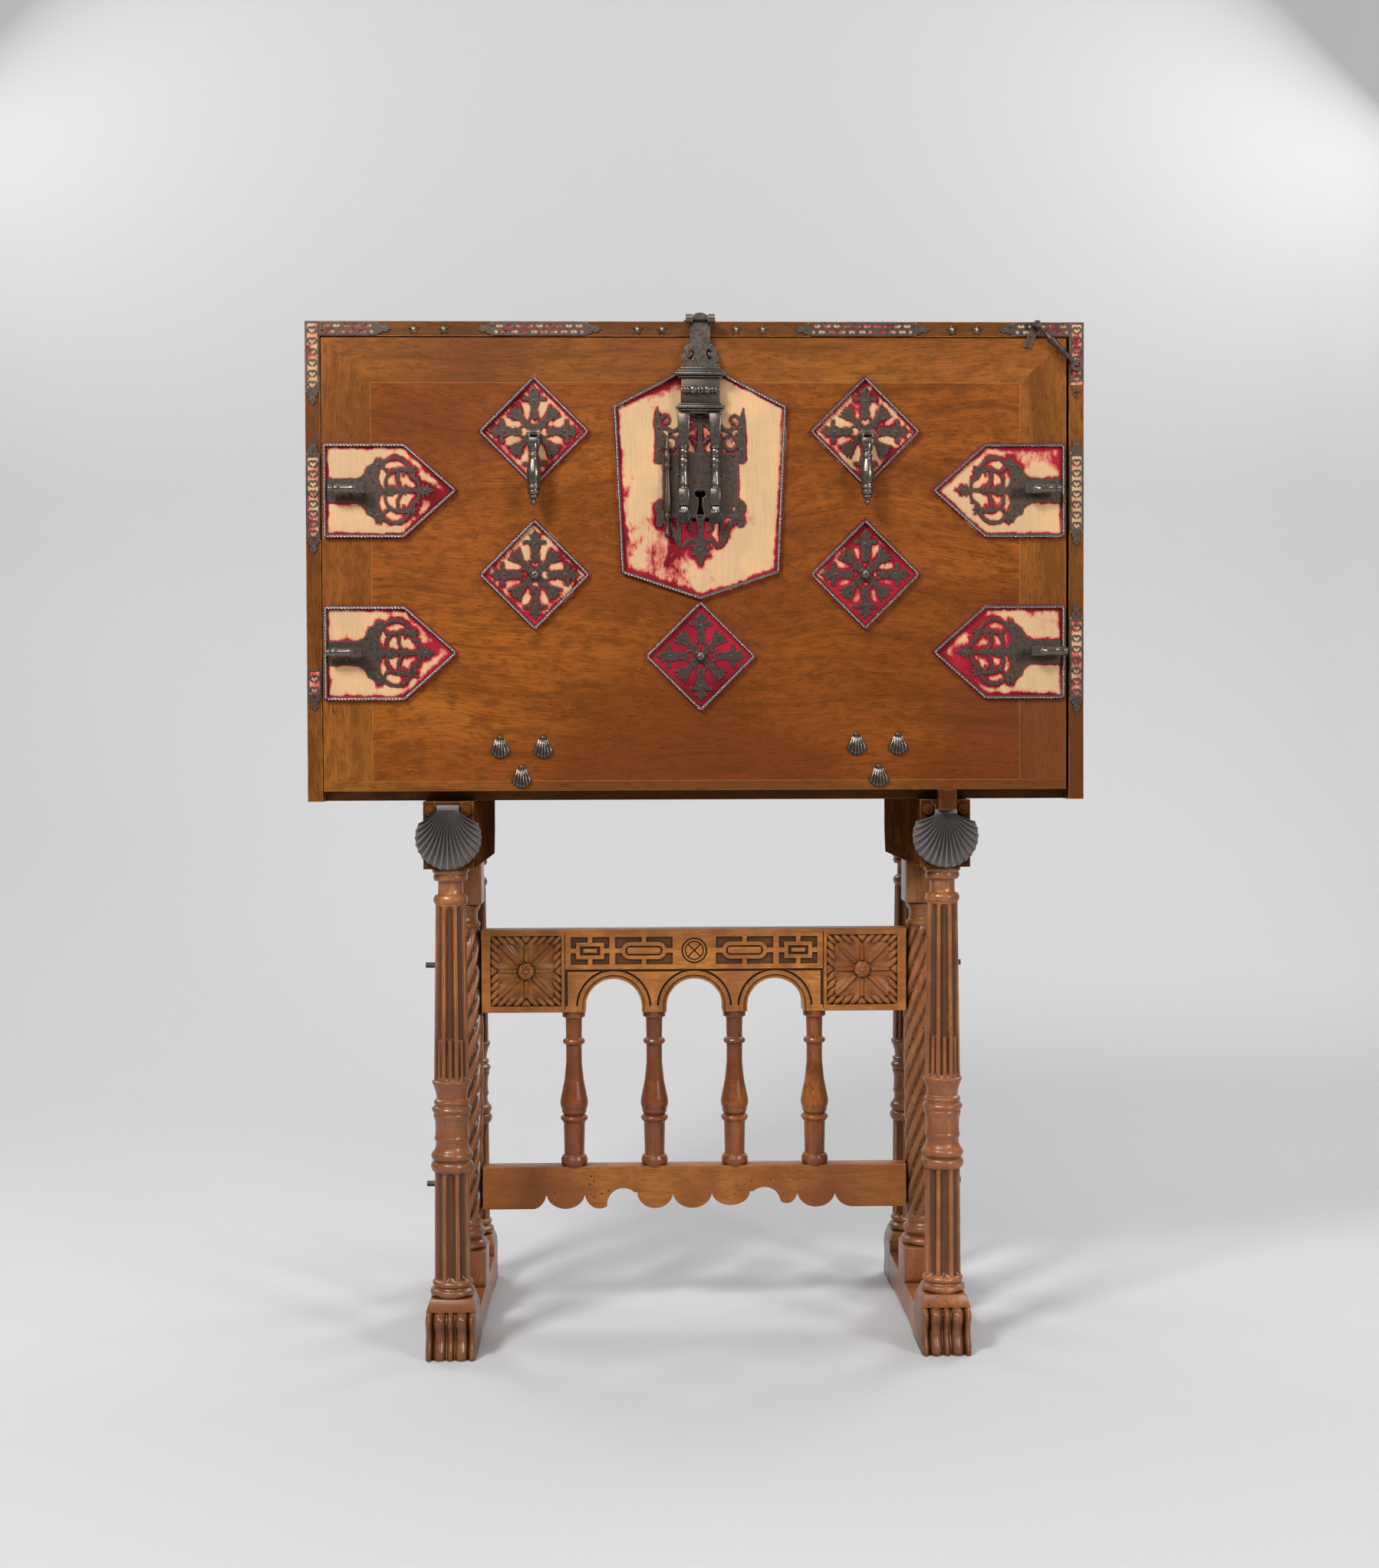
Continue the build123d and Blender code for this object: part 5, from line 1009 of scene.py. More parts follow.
def lay_velvet():
    """Ten pads of worn crimson velvet."""
    wears = [
        lambda u, v: 0.02 + 0.10 * u, lambda u, v: 0.02 + 0.10 * v, lambda u, v: 0.30 * (1 - u) * (1 - v),
        lambda u, v: 0.26 + 0.24 * u - 0.10 * v, lambda u, v: 0.74 + 0 * u,
    ]
    pads = [velvet_piece(f"diamond_pad_{i}", diamond(x, z, DIAMOND_HALF), wears[i])
            for i, (x, z) in enumerate(DIAMONDS)]

    def lock_wear(u, v):
        stains = ((0.60, 0.30, 0.20, 0.92, 0.12), (0.62, 0.34, 0.24, 0.20, 0.17), (0.20, 0.07, 0.10, 0.38, 0.22),
                  (0.16, 0.88, 0.14, 0.08, 0.12))
        return sum(much * np.exp(-((u - at) / wide) ** 2 - ((v - up) / tall) ** 2)
                   for much, at, wide, up, tall in stains) - 0.03

    velvet_piece("lock_pad", lock_pad(), lock_wear)
    side_wears = [
        lambda u, v: 0.50 * np.clip((u - 0.52) / 0.35, 0, 1),
        lambda u, v: 0.06 + 0.40 * np.clip((u - 0.6) / 0.3, 0, 1),
        lambda u, v: 0.04 + 0.40 * np.clip((v - 0.58) / 0.25, 0, 1) * u,
        lambda u, v: 0.10 + 0.34 * np.clip((0.55 - u) / 0.3, 0, 1),
    ]
    for i, (side, z) in enumerate(SIDE_BOLTS):
        velvet_piece(f"side_pad_{i}", side_pad(side, z), side_wears[i])
    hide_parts("velvet_pads")


def rope_tree():
    """A strand profile swept along each closed edge loop and twisted by its length."""
    tree, begin, end = node_group("twisted border", [
        ("Radius", "NodeSocketFloat", 0.003), ("Turn", "NodeSocketFloat", 0.02), ("Strands", "NodeSocketInt", 3)])
    path = put(tree, "GeometryNodeMeshToCurve", {"Mesh": begin.outputs[0]}).outputs[0]
    path = put(tree, "GeometryNodeFilletCurve", {"Curve": path, "Radius": 0.0012, "Count": 3, "Limit Radius": True},
               mode="POLY").outputs[0]
    path = put(tree, "GeometryNodeResampleCurve", {"Curve": path, "Length": 0.0016}, mode="LENGTH").outputs[0]
    along = put(tree, "GeometryNodeSplineParameter").outputs["Length"]
    spin = sums(tree, "DIVIDE", sums(tree, "MULTIPLY", along, tau), begin.outputs["Turn"])
    path = put(tree, "GeometryNodeSetCurveTilt", {"Curve": path, "Tilt": spin}).outputs[0]
    star = put(tree, "GeometryNodeCurveStar", {
        "Points": begin.outputs["Strands"], "Inner Radius": sums(tree, "MULTIPLY", begin.outputs["Radius"], 0.62),
        "Outer Radius": sums(tree, "MULTIPLY", begin.outputs["Radius"], 1.12)}).outputs["Curve"]
    star = put(tree, "GeometryNodeFilletCurve", {
        "Curve": star, "Radius": sums(tree, "MULTIPLY", begin.outputs["Radius"], 0.5), "Count": 2,
        "Limit Radius": True}, mode="POLY").outputs[0]
    swept = put(tree, "GeometryNodeCurveToMesh", {"Curve": path, "Profile Curve": star}).outputs[0]
    close_tree(tree, swept, "rope iron", end)
    return tree


def twist_borders():
    """Twisted iron rods round every pad."""
    iron = bpy.context.scene.vargueno_iron
    radius = iron.rope_radius / MM
    loops = [diamond(x, z, DIAMOND_HALF - 1.41 * radius) for x, z in DIAMONDS]
    loops.append(lock_pad(radius))
    loops += [side_pad(side, z, radius) for side, z in SIDE_BOLTS]
    points, links = [], []
    for loop in loops:
        first = len(points)
        points += [(x, FACE - PAD - radius * 0.9, z) for x, z in loop]
        links += [(first + i, first + (i + 1) % len(loop)) for i in range(len(loop))]
    mesh = bpy.data.meshes.new("rope_rods")
    mesh.from_pydata(listed(points), links, [])
    rods = placed("rope_rods", mesh)
    grow(rods, rope_tree(), {"Radius": iron.rope_radius, "Turn": iron.rope_turn, "Strands": iron.rope_strands})
    settle(rods, "fall", "rope_iron", "rope_borders")


# ---- Pierced plates ---------------------------------------------------------------------
def leaf(x, z, at, to, widths):
    """A short tapered tip."""
    return stroke(x, z, [at, to], widths)


def rosette_shape(x, z):
    """An eight-armed pierced rosette about its middle, with its arms to the diamond's corners."""
    u = np.maximum(np.abs(x), np.abs(z))
    v = np.minimum(np.abs(x), np.abs(z))
    hub = union(disc(u, v, 0, 0, 12), disc(u, v, 14, 0, 8.6))
    long_arm = union(
        stroke(u, v, [(20, 0), (25, 0), (28, 0), (34, 0)], [3.6, 5.6, 4.2, 5.4]),
        disc(u, v, 40.5, 0, 7.6),
        scroll(u, v, [(42, 3), (44, 8), (43.5, 13)], [3.6, 2.3, 3.0]),
        stroke(u, v, [(45, 0), (50.5, 0), (60, 0)], [4.4, 6.2, 0.7]),
        leaf(u, v, (49, 3), (53.5, 7.6), (2.6, 1.0)),
    )
    s, t = (u + v) / sqrt(2), (u - v) / sqrt(2)
    fan = union(
        stroke(s, t, [(14, 0), (24, 0), (34, 0)], [4.6, 3.6, 7.6]),
        stroke(s, t, [(30, 0), (42, 0)], [3.0, 0.8]),
        stroke(s, t, [(30, 2), (41.3, 5)], [2.6, 0.8]),
        stroke(s, t, [(28, 3), (40, 10.4)], [2.8, 0.9]),
    )
    return union(less(hub, disc(u, v, 14, 0, 5.7)), long_arm, fan)


def gadrooned_boss(name, x, z, out, radius, height, lobes=9):
    """A domed boss with a twisted fluted crown and a small bead on top."""
    rings = []
    for i in range(11):
        t = i / 10
        up = t * pi / 2 * 0.96
        ring = []
        for j in range(72):
            angle = tau * j / 72
            swirl = 0.5 + 0.5 * cos(lobes * (angle + 0.5 * t))
            depth = 1 - 0.20 * sin(up + 0.35) * (1 - swirl) * (i > 0)
            reach = radius * cos(up) * depth
            rise = height * sin(up) * (0.9 + 0.1 * depth)
            ring.append((x + reach * cos(angle), FACE - out - rise, z + reach * sin(angle)))
        rings.append(ring)
    base = [(p[0], FACE - out + 1, p[2]) for p in rings[0]]
    boss = closed_rings(name, [base] + rings, "bright iron")
    boss.data.flip_normals()
    bead = dome_head(name + "_bead", x, z, out + height * 0.93, radius * 0.26, radius * 0.26, "iron")
    return join(name, [boss, bead])


def rivets(name, places, out, radius=2.4, height=1.5):
    """Round rivet heads at (x, z) places, one mesh."""
    tree, begin, end = node_group(name, [
        ("Radius", "NodeSocketFloat", 0.002), ("Height", "NodeSocketFloat", 0.001)])
    ball = put(tree, "GeometryNodeMeshUVSphere", {
        "Segments": 12, "Rings": 8, "Radius": begin.outputs["Radius"]}).outputs[0]
    flat = put(tree, "ShaderNodeCombineXYZ", {
        "X": 1.0, "Y": sums(tree, "DIVIDE", begin.outputs["Height"], begin.outputs["Radius"]), "Z": 1.0}).outputs[0]
    ball = put(tree, "GeometryNodeTransform", {"Geometry": ball, "Scale": flat}).outputs[0]
    heads = put(tree, "GeometryNodeInstanceOnPoints", {"Points": begin.outputs[0], "Instance": ball}).outputs[0]
    close_tree(tree, heads, "iron", end)
    mesh = bpy.data.meshes.new(name)
    mesh.from_pydata(listed([(x, FACE - out, z) for x, z in places]), [], [])
    return grow(placed(name, mesh), tree, {"Radius": radius * MM, "Height": height * MM})


def cut_rosettes():
    """Five pierced rosettes, with rivets and, on the lower three, gadrooned bosses."""
    parts = []
    for i, (x, z) in enumerate(DIAMONDS):
        parts.append(cut_sheet(f"rosette_{i}", rosette_shape, (-64, -64), (64, 64), PAD, 1.5, "iron", at=(x, z)))
        if i > 1:
            parts.append(gadrooned_boss(f"boss_{i}", x, z, PAD + 1.4, 8.8, 8.6))
    places = [(x + 41 * a, z + 41 * b) for x, z in DIAMONDS for a, b in ((1, 0), (-1, 0), (0, 1), (0, -1))]
    parts.append(rivets("rosette_rivets", places, PAD + 1.5))
    settle(join("rosette_plates", parts), "fall", "wrought_iron", "rosettes")


def lock_shape(x, z):
    """The lock's pierced plate: x from its middle line, z from the top of its solid part."""
    u = np.abs(x)
    plate = union(
        round_box(u, z, 0, -43.5, 51, 43.5, 1.5),
        disc(u, z, 49.8, -73, 11.5),
        disc(u, z, 55, -94.5, 5.0),
        stroke(u, z, [(52, -84), (56, -92)], [7, 4]),
        stroke(u, z, [(50, -86), (46, -93)], [6, 3]),
    )
    wings = union(
        stroke(u, z, [(56, -9), (56, 30)], [5.2, 5.2]),
        stroke(u, z, [(56, 30), (57, 44), (58, 60)], [5.2, 4.6, 0.8]),
        scroll(u, z, [(54, 36), (44, 33), (37, 29.5), (29, 34), (21, 45), (13, 48), (6, 44)],
               [3.0, 2.6, 2.4, 2.4, 2.4, 2.4, 2.0]),
        scroll(u, z, [(52, 47), (46, 51), (41.5, 46), (42, 41), (46, 39.5)], [2.2, 1.8, 1.7, 1.6, 1.5]),
        less(disc(u, z, 41, 13.5, 11.2), disc(u, z, 41, 13.5, 7.2)),
        stroke(u, z, [(41, 13.5), (50, 26)], [0.1, 2.0]),
        scroll(u, z, [(5, 40), (17, 31), (26, 19), (29, 0)], [2.2, 2.2, 2.2, 2.8]),
        stroke(u, z, [(20, 12), (29, 22)], [1.6, 2.2]),
        leaf(u, z, (6, 14), (13, 21), (2.4, 1.2)),
    )
    spire = union(
        stroke(u, z, [(0, 0), (0, 15), (0, 40), (0, 60), (0, 84)], [7, 3.2, 3.6, 5.0, 0.8]),
        scroll(u, z, [(2, 56), (8, 60), (13, 66)], [3.2, 3.0, 1.4]),
        leaf(u, z, (2, 67), (7.5, 74), (2.6, 1.1)),
        disc(u, z, 0, 50, 6.0),
    )
    below = union(
        scroll(u, z, [(45, -90), (37, -101), (32, -117), (24, -125), (14, -116), (4, -119)],
               [3.0, 2.7, 2.6, 2.5, 2.5, 2.8]),
        stroke(u, z, [(29, -86), (29, -122)], [3.0, 2.4]),
        stroke(u, z, [(30, -106), (38, -112)], [2.4, 1.2]),
        stroke(u, z, [(0, -86), (0, -112)], [6.5, 2.8]),
        stroke(u, z, [(0, -112), (0, -132), (0, -151)], [3.6, 8.5, 0.8]),
        leaf(u, z, (5, -128), (14, -126), (4, 1.4)),
        leaf(u, z, (4, -134), (11, -137), (4, 1.2)),
        scroll(u, z, [(14, -90), (15, -100), (8, -106)], [2.4, 2.2, 1.4]),
    )
    keyhole = union(
        disc(u, z, 3.2, -55, 4.2),
        stroke(u, z, [(0, -55), (0, -70), (0, -82)], [2.4, 2.2, 4.8]),
    )
    holes = union(keyhole, disc(u, z, 45.4, -5, 2.2), disc(u, z, 46.7, -74, 4.0), disc(u, z, 0, -100, 1.8))
    return less(union(plate, wings, spire, below), holes)


# Profiles of turned work, as (radius, height) pairs.
COLONETTE = [
    (0.4, -137), (3.2, -135), (4.0, -131), (2.6, -127), (1.8, -121), (2.4, -112), (4.6, -109), (5.2, -106.5),
    (3.4, -104), (4.6, -101.5), (5.6, -96), (6.0, -88), (5.4, -76), (4.2, -60), (3.6, -46), (4.2, -44), (5.6, -42),
    (5.6, -39), (3.8, -36.5), (4.8, -33), (5.6, -28), (4.6, -23), (3.0, -20), (4.4, -18), (4.4, -15.5), (2.6, -12),
    (1.8, -6), (0.5, 0),
]
DROP = [
    (0.6, -96.5), (3.6, -94.5), (4.0, -91.5), (2.2, -89.5), (2.8, -88.5), (6.4, -86.5), (6.6, -84.5), (4.6, -83.5),
    (7.4, -82), (8.6, -79.5), (8.6, -77.5), (6.6, -76.2), (9.0, -74.5), (9.2, -72), (7.4, -70.5), (8.4, -66),
    (9.6, -58), (9.6, -52), (8.2, -44), (6.6, -37), (5.8, -33), (7.2, -32), (7.6, -30), (5.8, -28.5), (5.6, -24.5),
    (6.8, -23.5), (7.4, -21.5), (7.4, -15.5),
]
HASP_BAR_HALF = [
    (2.2, 0.4), (6.2, 0.8), (6.2, 3.4), (4.4, 4.2), (6.6, 6.5), (7.0, 9.5), (6.4, 12.5), (4.2, 14.4), (6.0, 15.6),
    (6.0, 17.6), (4.2, 18.6), (6.2, 20.4), (5.0, 22.6), (3.4, 23.6), (3.4, 25.6),
]
# The hasp's legs: (share of the width, share of the length from below).
LEG = [
    (0.36, 0.000), (0.52, 0.010), (0.52, 0.030), (0.40, 0.040), (0.50, 0.060), (0.48, 0.14), (0.41, 0.27),
    (0.37, 0.38), (0.40, 0.47), (0.43, 0.505), (0.38, 0.51), (0.52, 0.52), (0.52, 0.54), (0.38, 0.55),
    (0.44, 0.57), (0.47, 0.64), (0.44, 0.715), (0.38, 0.72), (0.52, 0.73), (0.52, 0.75), (0.38, 0.76),
    (0.42, 0.78), (0.45, 0.85), (0.43, 0.915), (0.36, 0.92), (0.52, 0.935), (0.52, 0.955), (0.42, 0.965),
    (0.52, 0.98), (0.52, 1.0),
]
COLUMN_FOOT = [(27, 0), (30, 2), (31, 5.5), (30, 9), (26.5, 11), (25, 13), (27, 15), (28, 18), (26.5, 21), (23, 23)]
COLUMN_DRUM = [
    (22, -1), (26.5, 0), (28.5, 4), (29, 8), (27.5, 12), (24.5, 14), (27.5, 17), (28.8, 21), (27.5, 25), (24.5, 28),
    (22.5, 33), (22, 39), (24, 44), (24, 46), (23, 48), (22.6, 59), (23.2, 70), (25, 74), (25.4, 77), (24, 79),
    (26.5, 82), (27.6, 85), (25.5, 88), (22.5, 90), (24.5, 93), (24.5, 96), (20.5, 99),
]
COLUMN_CUP = [(18, -1), (20.5, 0), (20.8, 4), (22, 12), (24.5, 20), (26.8, 25), (26.8, 27.5), (24, 28.5)]
COLUMN_HEAD = [
    (19, -1), (21.5, 0), (23.5, 4), (23.5, 8), (21.5, 12), (17.2, 14), (17.0, 31), (21.5, 32), (23.6, 35.5),
    (23.4, 39), (22, 41), (24.5, 43.5), (25.2, 46),
]
POST_RINGS = [
    (28, -1), (32, 0), (34.5, 4), (34.5, 8), (31, 12), (26.5, 14), (29, 17), (31.5, 22), (31, 26), (27.5, 29),
    (25, 33), (27, 37), (25, 42),
]
POST_BODY = [(26, 137), (28, 161), (29.5, 300), (30.5, 380), (30.5, 470), (29, 540), (26, 562), (22, 570)]
POST_NECK = [
    (20, 0), (22.5, 6), (26, 9), (26.5, 13), (23, 17), (22, 22), (22.5, 30), (25.5, 34), (27, 38), (26, 42), (20, 43),
]


def make_lock():
    """The pierced lock plate with its turned colonette, raised keyhole border and rivets."""
    sheet = cut_sheet("lock_sheet", lock_shape, (-66, -156), (66, 90), PAD, 1.6, "iron", pitch=0.55,
                      at=(IRON_X, LOCK_TOP))
    out = PAD + 1.6
    places = [(s * x + IRON_X, z + LOCK_TOP) for s in (-1, 1)
              for x, z in ((56, 4), (41, 27), (30, -30), (30, -88), (56, 34), (18, -12))]
    places += [(IRON_X, LOCK_TOP + 50), (IRON_X, LOCK_TOP - 131)]
    heads = rivets("lock_rivets", places, out, 2.6, 1.6)

    def border(x, z):
        u = np.abs(x)
        around = union(disc(u, z, 3.2, -55, 7.4), stroke(u, z, [(0, -55), (0, -70), (0, -83)], [5.4, 5.0, 8.0]))
        inner = union(disc(u, z, 3.2, -55, 5.4), stroke(u, z, [(0, -55), (0, -70), (0, -82)], [3.6, 3.3, 6.0]))
        return less(around, inner)

    def surround(x, z):
        return less(round_box(x, z, 0, -43.5, 50, 42.5, 1), round_box(x, z, 0, -43.5, 46.5, 39, 1))

    middle = (IRON_X, LOCK_TOP)
    rim = cut_sheet("keyhole_rim", border, (-14, -98), (14, -42), out - 0.2, 1.4, "iron", pitch=0.5, at=middle)
    raised = cut_sheet("lock_frame", surround, (-54, -90), (54, 4), out - 0.2, 1.0, "iron", at=middle)
    # A near-black sheet behind the keyhole: painted shade in the hole.
    dark = bevelled_box("keyhole_shade_sheet", (IRON_X - 12, FACE - PAD - 0.35, LOCK_TOP - 92),
                        (IRON_X + 12, FACE - PAD - 0.02, LOCK_TOP - 46), "keyhole shade", 0.1)
    top = LOCK_TOP + 22
    colonette = turned("colonette", COLONETTE, "iron", at=(IRON_X - 44.5, FACE - out - 5.6, top), segments=24, cut=0.4)
    pads = [bevelled_box(f"pad_{i}", (IRON_X - 47.5, FACE - out - 7, top - h - 4),
                         (IRON_X - 41.5, FACE - out + 0.5, top - h + 4), "iron") for i, h in enumerate((40, 106))]
    parts = [sheet, heads, rim, raised, dark, colonette] + pads
    settle(join("lock_ironwork", parts), "fall", "wrought_iron", "lock_plate")


def bolt_plate_shape(u, v):
    """A side bolt's pierced plate: u inwards from the fall's edge, v from its middle line."""
    v = np.abs(v)
    strap = round_box(u, v, 32, 0, 26, 16.2, 1.0)
    body = polygon(u, v, [
        (46, -1), (46, 16.2), (54, 19.5), (58.8, 25), (60.5, 32), (65, 34), (69.5, 36.8), (73.5, 44.8), (75.5, 40.5),
        (79.3, 45.6), (83, 36.5), (79.5, 29.5), (77, 23), (76, 16), (78.5, 8), (85, 1.5), (85, -1)])
    arcs = union(
        scroll(u, v, [(81, 35), (86.5, 40), (94, 43), (103, 43.2), (110.5, 39.5), (116, 33), (118.5, 28)],
               [3.0, 2.2, 2.3, 2.4, 2.3, 2.1, 2.2]),
        stroke(u, v, [(81.5, 33), (85, 27.5), (90, 24.5)], [2.4, 1.7, 2.2]),
        scroll(u, v, [(87, 1), (85.5, 9), (87, 17), (91.5, 23.5), (99, 27), (108, 28.2), (117, 27)],
               [2.0, 1.8, 1.9, 2.2, 2.3, 2.5, 3.2]),
        scroll(u, v, [(102.5, 26), (102.3, 15), (104.5, 7), (108.5, 1)], [2.0, 1.8, 1.8, 1.9]),
        scroll(u, v, [(121, 24), (122.5, 18), (127, 14), (130, 7.5), (129.5, 0)], [4.4, 2.6, 2.3, 1.9, 2.0]),
        leaf(u, v, (119, 27), (125.5, 31.5), (4.0, 1.0)),
        leaf(u, v, (120, 26), (127, 26), (4.0, 1.0)),
        leaf(u, v, (127, 14), (129.5, 17.5), (2.4, 0.8)),
        leaf(u, v, (111, 26), (109.5, 20), (2.2, 0.8)),
        leaf(u, v, (91, 24), (88.5, 26.5), (2.2, 0.8)),
    )
    bar = stroke(u, v, [(84, 0), (88, 0), (92, 0), (97, 0), (104, 0), (111, 0), (130, 0)],
                 [2.4, 5.2, 7.0, 5.4, 2.4, 3.4, 2.2])
    tip = union(
        stroke(u, v, [(129, 0), (135, 0), (140, 0), (150.5, 0)], [2.2, 4.2, 5.4, 0.7]),
        leaf(u, v, (135, 2), (136.5, 8.5), (2.8, 0.7)),
        leaf(u, v, (139, 2), (143, 7.4), (2.8, 0.7)),
        leaf(u, v, (113, 1), (112, 5.5), (2.0, 0.8)),
    )
    return union(strap, body, arcs, bar, tip)


def cut_bolt_plates():
    """Four pierced plates under the bolts."""
    parts, places = [], []
    for i, (side, z) in enumerate(SIDE_BOLTS):
        edge = fall_edge(side)

        def shape(x, h, side=side):
            return bolt_plate_shape(-side * x, h)

        span = sorted((-side * 4, -side * 152))
        parts.append(cut_sheet(f"bolt_sheet_{i}", shape, (span[0], -47), (span[1], 47), PAD, 1.5, "iron",
                               at=(edge, z)))
        places += [(edge - side * u, z + v) for u, v in ((75.5, 33.5), (75.5, -33.5), (138.5, 0))]
    parts.append(rivets("bolt_rivets", places, PAD + 1.5, 2.4, 1.5))
    settle(join("bolt_ironwork", parts), "fall", "wrought_iron", "bolt_plates")


# ---- Moving ironwork --------------------------------------------------------------------
def hang_pulls():
    """Two turned drop pulls on their clevises."""
    for side, node in ((-1, "pull_left"), (1, "pull_right")):
        low, high = corner(node, 0), corner(node, 1)
        x, y, z = (low.x + high.x) / 2, FACE - 25, CASE_LOW + 492
        iron = "bright iron"
        parts = [
            turned(f"drop_{node}", DROP, iron, at=(x, y, z), segments=26),
            bevelled_box(f"block_{node}", (x - 8, y - 5, z - 17), (x + 8, y + 5, z - 6.5), iron, 0.9),
            turned(f"pin_{node}", [(2.4, -9.4), (2.4, 9.4)], iron, at=(x, y, z), up=(1, 0, 0), segments=16),
        ]
        for sign in (-1, 1):
            near, far = sorted((x + sign * 4.9, x + sign * 8))
            parts += [
                bevelled_box(f"ear_{node}{sign}", (near, y - 5, z - 10), (far, y + 5, z + 1.5), iron, 0.8),
                turned(f"eye_{node}{sign}", [(5.2, 0), (5.2, 3.1)], iron, at=(near, y, z), up=(1, 0, 0), segments=24,
                       cut=0.6),
            ]
        settle(join(f"drop_pull_{'left' if side < 0 else 'right'}", parts), node, "wrought_iron", node)


def mouldings(name, x, back, top, steps, bevel):
    """Square mouldings stacked downwards from (half width, height, depth) steps; also where they end."""
    made = []
    for i, (half, height, out) in enumerate(steps):
        made.append(bevelled_box(f"{name}_{i}", (x - half, back - out, top - height), (x + half, back, top),
                                 "bright iron", bevel))
        top -= height
    return made, top


def hasp_strap(x, z):
    """The hasp's waisted strap with its scrolls: z from 14 below the case's top."""
    u = np.abs(x)
    return union(
        stroke(u, z, [(0, 10), (0, -14)], [14, 13]),
        stroke(u, z, [(0, -14), (0, -30), (0, -44)], [13, 8, 12]),
        scroll(u, z, [(8, -20), (15, -22), (19, -28), (16, -33), (12, -31)], [4, 3.4, 3.0, 2.6, 2.0]),
        scroll(u, z, [(8, -44), (17, -42), (22, -36), (18, -32)], [5, 4, 3, 1.6]),
        round_box(u, z, 0, -50, 26, 5),
    )


def make_hasp():
    """The hasp: a waisted strap, a moulded box with a turned bar, and two turned legs with shells."""
    low = corner("hasp", 0)
    x0, back = IRON_X, FACE - PAD - 6.5
    iron = "bright iron"
    parts = [cut_sheet("hasp_strap", hasp_strap, (-30, -56), (30, 26), PAD + 6, 3.0, iron, at=(x0, CASE_HIGH - 14))]
    cornice, box_top = mouldings("cornice", x0, back, CASE_HIGH - 64, ((27, 4, 10), (31, 3.4, 13), (34, 4.2, 15.5),
                                                                       (30, 3, 12)), 1.2)
    box_low = box_top - 34
    bar = [(reach, -along) for reach, along in HASP_BAR_HALF[::-1]] + HASP_BAR_HALF
    lower, leg_top = mouldings("lower", x0, back, box_low, ((29, 3, 12), (33, 4.2, 15), (30, 3, 12), (26, 3, 9)), 1.0)
    parts += cornice + lower + [
        bevelled_box("hasp_box", (x0 - 26, back - 9, box_low), (x0 + 26, back, box_top), "iron"),
        turned("hasp_bar", bar, iron, at=(x0, back - 9, box_top - 16), up=(1, 0, 0), segments=24, cut=0.4),
    ]
    sheath, shoe, y = leg_top - 44, low.z + 28, back - 6.5
    length = sheath + 1 - (shoe + 22)
    leg = [(15 * reach, length * share) for reach, share in LEG]
    for sign, x in ((-1, x0 - 22.5), (1, x0 + 19.7)):
        parts += [
            tapered_block(f"sheath{sign}", (x - 6, x + 6, y - 4.5, y + 4.5, sheath),
                          (x - 8.5, x + 8.5, y - 6.5, y + 5, leg_top), iron, 1.0),
            turned(f"leg{sign}", leg, iron, at=(x, y, shoe + 22), segments=24, cut=0.35),
            bevelled_box(f"shoe{sign}", (x - 7, y - 6.5, shoe), (x + 7, y + 5.5, shoe + 22.5), iron),
            shell_fan(f"toe{sign}", x, shoe + 1, y - 1.5, 10.2, 26, 8, 5.0, iron),
        ]
    for sign, x in ((-1, x0 - 19.5), (1, x0 + 10.5)):
        parts.append(turned(f"knuckle{sign}", [(6.0, 0), (6.0, 9.0)], iron, at=(x, low.y + 9, CASE_HIGH), up=(1, 0, 0),
                            cut=0.7))
    settle(join("hasp_work", parts), "hasp", "wrought_iron", "hasp")


# ---- Studs and edge mounts --------------------------------------------------------------
def shell_fan(name, x, top, y, half, drop, ribs, thick, finish_name):
    """A ribbed fan hanging from a narrow neck, its ribs rounded and its edge scalloped."""
    count, rows = ribs * 8 + 1, 12
    front, rear = [], []
    for i in range(rows):
        t = i / (rows - 1)
        line = []
        for j in range(count):
            s = -1 + 2 * j / (count - 1)
            rib = abs(sin(pi * ribs * j / (count - 1)))
            angle = s * 1.05
            reach = drop * (0.12 + 0.88 * t) * (1 + 0.03 * rib * t)
            px = x + half * (0.45 * (1 - t) + t) * s * cos(0.4 * angle) * (1 + 0.02 * rib * t)
            pz = top - reach * (cos(angle * 0.9) ** 0.8)
            swell = thick * (0.55 + 0.45 * sin(min(1, t * 1.1) * pi * 0.62)) * (0.62 + 0.38 * rib * min(1, 3 * t))
            line.append((px, y - swell * (0.35 if i == rows - 1 else 1), pz))
        front.append(line)
        rear.append([(px, y + 1.0, pz) for px, _, pz in line])
    return two_sided(name, front, rear, finish_name, 70)


def set_shell_studs():
    """Six small iron shells that once held the fall's lower pads."""
    places = [(-266, 74), (-208, 74), (-237, 34), (216, 77), (272, 77), (246, 34)]
    parts = []
    for i, (x, height) in enumerate(places):
        z = CASE_LOW + height
        parts.append(shell_fan(f"shell_{i}", x, z + 11, FACE - 0.5, 15.0, 27, 6, 4.6, "bright iron"))
        parts.append(dome_head(f"shell_head_{i}", x, z + 11, 0.5, 4.4, 3.0, "iron"))
    settle(join("shell_stud_work", parts), "fall", "wrought_iron", "shell_studs")


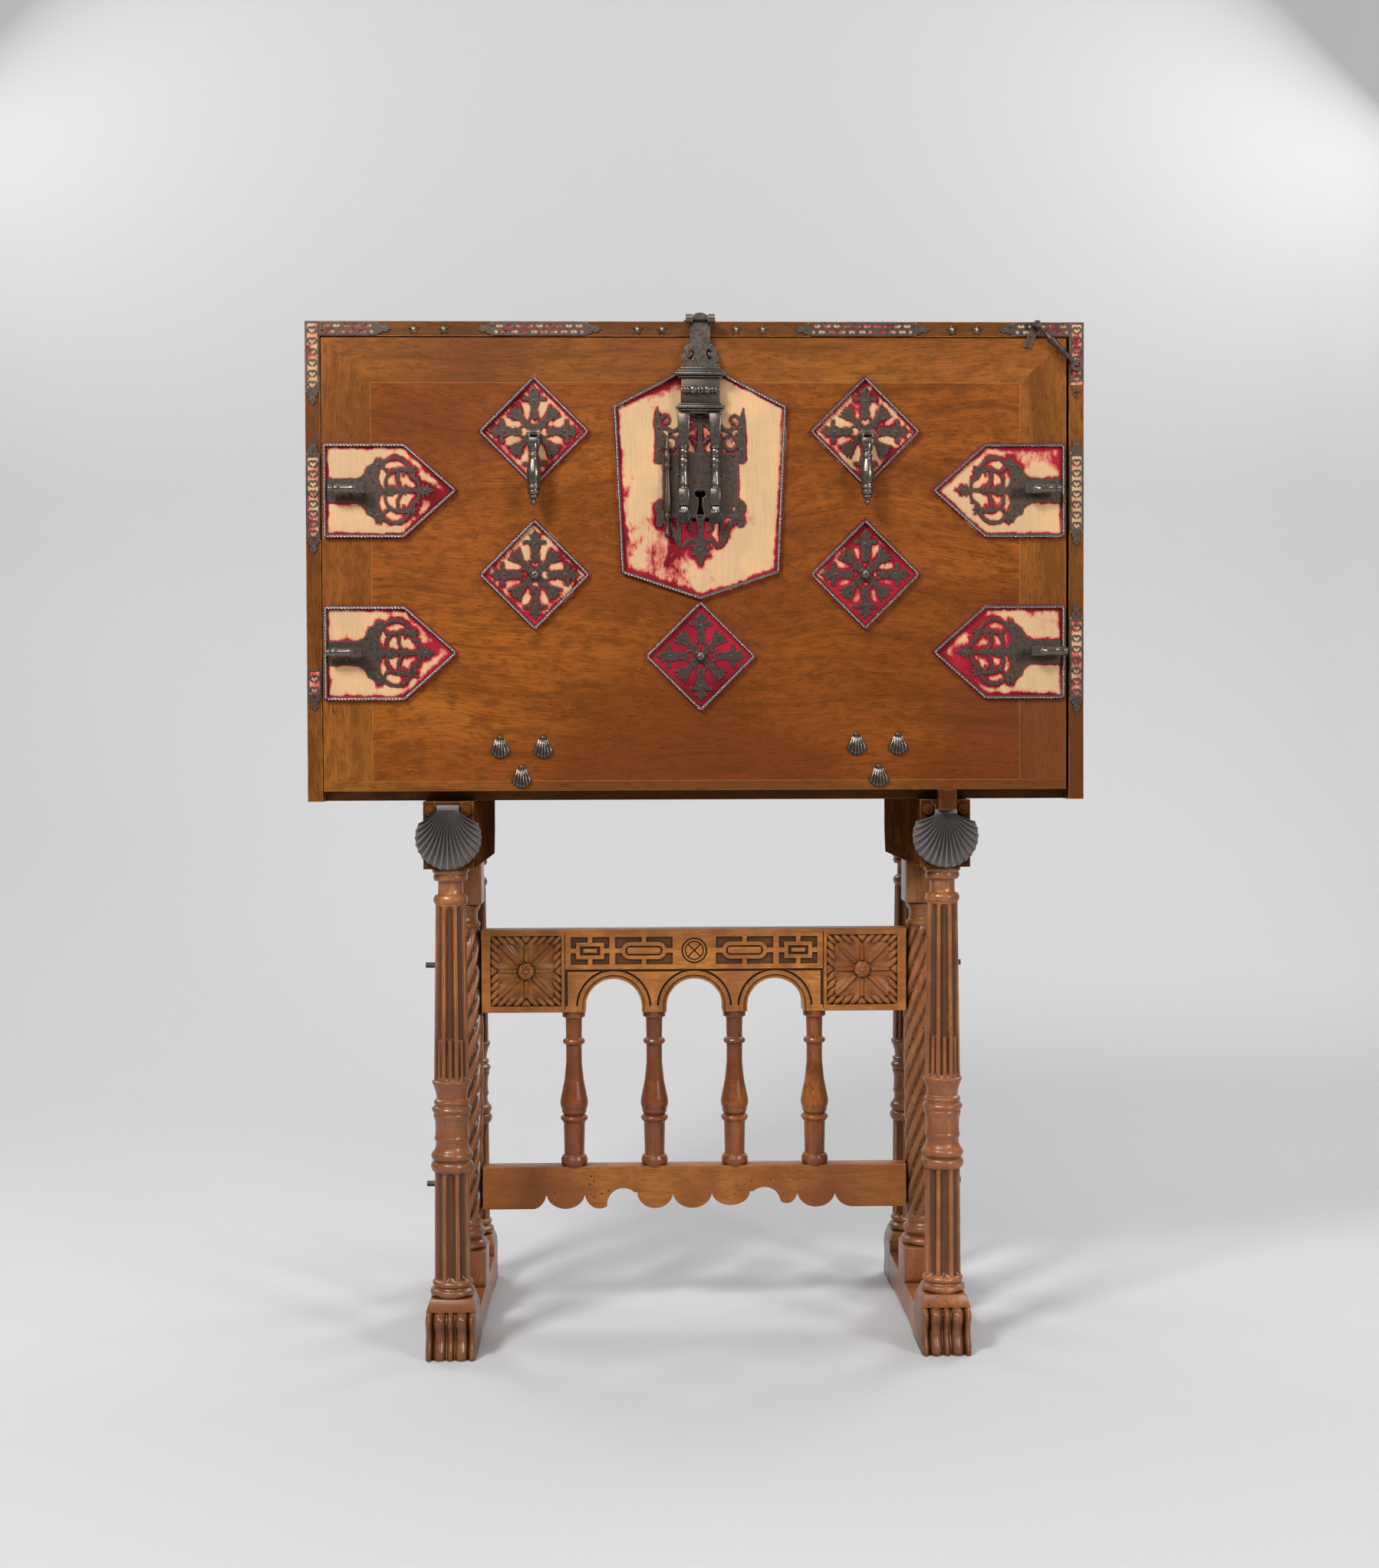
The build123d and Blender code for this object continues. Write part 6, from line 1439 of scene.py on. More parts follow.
def set_stars():
    """Silvered stars nailed along the case's top edge."""
    parts = []
    z = CASE_HIGH - 11
    for i, x in enumerate((-379, -339, -79, -46, 54, 90, 346, 379)):
        points = [(x, FACE - 4.2, z)]
        for k in range(10):
            reach = 8.4 if k % 2 == 0 else 3.9
            angle = pi / 2 + tau * k / 10 + 0.12 * sin(i * 2.4)
            points.append((x + reach * cos(angle), FACE - 0.8, z + reach * sin(angle)))
        points += [(px, FACE + 0.5, pz) for px, _, pz in points[1:]]
        faces = [(0, 1 + k, 1 + (k + 1) % 10) for k in range(10)]
        faces += [(1 + k, 11 + k, 11 + (k + 1) % 10, 1 + (k + 1) % 10) for k in range(10)]
        faces.append(tuple(range(20, 10, -1)))
        parts.append(piece(f"star_{i}", points, faces, "silvered brass", smooth=False))
        parts.append(dome_head(f"star_pin_{i}", x, z, 3.4, 1.9, 1.6, "silvered brass", segments=10))
    settle(join("star_work", parts), "root", "brass", "star_studs")


def set_studs():
    """All the small studs."""
    set_shell_studs()
    set_stars()


MOUNT_HALF = 10.0
MOUNT_POINT = 20.0  # length of a mount's pointed end
CLOTH_HALF = 8.4
TOP_EDGE = 1391.0
SIDE_EDGE = 515.0
# Low and high end along the edge, place across it, lying flat or upright, and its pointed ends.
EDGE_MOUNTS = [
    (-505.5, -411, TOP_EDGE, True, "high"), (-293, -129, TOP_EDGE, True, "both"), (134, 314, TOP_EDGE, True, "both"),
    (410, 505.5, TOP_EDGE, True, "low"),
    (533 + CASE_LOW, CASE_HIGH - 0.5, -SIDE_EDGE, False, "low"),
    (334 + CASE_LOW, 485 + CASE_LOW, -SIDE_EDGE, False, "both"),
    (123 + CASE_LOW, 178 + CASE_LOW, -SIDE_EDGE, False, "low"),
    (543 + CASE_LOW, CASE_HIGH - 0.5, SIDE_EDGE, False, "low"),
    (344 + CASE_LOW, 487 + CASE_LOW, SIDE_EDGE, False, "both"),
    (118 + CASE_LOW, 264 + CASE_LOW, SIDE_EDGE, False, "both"),
]


def mount_field(along, across, low, high, ends, windows):
    """A pierced mount: two rails with rows of curled openings between, pointed at the named ends."""
    body_low = low + MOUNT_POINT * (ends != "high")
    body_high = high - MOUNT_POINT * (ends != "low")
    mid, half = (body_low + body_high) / 2, (body_high - body_low) / 2
    field = round_box(along, across, mid, 0, half, 9.0, 0.5)
    for end, way, plain in ((body_low, -1, "high"), (body_high, 1, "low")):
        if ends != plain:
            spine = [(end + way * reach, 0) for reach in (-2, 4, 9, 14, 20)]
            field = union(field, stroke(along, across, spine, [8.6, 7, 3.2, 4.6, 0.6]))
    clear = 2 * half - 4
    pitch = clear / max(2, round(clear / 14.0))
    cell = np.mod(along - body_low - 2, pitch) - pitch / 2
    inside = np.abs(along - mid) - half + 2
    if windows:
        shifted = np.mod(along - body_low - 2 + pitch / 2, pitch) - pitch / 2
        holes = [less(round_box(step, across, 0, 4.0 * way, 4.7, 2.2, 2.1),
                      stroke(step, across, [(0, 8 * way), (0, 4.4 * way)], [1.2, 0.5]))
                 for step, way in ((cell, 1), (shifted, -1))]
        return less(field, np.maximum(union(*holes), inside))
    hollow = np.maximum(round_box(along, across, mid, 0, half - 2.4, 6.9, 1.0), inside)
    hook = [(-6.5, 1.5), (-3.4, 5.2), (0.6, 4.6), (1.6, 1.2), (-0.8, 0.2)]
    curls = [scroll(cell - step * pitch, across * sign, hook, [1.0, 1.2, 1.1, 1.0, 0.9], 3)
             for sign in (-1, 1) for step in (-1, 0, 1)]
    return less(field, less(hollow, union(*curls)))


def set_edge_mounts():
    """Pierced strips on the case's front edges, over crimson velvet."""
    parts = []
    for i, (low, high, across, flat, ends) in enumerate(EDGE_MOUNTS):
        def turn(along, over, flat=flat):
            return (along, over) if flat else (over, along)

        def shape(x, z, low=low, high=high, across=across, ends=ends, turn=turn, flat=flat):
            along, over = turn(x, z)
            return mount_field(along, over - across, low, high, ends, flat)

        box = turn(low - 1, across - MOUNT_HALF), turn(high + 1, across + MOUNT_HALF)
        parts.append(cut_sheet(f"mount_{i}", shape, *box, 0.8, 1.2, "iron", pitch=0.5, bevel=0.2))
        ax, az = turn(low + 17 * (ends != "high"), across - CLOTH_HALF)
        bx, bz = turn(high - 17 * (ends != "low"), across + CLOTH_HALF)
        cloth = bevelled_box(f"cloth_{i}", (ax, FACE - 0.8, az), (bx, FACE + 0.2, bz), "strip velvet", 0.2)
        settle(cloth, "root", "edge_cloth")
        if i == 0:
            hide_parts("edge_velvet")
        nails = [low + 8] * (ends != "high") + [high - 8] * (ends != "low")
        parts.append(rivets(f"mount_rivets_{i}", [turn(a, across) for a in nails], 1.9, 1.8, 1.2))
    settle(join("edge_mount_work", parts), "root", "wrought_iron", "edge_mounts")


# ---- The stand --------------------------------------------------------------------------
def fluted_ring(x, y, z, radius, depth, reed):
    """A section through an eight-sided fluted shaft: flats with a hollow, and a reed if wanted, in each."""
    sides, per, flute, reed_wide = 8, 16, 0.7, 0.42
    ring = []
    for k in range(sides * per):
        angle = tau * k / (sides * per)
        cell = (k % per) / per * 2 - 1
        flat = cos(pi / sides) / cos(angle % (tau / sides) - pi / sides)
        reach = radius * (0.5 + 0.5 * flat) - depth * max(0.0, 1 - (cell / flute) ** 2) ** 0.5
        reach += reed * max(0.0, 1 - (cell / reed_wide) ** 2) ** 0.5
        turn = angle + pi / sides
        ring.append((x + reach * cos(turn), y + reach * sin(turn), z))
    return ring


def shaft(name, x, y, low, high, r_low, r_high, finish_name, depth=6.0, reeds=0.0):
    """A fluted shaft; flutes run out at both ends, with reeds in their lower part."""
    heights = [0, 2.5, 4.5, 7, 10]
    long = high - low
    stop = reeds * long
    levels = heights + ([stop - 1.0, stop + 1.5] if reeds else []) + [long - h for h in reversed(heights)]
    rings = []
    for level in levels:
        end = min(level, long - level)
        fade = 0.0 if end <= 2.5 else min(1.0, ((end - 2.5) / 7.5)) ** 0.5
        reed = depth * 0.95 if reeds and level <= stop - 1.0 and end > 4 else 0.0
        radius = r_low + (r_high - r_low) * level / long
        rings.append(fluted_ring(x, y, low + level, radius, depth * fade, reed * fade))
    made = closed_rings(name, rings, finish_name)
    ring_grooves(made, x, y, len(rings[0]), 1.6, depth * 0.6)
    return crisp(made, 38)


def raise_columns():
    """Four fluted columns with turned drums and cups."""
    base, drum, cup, head = 79.0, 250.0, 346.0, 615.0
    wood = "walnut stand"
    for end, y in (("front", TOE + 48), ("back", HEEL - 48)):
        for hand, side in (("left", -1), ("right", 1)):
            x, tag = side * FRAME_X, f"{end}_{hand}"
            parts = [
                tapered_block(f"plinth_{tag}", (x - 34, x + 34, y - 34, y + 34, 62.5),
                              (x - 28.4, x + 28.4, y - 28.4, y + 28.4, base + 0.5), wood, 1.2),
                turned(f"foot_{tag}", COLUMN_FOOT, wood, at=(x, y, base)),
                shaft(f"lower_{tag}", x, y, base + 19, drum + 2, 25.5, 24.5, wood),
                turned(f"drum_{tag}", COLUMN_DRUM, wood, at=(x, y, drum)),
                turned(f"cup_{tag}", COLUMN_CUP, wood, at=(x, y, cup)),
                shaft(f"upper_{tag}", x, y, cup + 27, head + 1, 24.8, 21.4, wood, reeds=0.24),
                turned(f"head_{tag}", COLUMN_HEAD + [(24.4, BEAM_LOW + 0.3 - head)], wood, at=(x, y, head)),
            ]
            settle(join(f"column_work_{tag}", parts), "root", "walnut_stand", f"column_{tag}")


def gadrooned_body(name, x, y, profile, finish_name):
    """A swelling body with twisted lobes round it."""
    plan = bpy.context.scene.vargueno_stand
    lobes, turn, deep = plan.gadroons, plan.gadroon_turn / MM, plan.gadroon_depth / MM
    count = lobes * 10
    heights = np.linspace(profile[0][1], profile[-1][1], 90)
    radii = np.interp(heights, [p[1] for p in profile], [p[0] for p in profile])
    rings = []
    for z, radius in zip(heights, radii):
        ends = min(z - heights[0], heights[-1] - z)
        fade = min(1.0, max(0.0, ends / 14)) ** 0.5
        ring = []
        for j in range(count):
            angle = tau * j / count
            swirl = abs(sin(lobes / 2 * (angle - tau * (z - heights[0]) / turn)))
            reach = radius - deep * fade * (1 - swirl ** 0.75)
            ring.append((x + reach * cos(angle), y + reach * sin(angle), z))
        rings.append(ring)
    made = closed_rings(name, rings, finish_name)
    ring_grooves(made, x, y, count, deep * 0.35, deep * 0.6)
    return made


def raise_posts():
    """The two stout middle posts with their twisted gadroons."""
    foot, neck, head, top = 101.0, 560.0, 601.5, BEAM_LOW + 0.3
    y, wood = POST_Y, "walnut stand"
    for hand, side in (("left", -1), ("right", 1)):
        x = side * FRAME_X
        parts = [
            bevelled_box(f"post_foot_{hand}", (x - 34, y - 34, 49.5), (x + 34, y + 34, foot), wood, 1.5),
            turned(f"post_rings_{hand}", POST_RINGS, wood, at=(x, y, foot)),
            gadrooned_body(f"post_body_{hand}", x, y, POST_BODY, wood),
            turned(f"post_neck_{hand}", POST_NECK, wood, at=(x, y, neck)),
            bevelled_box(f"post_head_{hand}", (x - 30, y - 30, head), (x + 30, y + 30, top), wood, 1.5),
        ]
        settle(join(f"post_work_{hand}", parts), "root", "walnut_posts", f"post_{hand}")


def toe_height(u):
    """The height of a toe's rounded lobes across its width, 0 to 1."""
    marks = [0.0, 0.15, 0.42, 0.58, 0.85, 1.0]
    for low, high in zip(marks, marks[1:]):
        if u <= high:
            t = (u - low) / (high - low) * 2 - 1
            return sqrt(max(0.0, 1 - t * t))
    return 0.0


def lobed_toe(name, x, y_front, way, finish_name):
    """A runner's end, carved as five upright lobes with rounded tops."""
    wide, deep, carved, count = 68.0, 84.0, 9.0, 81
    side_points = [(0.5, 0.5), (0.0, 7.0), (1.5, 13.0), (5.5, 20.0), (9.0, 28.0), (9.0, 35.0), (5.5, 42.0),
                   (1.5, 48.0), (0.5, 53.0), (2.5, 58.0), (8.0, 61.6), (15.0, 63.0), (26.0, 63.0), (deep, 63.0)]
    shares = [j / (count - 1) for j in range(count)]
    points, depths = [], []
    for back, z in side_points:
        for u in shares:
            hollow = 1 - toe_height(u)
            relief = carved * hollow ** 0.8 * (1.0 if back < 20 else max(0.0, 1 - (back - 20) / 10))
            drop = 3.5 * hollow if z > 50 and back < 20 else 0.0
            points.append((x + (u - 0.5) * wide, y_front + way * (back + relief), z - drop))
            depths.append(relief / carved - 0.25)
    points += [(x + (u - 0.5) * wide, y_front + way * deep, 0.5) for u in shares]
    depths += [0.0] * count
    rows = len(side_points) + 1
    faces = grid_faces(rows, count)
    last = (rows - 1) * count
    faces += [(last + j, last + j + 1, j + 1, j) for j in range(count - 1)]
    faces += [tuple(i * count for i in reversed(range(rows))), tuple(i * count + count - 1 for i in range(rows))]
    made = outward(piece(name, points, faces, finish_name))
    mark_grooves(made.data, np.array(depths))
    return crisp(made, 45)


def lay_runners():
    """Two runners with carved toes at both ends."""
    low, high, steps = TOE + 82, HEEL - 82, 24
    for hand, side in (("left", -1), ("right", 1)):
        x = side * FRAME_X
        rings = []
        for i in range(steps + 1):
            t = i / steps
            y = low + (high - low) * t
            lift = 8 * min(1, 6 * min(t, 1 - t))
            rings.append([(x - 34, y, lift), (x + 34, y, lift), (x + 34, y, 50), (x - 34, y, 50)])
        middle = closed_rings(f"runner_middle_{hand}", rings, "walnut stand", smooth=False)
        middle.data.flip_normals()
        toes = [lobed_toe(f"toe_front_{hand}", x, TOE, 1, "walnut foot"),
                lobed_toe(f"toe_back_{hand}", x, HEEL, -1, "walnut foot")]
        settle(join(f"runner_work_{hand}", toes + [middle]), "root", "walnut_stand", f"runner_{hand}")


LOPER_CURL = [(8.0, -1), (8.0, 4), (6.6, 5.6), (4.4, 5.0), (3.6, 6.2), (0.4, 6.8)]


def carve_shells():
    """The lopers' scallop shells in worn black paint."""
    ribs = bpy.context.scene.vargueno_stand.shell_ribs
    reach, centre, neck_half = 44.0, 707.0, 14.5
    count, rows = ribs * 8 + 1, 18
    for hand in ("left", "right"):
        node = f"shell_head_{hand}"
        low, high = corner(node, 0), corner(node, 1)
        x, back, front, neck_top = (low.x + high.x) / 2, high.y, low.y, high.z
        fronts, rears = [], []
        for i in range(rows):
            t = i / (rows - 1)
            swell = 0.50 + 0.50 * sin(pi * min(1.0, 0.10 + 0.78 * t)) ** 0.8
            line = []
            for j in range(count):
                s = -1 + 2 * j / (count - 1)
                rib = (0.5 + 0.5 * cos(tau * ribs * j / (count - 1))) ** 1.9
                angle = radians(270 + 116 * s)
                rim_x = reach * cos(angle) * (1 + 0.02 * rib)
                rim_z = centre + reach * sin(angle) * (0.98 + 0.02 * rib)
                px = x + neck_half * s + (rim_x - neck_half * s) * t ** 1.5
                pz = neck_top - 6 + (rim_z - neck_top + 6) * t ** 0.95
                height = (back - front - 1) * swell - 4.6 * (1 - rib) * min(1, 0.3 + t)
                line.append((px, back - height * (0.55 if i == rows - 1 else 1), pz))
            fronts.append(line)
            rears.append([(px, back, pz) for px, _, pz in line])
        fan = two_sided(f"fan_{hand}", fronts, rears, "black paint", 60)
        neck = bevelled_box(f"neck_{hand}", (x - 15.2, front + 9, centre + 20), (x + 15.2, back, neck_top),
                            "black paint", 1.2)
        curls = [turned(f"curl_{hand}{sign}", LOPER_CURL, "shaded walnut beam", at=(x + sign * 24.0, back + 0.6, centre + 36),
                        up=(0, -1, 0), segments=24, cut=0.4) for sign in (-1, 1)]
        settle(join(f"beam_curls_{hand}", curls), "root", "walnut_stand")
        settle(join(f"shell_work_{hand}", [fan, neck]), f"loper_{hand}", "shell_paint", node)


# ---- The arcade -------------------------------------------------------------------------
ARCHES = (-117.0, 0.0, 117.0)
SPRINGING = RAIL_LOW + 8.0
PANEL_Z = RAIL_HIGH - 31.0
OUTER_PANEL, INNER_PANEL = 151.0, 73.0
LEAF_X = 244.0
LEAF_Z = (RAIL_LOW + RAIL_HIGH) / 2


def arches(x, z, radius):
    """The stilted round arches of one radius, open below."""
    return union(*[union(np.hypot(x - centre, z - SPRINGING) - radius,
                         np.maximum(np.abs(x - centre) - radius, z - SPRINGING)) for centre in ARCHES])


def rail_outline(x, z):
    return less(round_box(x, z, 0, LEAF_Z, 308, (RAIL_HIGH - RAIL_LOW) / 2), arches(x, z, 40.5))


def strap_panels(x, z):
    """Sunk grounds of the strapwork panels and of the roundel, with the straps left standing."""
    u = np.abs(x)
    v = z - PANEL_Z

    def ties(middle, reach):
        """The short straps that tie a ring to its frame."""
        return (np.maximum(np.abs(u - middle) - 3.3, 11 - np.abs(v)),
                np.maximum(np.abs(v) - 3.4, reach - np.abs(u - middle)))

    square = less(round_box(u, v, OUTER_PANEL, 0, 20.4, 12.0), round_box(u, v, OUTER_PANEL, 0, 14.7, 6.6))
    first = less(round_box(u, v, OUTER_PANEL, 0, 28.0, 20.0), square, round_box(u, v, OUTER_PANEL, 0, 10, 3),
                 *ties(OUTER_PANEL, 19))
    ring = less(round_box(u, v, INNER_PANEL, 0, 32.6, 12.4, 12.3), round_box(u, v, INNER_PANEL, 0, 27, 7, 6.9))
    second = less(round_box(u, v, INNER_PANEL, 0, 41.7, 20.0), ring, round_box(u, v, INNER_PANEL, 0, 24.5, 4.8, 4.7),
                  *ties(INNER_PANEL, 30))
    cross = np.minimum(np.abs(u - np.abs(v)) / sqrt(2) - 0.9, disc(u, v, 0, 0, 1.2))
    roundel = union(np.abs(np.hypot(u, v) - 17.6) - 1.1, np.abs(np.hypot(u, v) - 13.0) - 0.8,
                    np.maximum(cross, disc(u, v, 0, 0, 12.6)))
    return union(first, second, roundel)


def rail_face(x, z):
    """The rail's front skin: sunk panels, and sunk borders in the spandrels between the arches."""
    u = np.abs(x)
    top = PANEL_Z - 27.0
    around = arches(x, z, 51.0)
    whole = np.maximum(np.maximum(z - top, u - 187), -around)
    inner = np.maximum(np.maximum(z - top + 3.2, u - 183.6), 3.4 - around)
    border = np.maximum(less(whole, inner), RAIL_LOW + 9 - z)
    line = np.maximum(np.abs(u - 187.5) - 0.5, np.abs(z - LEAF_Z) - 56)
    leaf_hole = round_box(u, z, LEAF_X, LEAF_Z, 51.2, 51.0)
    return less(rail_outline(x, z), strap_panels(x, z), border, line, leaf_hole)


def leaf_panel(name, side, y_ground):
    """A square panel carved as a whirl of eight leaves round a boss, in a border of curled leaves."""
    count = 112
    half_x, half_z = 52.5, 52.0
    x, z = np.meshgrid(np.linspace(-half_x, half_x, count), np.linspace(-half_z, half_z, count), indexing="ij")
    r = np.hypot(x, z)
    theta = np.arctan2(z, x)
    cell = np.mod(theta + pi / 8, pi / 4) - pi / 8
    across = np.abs(cell) * r
    side_reach = np.minimum(half_x / np.maximum(np.abs(np.cos(theta)), 1e-6),
                            half_z / np.maximum(np.abs(np.sin(theta)), 1e-6))
    t = np.clip((r - 12) / (side_reach - 24), 0, 1.2)
    blade = 2.6 + 1.6 * np.cos(8 * theta) * np.clip(r / 40, 0, 1) - 1.0 * np.clip(t - 0.5, 0, 1)
    veins = np.sin(8 * np.abs(cell) * 7 + 0.16 * r) * 0.28 * np.clip((r - 16) / 12, 0, 1)
    rib = 3.0 * np.exp(-(across / 1.5) ** 2) * np.clip((1.12 - t) * 6, 0, 1)
    gully = 1.5 * np.exp(-((across - 3.4) / 1.6) ** 2) * np.clip(1.1 - t, 0, 1)
    height = blade + veins + rib - gully
    along = np.where(np.abs(x) * half_z > np.abs(z) * half_x, z, x)
    depth = -np.maximum(np.abs(x) - half_x, np.abs(z) - half_z)
    lean = along + 0.8 * np.sign(along) * (depth - 6)
    width = 11.6
    leaf_cell = (np.mod(lean + width / 2, width) - width / 2) / (width / 2)
    tongue = np.clip(1 - leaf_cell ** 2 - ((depth - 8.0) / 7.4) ** 2 * 0.9, 0, 1) ** 0.5
    crease = 0.9 * np.exp(-(leaf_cell / 0.16) ** 2) * np.clip(tongue, 0, 1)
    tips = 4.6 * tongue - crease
    height = np.where(depth < 13.5, np.maximum(tips, np.where(depth > 10.5, 0.9, 0.0)), height)
    boss = np.clip(1 - (r / 12.0) ** 2, 0, 1) ** 0.5
    whirl = 0.55 + 0.45 * np.abs(np.cos(3 * (theta + 0.16 * r)))
    height = np.where(r < 12.0, 2.2 + 6.0 * boss * np.where(r > 2.5, whirl, 1.0), height)
    height = np.where((r >= 12.0) & (r < 13.6), 0.8, height)
    height = np.clip(height, 0, None)
    points = np.stack([side * LEAF_X + x, y_ground - height, LEAF_Z + z], axis=-1).reshape(-1, 3)
    base, last = len(points), (count - 1) * count
    corners = [(side * LEAF_X + a * half_x, y_ground + 1.5, LEAF_Z + b * half_z)
               for a, b in ((-1, -1), (1, -1), (1, 1), (-1, 1))]
    points = np.vstack([points, corners])
    faces = [tuple(reversed(face)) for face in grid_faces(count, count)]
    faces += [(*range(0, base, count), base + 1, base), (*range(last, base), base + 2, base + 1),
              (*range(base - 1, 0, -count), base + 3, base + 2), (*range(count - 1, -1, -1), base, base + 3),
              (base, base + 1, base + 2, base + 3)]
    made = piece(name, points, faces, "walnut rail")
    mark_grooves(made.data, np.append(1 - height.ravel() / 2.2, [0.0] * 4))
    return crisp(made, 75)


def carve_arcade():
    """The arcaded rail: arches with moulded archivolts, strapwork panels, a roundel and two leaf panels."""
    back, wood = POST_Y + 17.5, "walnut rail"
    front = back - 35.0
    wide = (-310, RAIL_LOW - 2), (310, RAIL_HIGH + 2)
    parts = [
        cut_sheet("rail_body", rail_outline, *wide, 0.0, 31.2, wood, pitch=1.0, bevel=0.3, face=back),
        # Behind the carved skin, a darker walnut sheet shows in the sunk grounds: painted shade.
        cut_sheet("rail_ground_shade", lambda x, z: rail_outline(x, z) + 1.2, *wide, 31.0, 0.6, "walnut ground", pitch=1.0,
                  bevel=0.1, face=back),
        cut_sheet("rail_skin", rail_face, *wide, 31.0, 4.2, wood, pitch=0.75, bevel=0.55, face=back),
    ]
    for i, (inner, outer, thick) in enumerate(((40.4, 42.6, 2.6), (46.4, 48.6, 3.6), (48.4, 51.4, 2.2))):
        def ring(x, z, inner=inner, outer=outer):
            return np.maximum(less(arches(x, z, outer), arches(x, z, inner)), RAIL_LOW - z)

        parts.append(cut_sheet(f"archivolt_{i}", ring, *wide, -0.4, thick, wood, pitch=0.75, bevel=0.5, face=front))
    for i, (x, half, tall, out) in enumerate(((OUTER_PANEL, 9.5, 2.6, 1.0), (-OUTER_PANEL, 9.5, 2.6, 1.0),
                                              (INNER_PANEL, 24, 4.4, 0.6), (-INNER_PANEL, 24, 4.4, 0.6))):
        parts.append(bevelled_box(f"bar_{i}", (x - half, front - out, PANEL_Z - tall),
                                  (x + half, front + 2, PANEL_Z + tall), wood, 1.6))
    parts += [leaf_panel(f"leaves_{side}", side, front + 3.4) for side in (-1, 1)]
    settle(join("arcade_carving", parts), "root", "walnut_rails", "arcade_rail")


def apron_shape(x, z):
    """The apron's board with its scalloped lower edge."""
    low = corner("apron_rail", 0).z
    cusp, half_tall = low + 24.0, 19.0
    board = np.maximum(np.abs(z - cusp - half_tall) - half_tall, np.abs(x) - 308)

    def lobe(left, right, deep=23.5):
        half = (right - left) / 2
        across = (x - (left + right) / 2) / half
        down = (z - cusp) / deep
        return (np.hypot(across, down) - 1) * min(half, deep)

    ends = np.maximum(np.maximum(232 - np.abs(x), np.abs(x) - 308), low + 0.5 - z)
    ends = union(ends, lobe(-257, -216), lobe(204, 257))
    lobes = [lobe(-216, -160), lobe(-160, -118), lobe(-84, -32), lobe(-32, 24.5), lobe(24.5, 80, 20),
             lobe(118, 149, 18), lobe(149, 204)]
    hang = np.maximum(union(ends, *lobes), z - cusp - 1)
    bite = union(disc(x, z, -104, low + 6, 24), disc(x, z, 101, low + 6, 24), round_box(x, z, -113, low, 14, 9))
    return less(union(board, hang), bite)


def cut_apron():
    """The scalloped board under the spindles."""
    box = (-310, corner("apron_rail", 0).z - 1), (310, corner("apron_rail", 1).z + 1)
    board = cut_sheet("apron_board", apron_shape, *box, 0.0, 30.0, "walnut apron", pitch=0.9, bevel=1.0,
                      face=POST_Y + 15.0)
    settle(board, "root", "walnut_rails", "apron_rail")


# ---- The add-on -------------------------------------------------------------------------
class Step:
    """What all the operators share: each runs its own `build`."""

    def execute(self, context):
        self.build()
        return {"FINISHED"}


class VARGUENO_OT_stage(Step, Operator):
    """Set the camera, the floor and the studio light"""
    bl_idname = "vargueno.stage"
    bl_label = "Stage"
    build = staticmethod(build_stage)


class VARGUENO_OT_wood(Step, Operator):
    """Give the parts that are shown as built their walnut and iron"""
    bl_idname = "vargueno.wood"
    bl_label = "Wood and iron"
    build = staticmethod(paint_frame)


class VARGUENO_OT_velvet(Step, Operator):
    """Lay the worn velvet pads"""
    bl_idname = "vargueno.velvet"
    bl_label = "Velvet"
    build = staticmethod(lay_velvet)


class VARGUENO_OT_borders(Step, Operator):
    """Twist the iron borders"""
    bl_idname = "vargueno.borders"
    bl_label = "Twisted borders"
    build = staticmethod(twist_borders)


class VARGUENO_OT_rosettes(Step, Operator):
    """Cut the five pierced rosettes"""
    bl_idname = "vargueno.rosettes"
    bl_label = "Rosettes"
    build = staticmethod(cut_rosettes)


class VARGUENO_OT_lock(Step, Operator):
    """Cut the lock plate and turn its colonette"""
    bl_idname = "vargueno.lock"
    bl_label = "Lock"
    build = staticmethod(make_lock)


class VARGUENO_OT_bolts(Step, Operator):
    """Cut the side bolts' plates"""
    bl_idname = "vargueno.bolts"
    bl_label = "Bolt plates"
    build = staticmethod(cut_bolt_plates)


class VARGUENO_OT_pulls(Step, Operator):
    """Turn the two drop pulls"""
    bl_idname = "vargueno.pulls"
    bl_label = "Drop pulls"
    build = staticmethod(hang_pulls)


class VARGUENO_OT_hasp(Step, Operator):
    """Forge the hasp"""
    bl_idname = "vargueno.hasp"
    bl_label = "Hasp"
    build = staticmethod(make_hasp)


class VARGUENO_OT_studs(Step, Operator):
    """Set the small shells and the stars"""
    bl_idname = "vargueno.studs"
    bl_label = "Shells and stars"
    build = staticmethod(set_studs)


class VARGUENO_OT_mounts(Step, Operator):
    """Set the pierced strips on the case's edges"""
    bl_idname = "vargueno.mounts"
    bl_label = "Edge strips"
    build = staticmethod(set_edge_mounts)


class VARGUENO_OT_columns(Step, Operator):
    """Raise the fluted columns"""
    bl_idname = "vargueno.columns"
    bl_label = "Columns"
    build = staticmethod(raise_columns)


class VARGUENO_OT_posts(Step, Operator):
    """Raise the gadrooned posts"""
    bl_idname = "vargueno.posts"
    bl_label = "Posts"
    build = staticmethod(raise_posts)


class VARGUENO_OT_runners(Step, Operator):
    """Lay the runners with their carved toes"""
    bl_idname = "vargueno.runners"
    bl_label = "Runners"
    build = staticmethod(lay_runners)


class VARGUENO_OT_shells(Step, Operator):
    """Carve the lopers' shells"""
    bl_idname = "vargueno.shells"
    bl_label = "Loper shells"
    build = staticmethod(carve_shells)


class VARGUENO_OT_arcade(Step, Operator):
    """Carve the arcaded rail"""
    bl_idname = "vargueno.arcade"
    bl_label = "Arcade"
    build = staticmethod(carve_arcade)


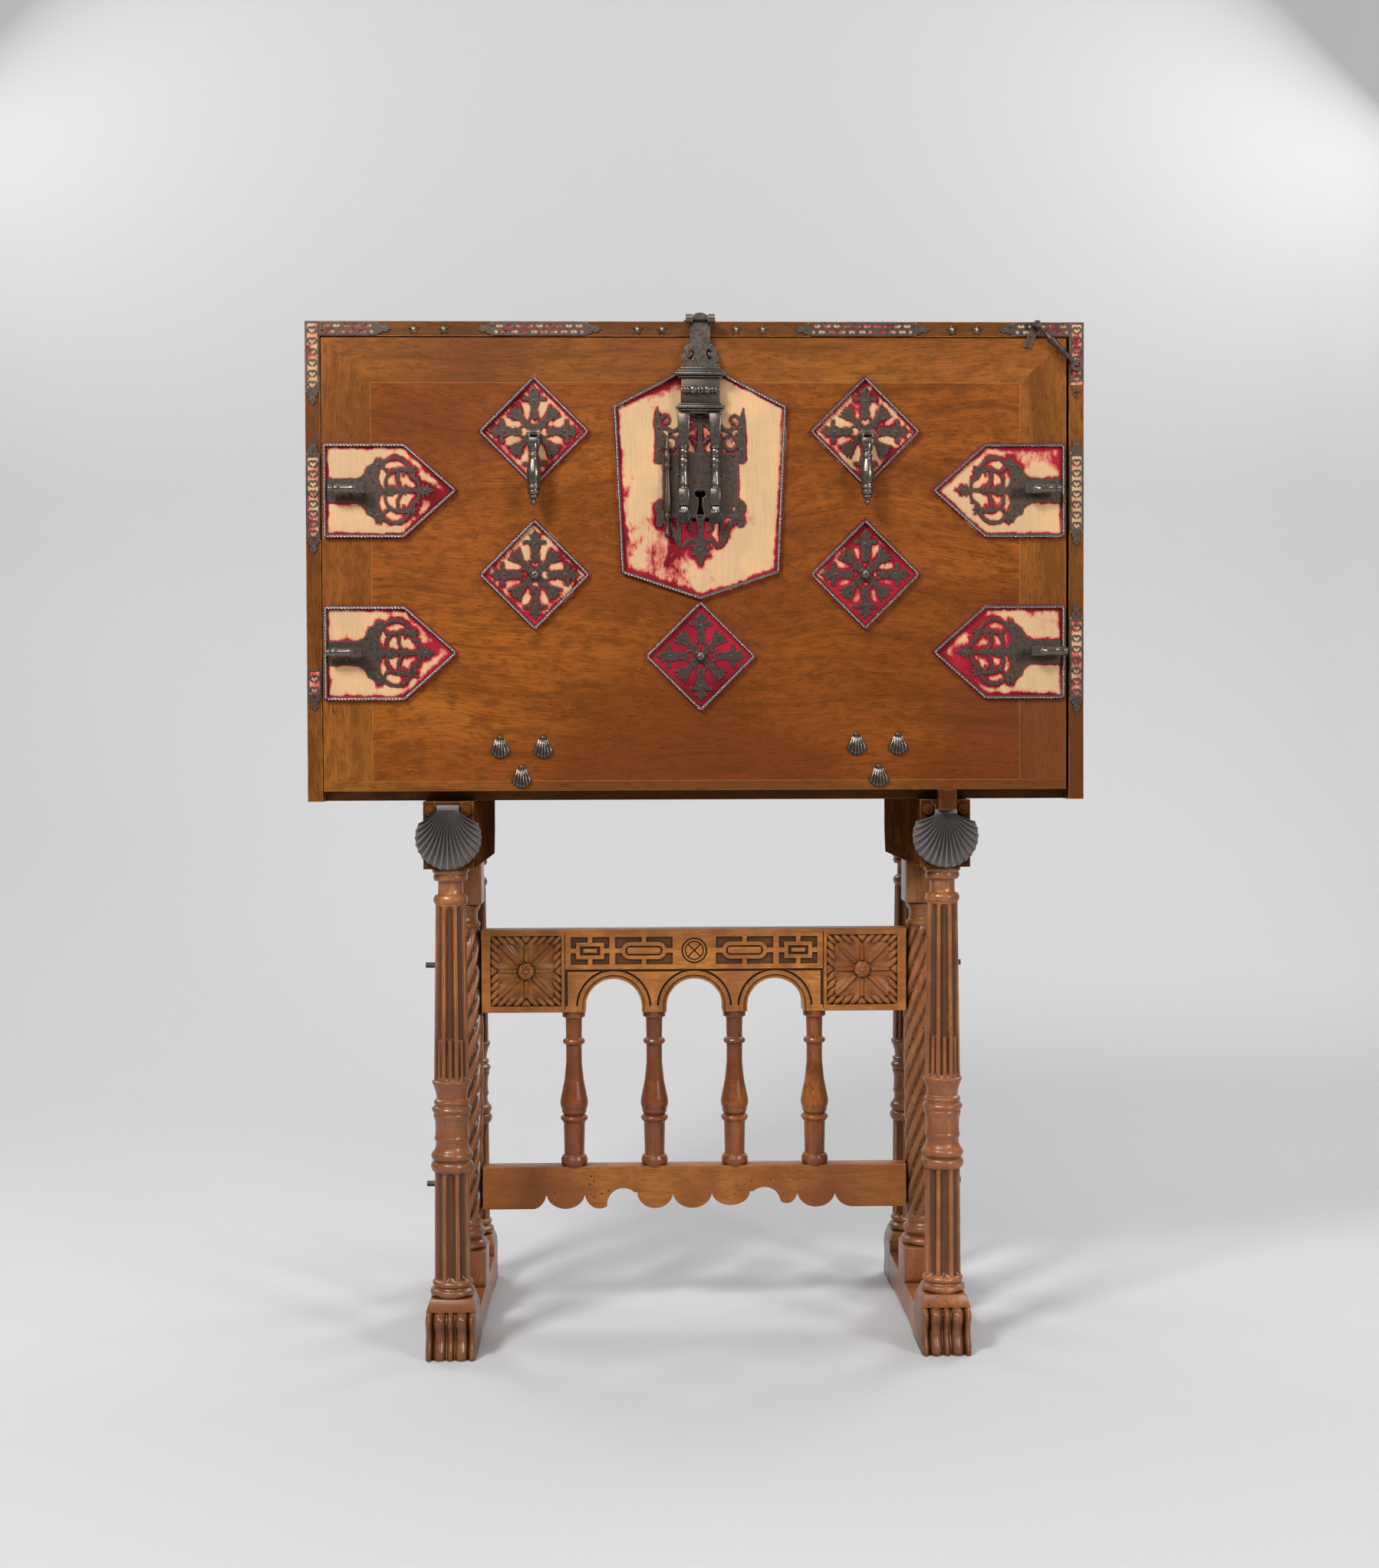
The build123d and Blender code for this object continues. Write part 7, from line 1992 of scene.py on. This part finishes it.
class VARGUENO_OT_apron(Step, Operator):
    """Cut the scalloped apron"""
    bl_idname = "vargueno.apron"
    bl_label = "Apron"
    build = staticmethod(cut_apron)


OPERATORS = (
    VARGUENO_OT_stage, VARGUENO_OT_wood, VARGUENO_OT_velvet, VARGUENO_OT_borders, VARGUENO_OT_rosettes,
    VARGUENO_OT_lock, VARGUENO_OT_bolts, VARGUENO_OT_pulls, VARGUENO_OT_hasp, VARGUENO_OT_studs,
    VARGUENO_OT_mounts, VARGUENO_OT_columns, VARGUENO_OT_posts, VARGUENO_OT_runners, VARGUENO_OT_shells,
    VARGUENO_OT_arcade, VARGUENO_OT_apron,
)
GROUPS = {
    "vargueno_colours": VarguenoColours,
    "vargueno_iron": VarguenoIron,
    "vargueno_stand": VarguenoStand,
    "vargueno_stage": VarguenoStage,
}


class VARGUENO_PT_panel(Panel):
    """Every size and colour of the vargueno, and the steps that build it"""
    bl_label = "Vargueno"
    bl_space_type = "VIEW_3D"
    bl_region_type = "UI"
    bl_category = "Vargueno"

    def draw(self, context):
        for holder, group in GROUPS.items():
            box = self.layout.box()
            for name in group.__annotations__:
                box.prop(getattr(context.scene, holder), name)
        for step in OPERATORS:
            self.layout.operator(step.bl_idname)


def register():
    for group in GROUPS.values():
        bpy.utils.register_class(group)
    for holder, group in GROUPS.items():
        setattr(bpy.types.Scene, holder, PointerProperty(type=group))
    for step in (*OPERATORS, VARGUENO_PT_panel):
        bpy.utils.register_class(step)


def unregister():
    for step in (VARGUENO_PT_panel, *reversed(OPERATORS)):
        bpy.utils.unregister_class(step)
    for holder in GROUPS:
        delattr(bpy.types.Scene, holder)
    for group in reversed(list(GROUPS.values())):
        bpy.utils.unregister_class(group)


def main():
    register()
    steps = bpy.ops.vargueno
    steps.stage()
    steps.wood()
    steps.velvet()
    steps.borders()
    steps.rosettes()
    steps.lock()
    steps.bolts()
    steps.pulls()
    steps.hasp()
    steps.studs()
    steps.mounts()
    steps.columns()
    steps.posts()
    steps.runners()
    steps.shells()
    steps.arcade()
    steps.apron()


if __name__ == "__main__":
    main()
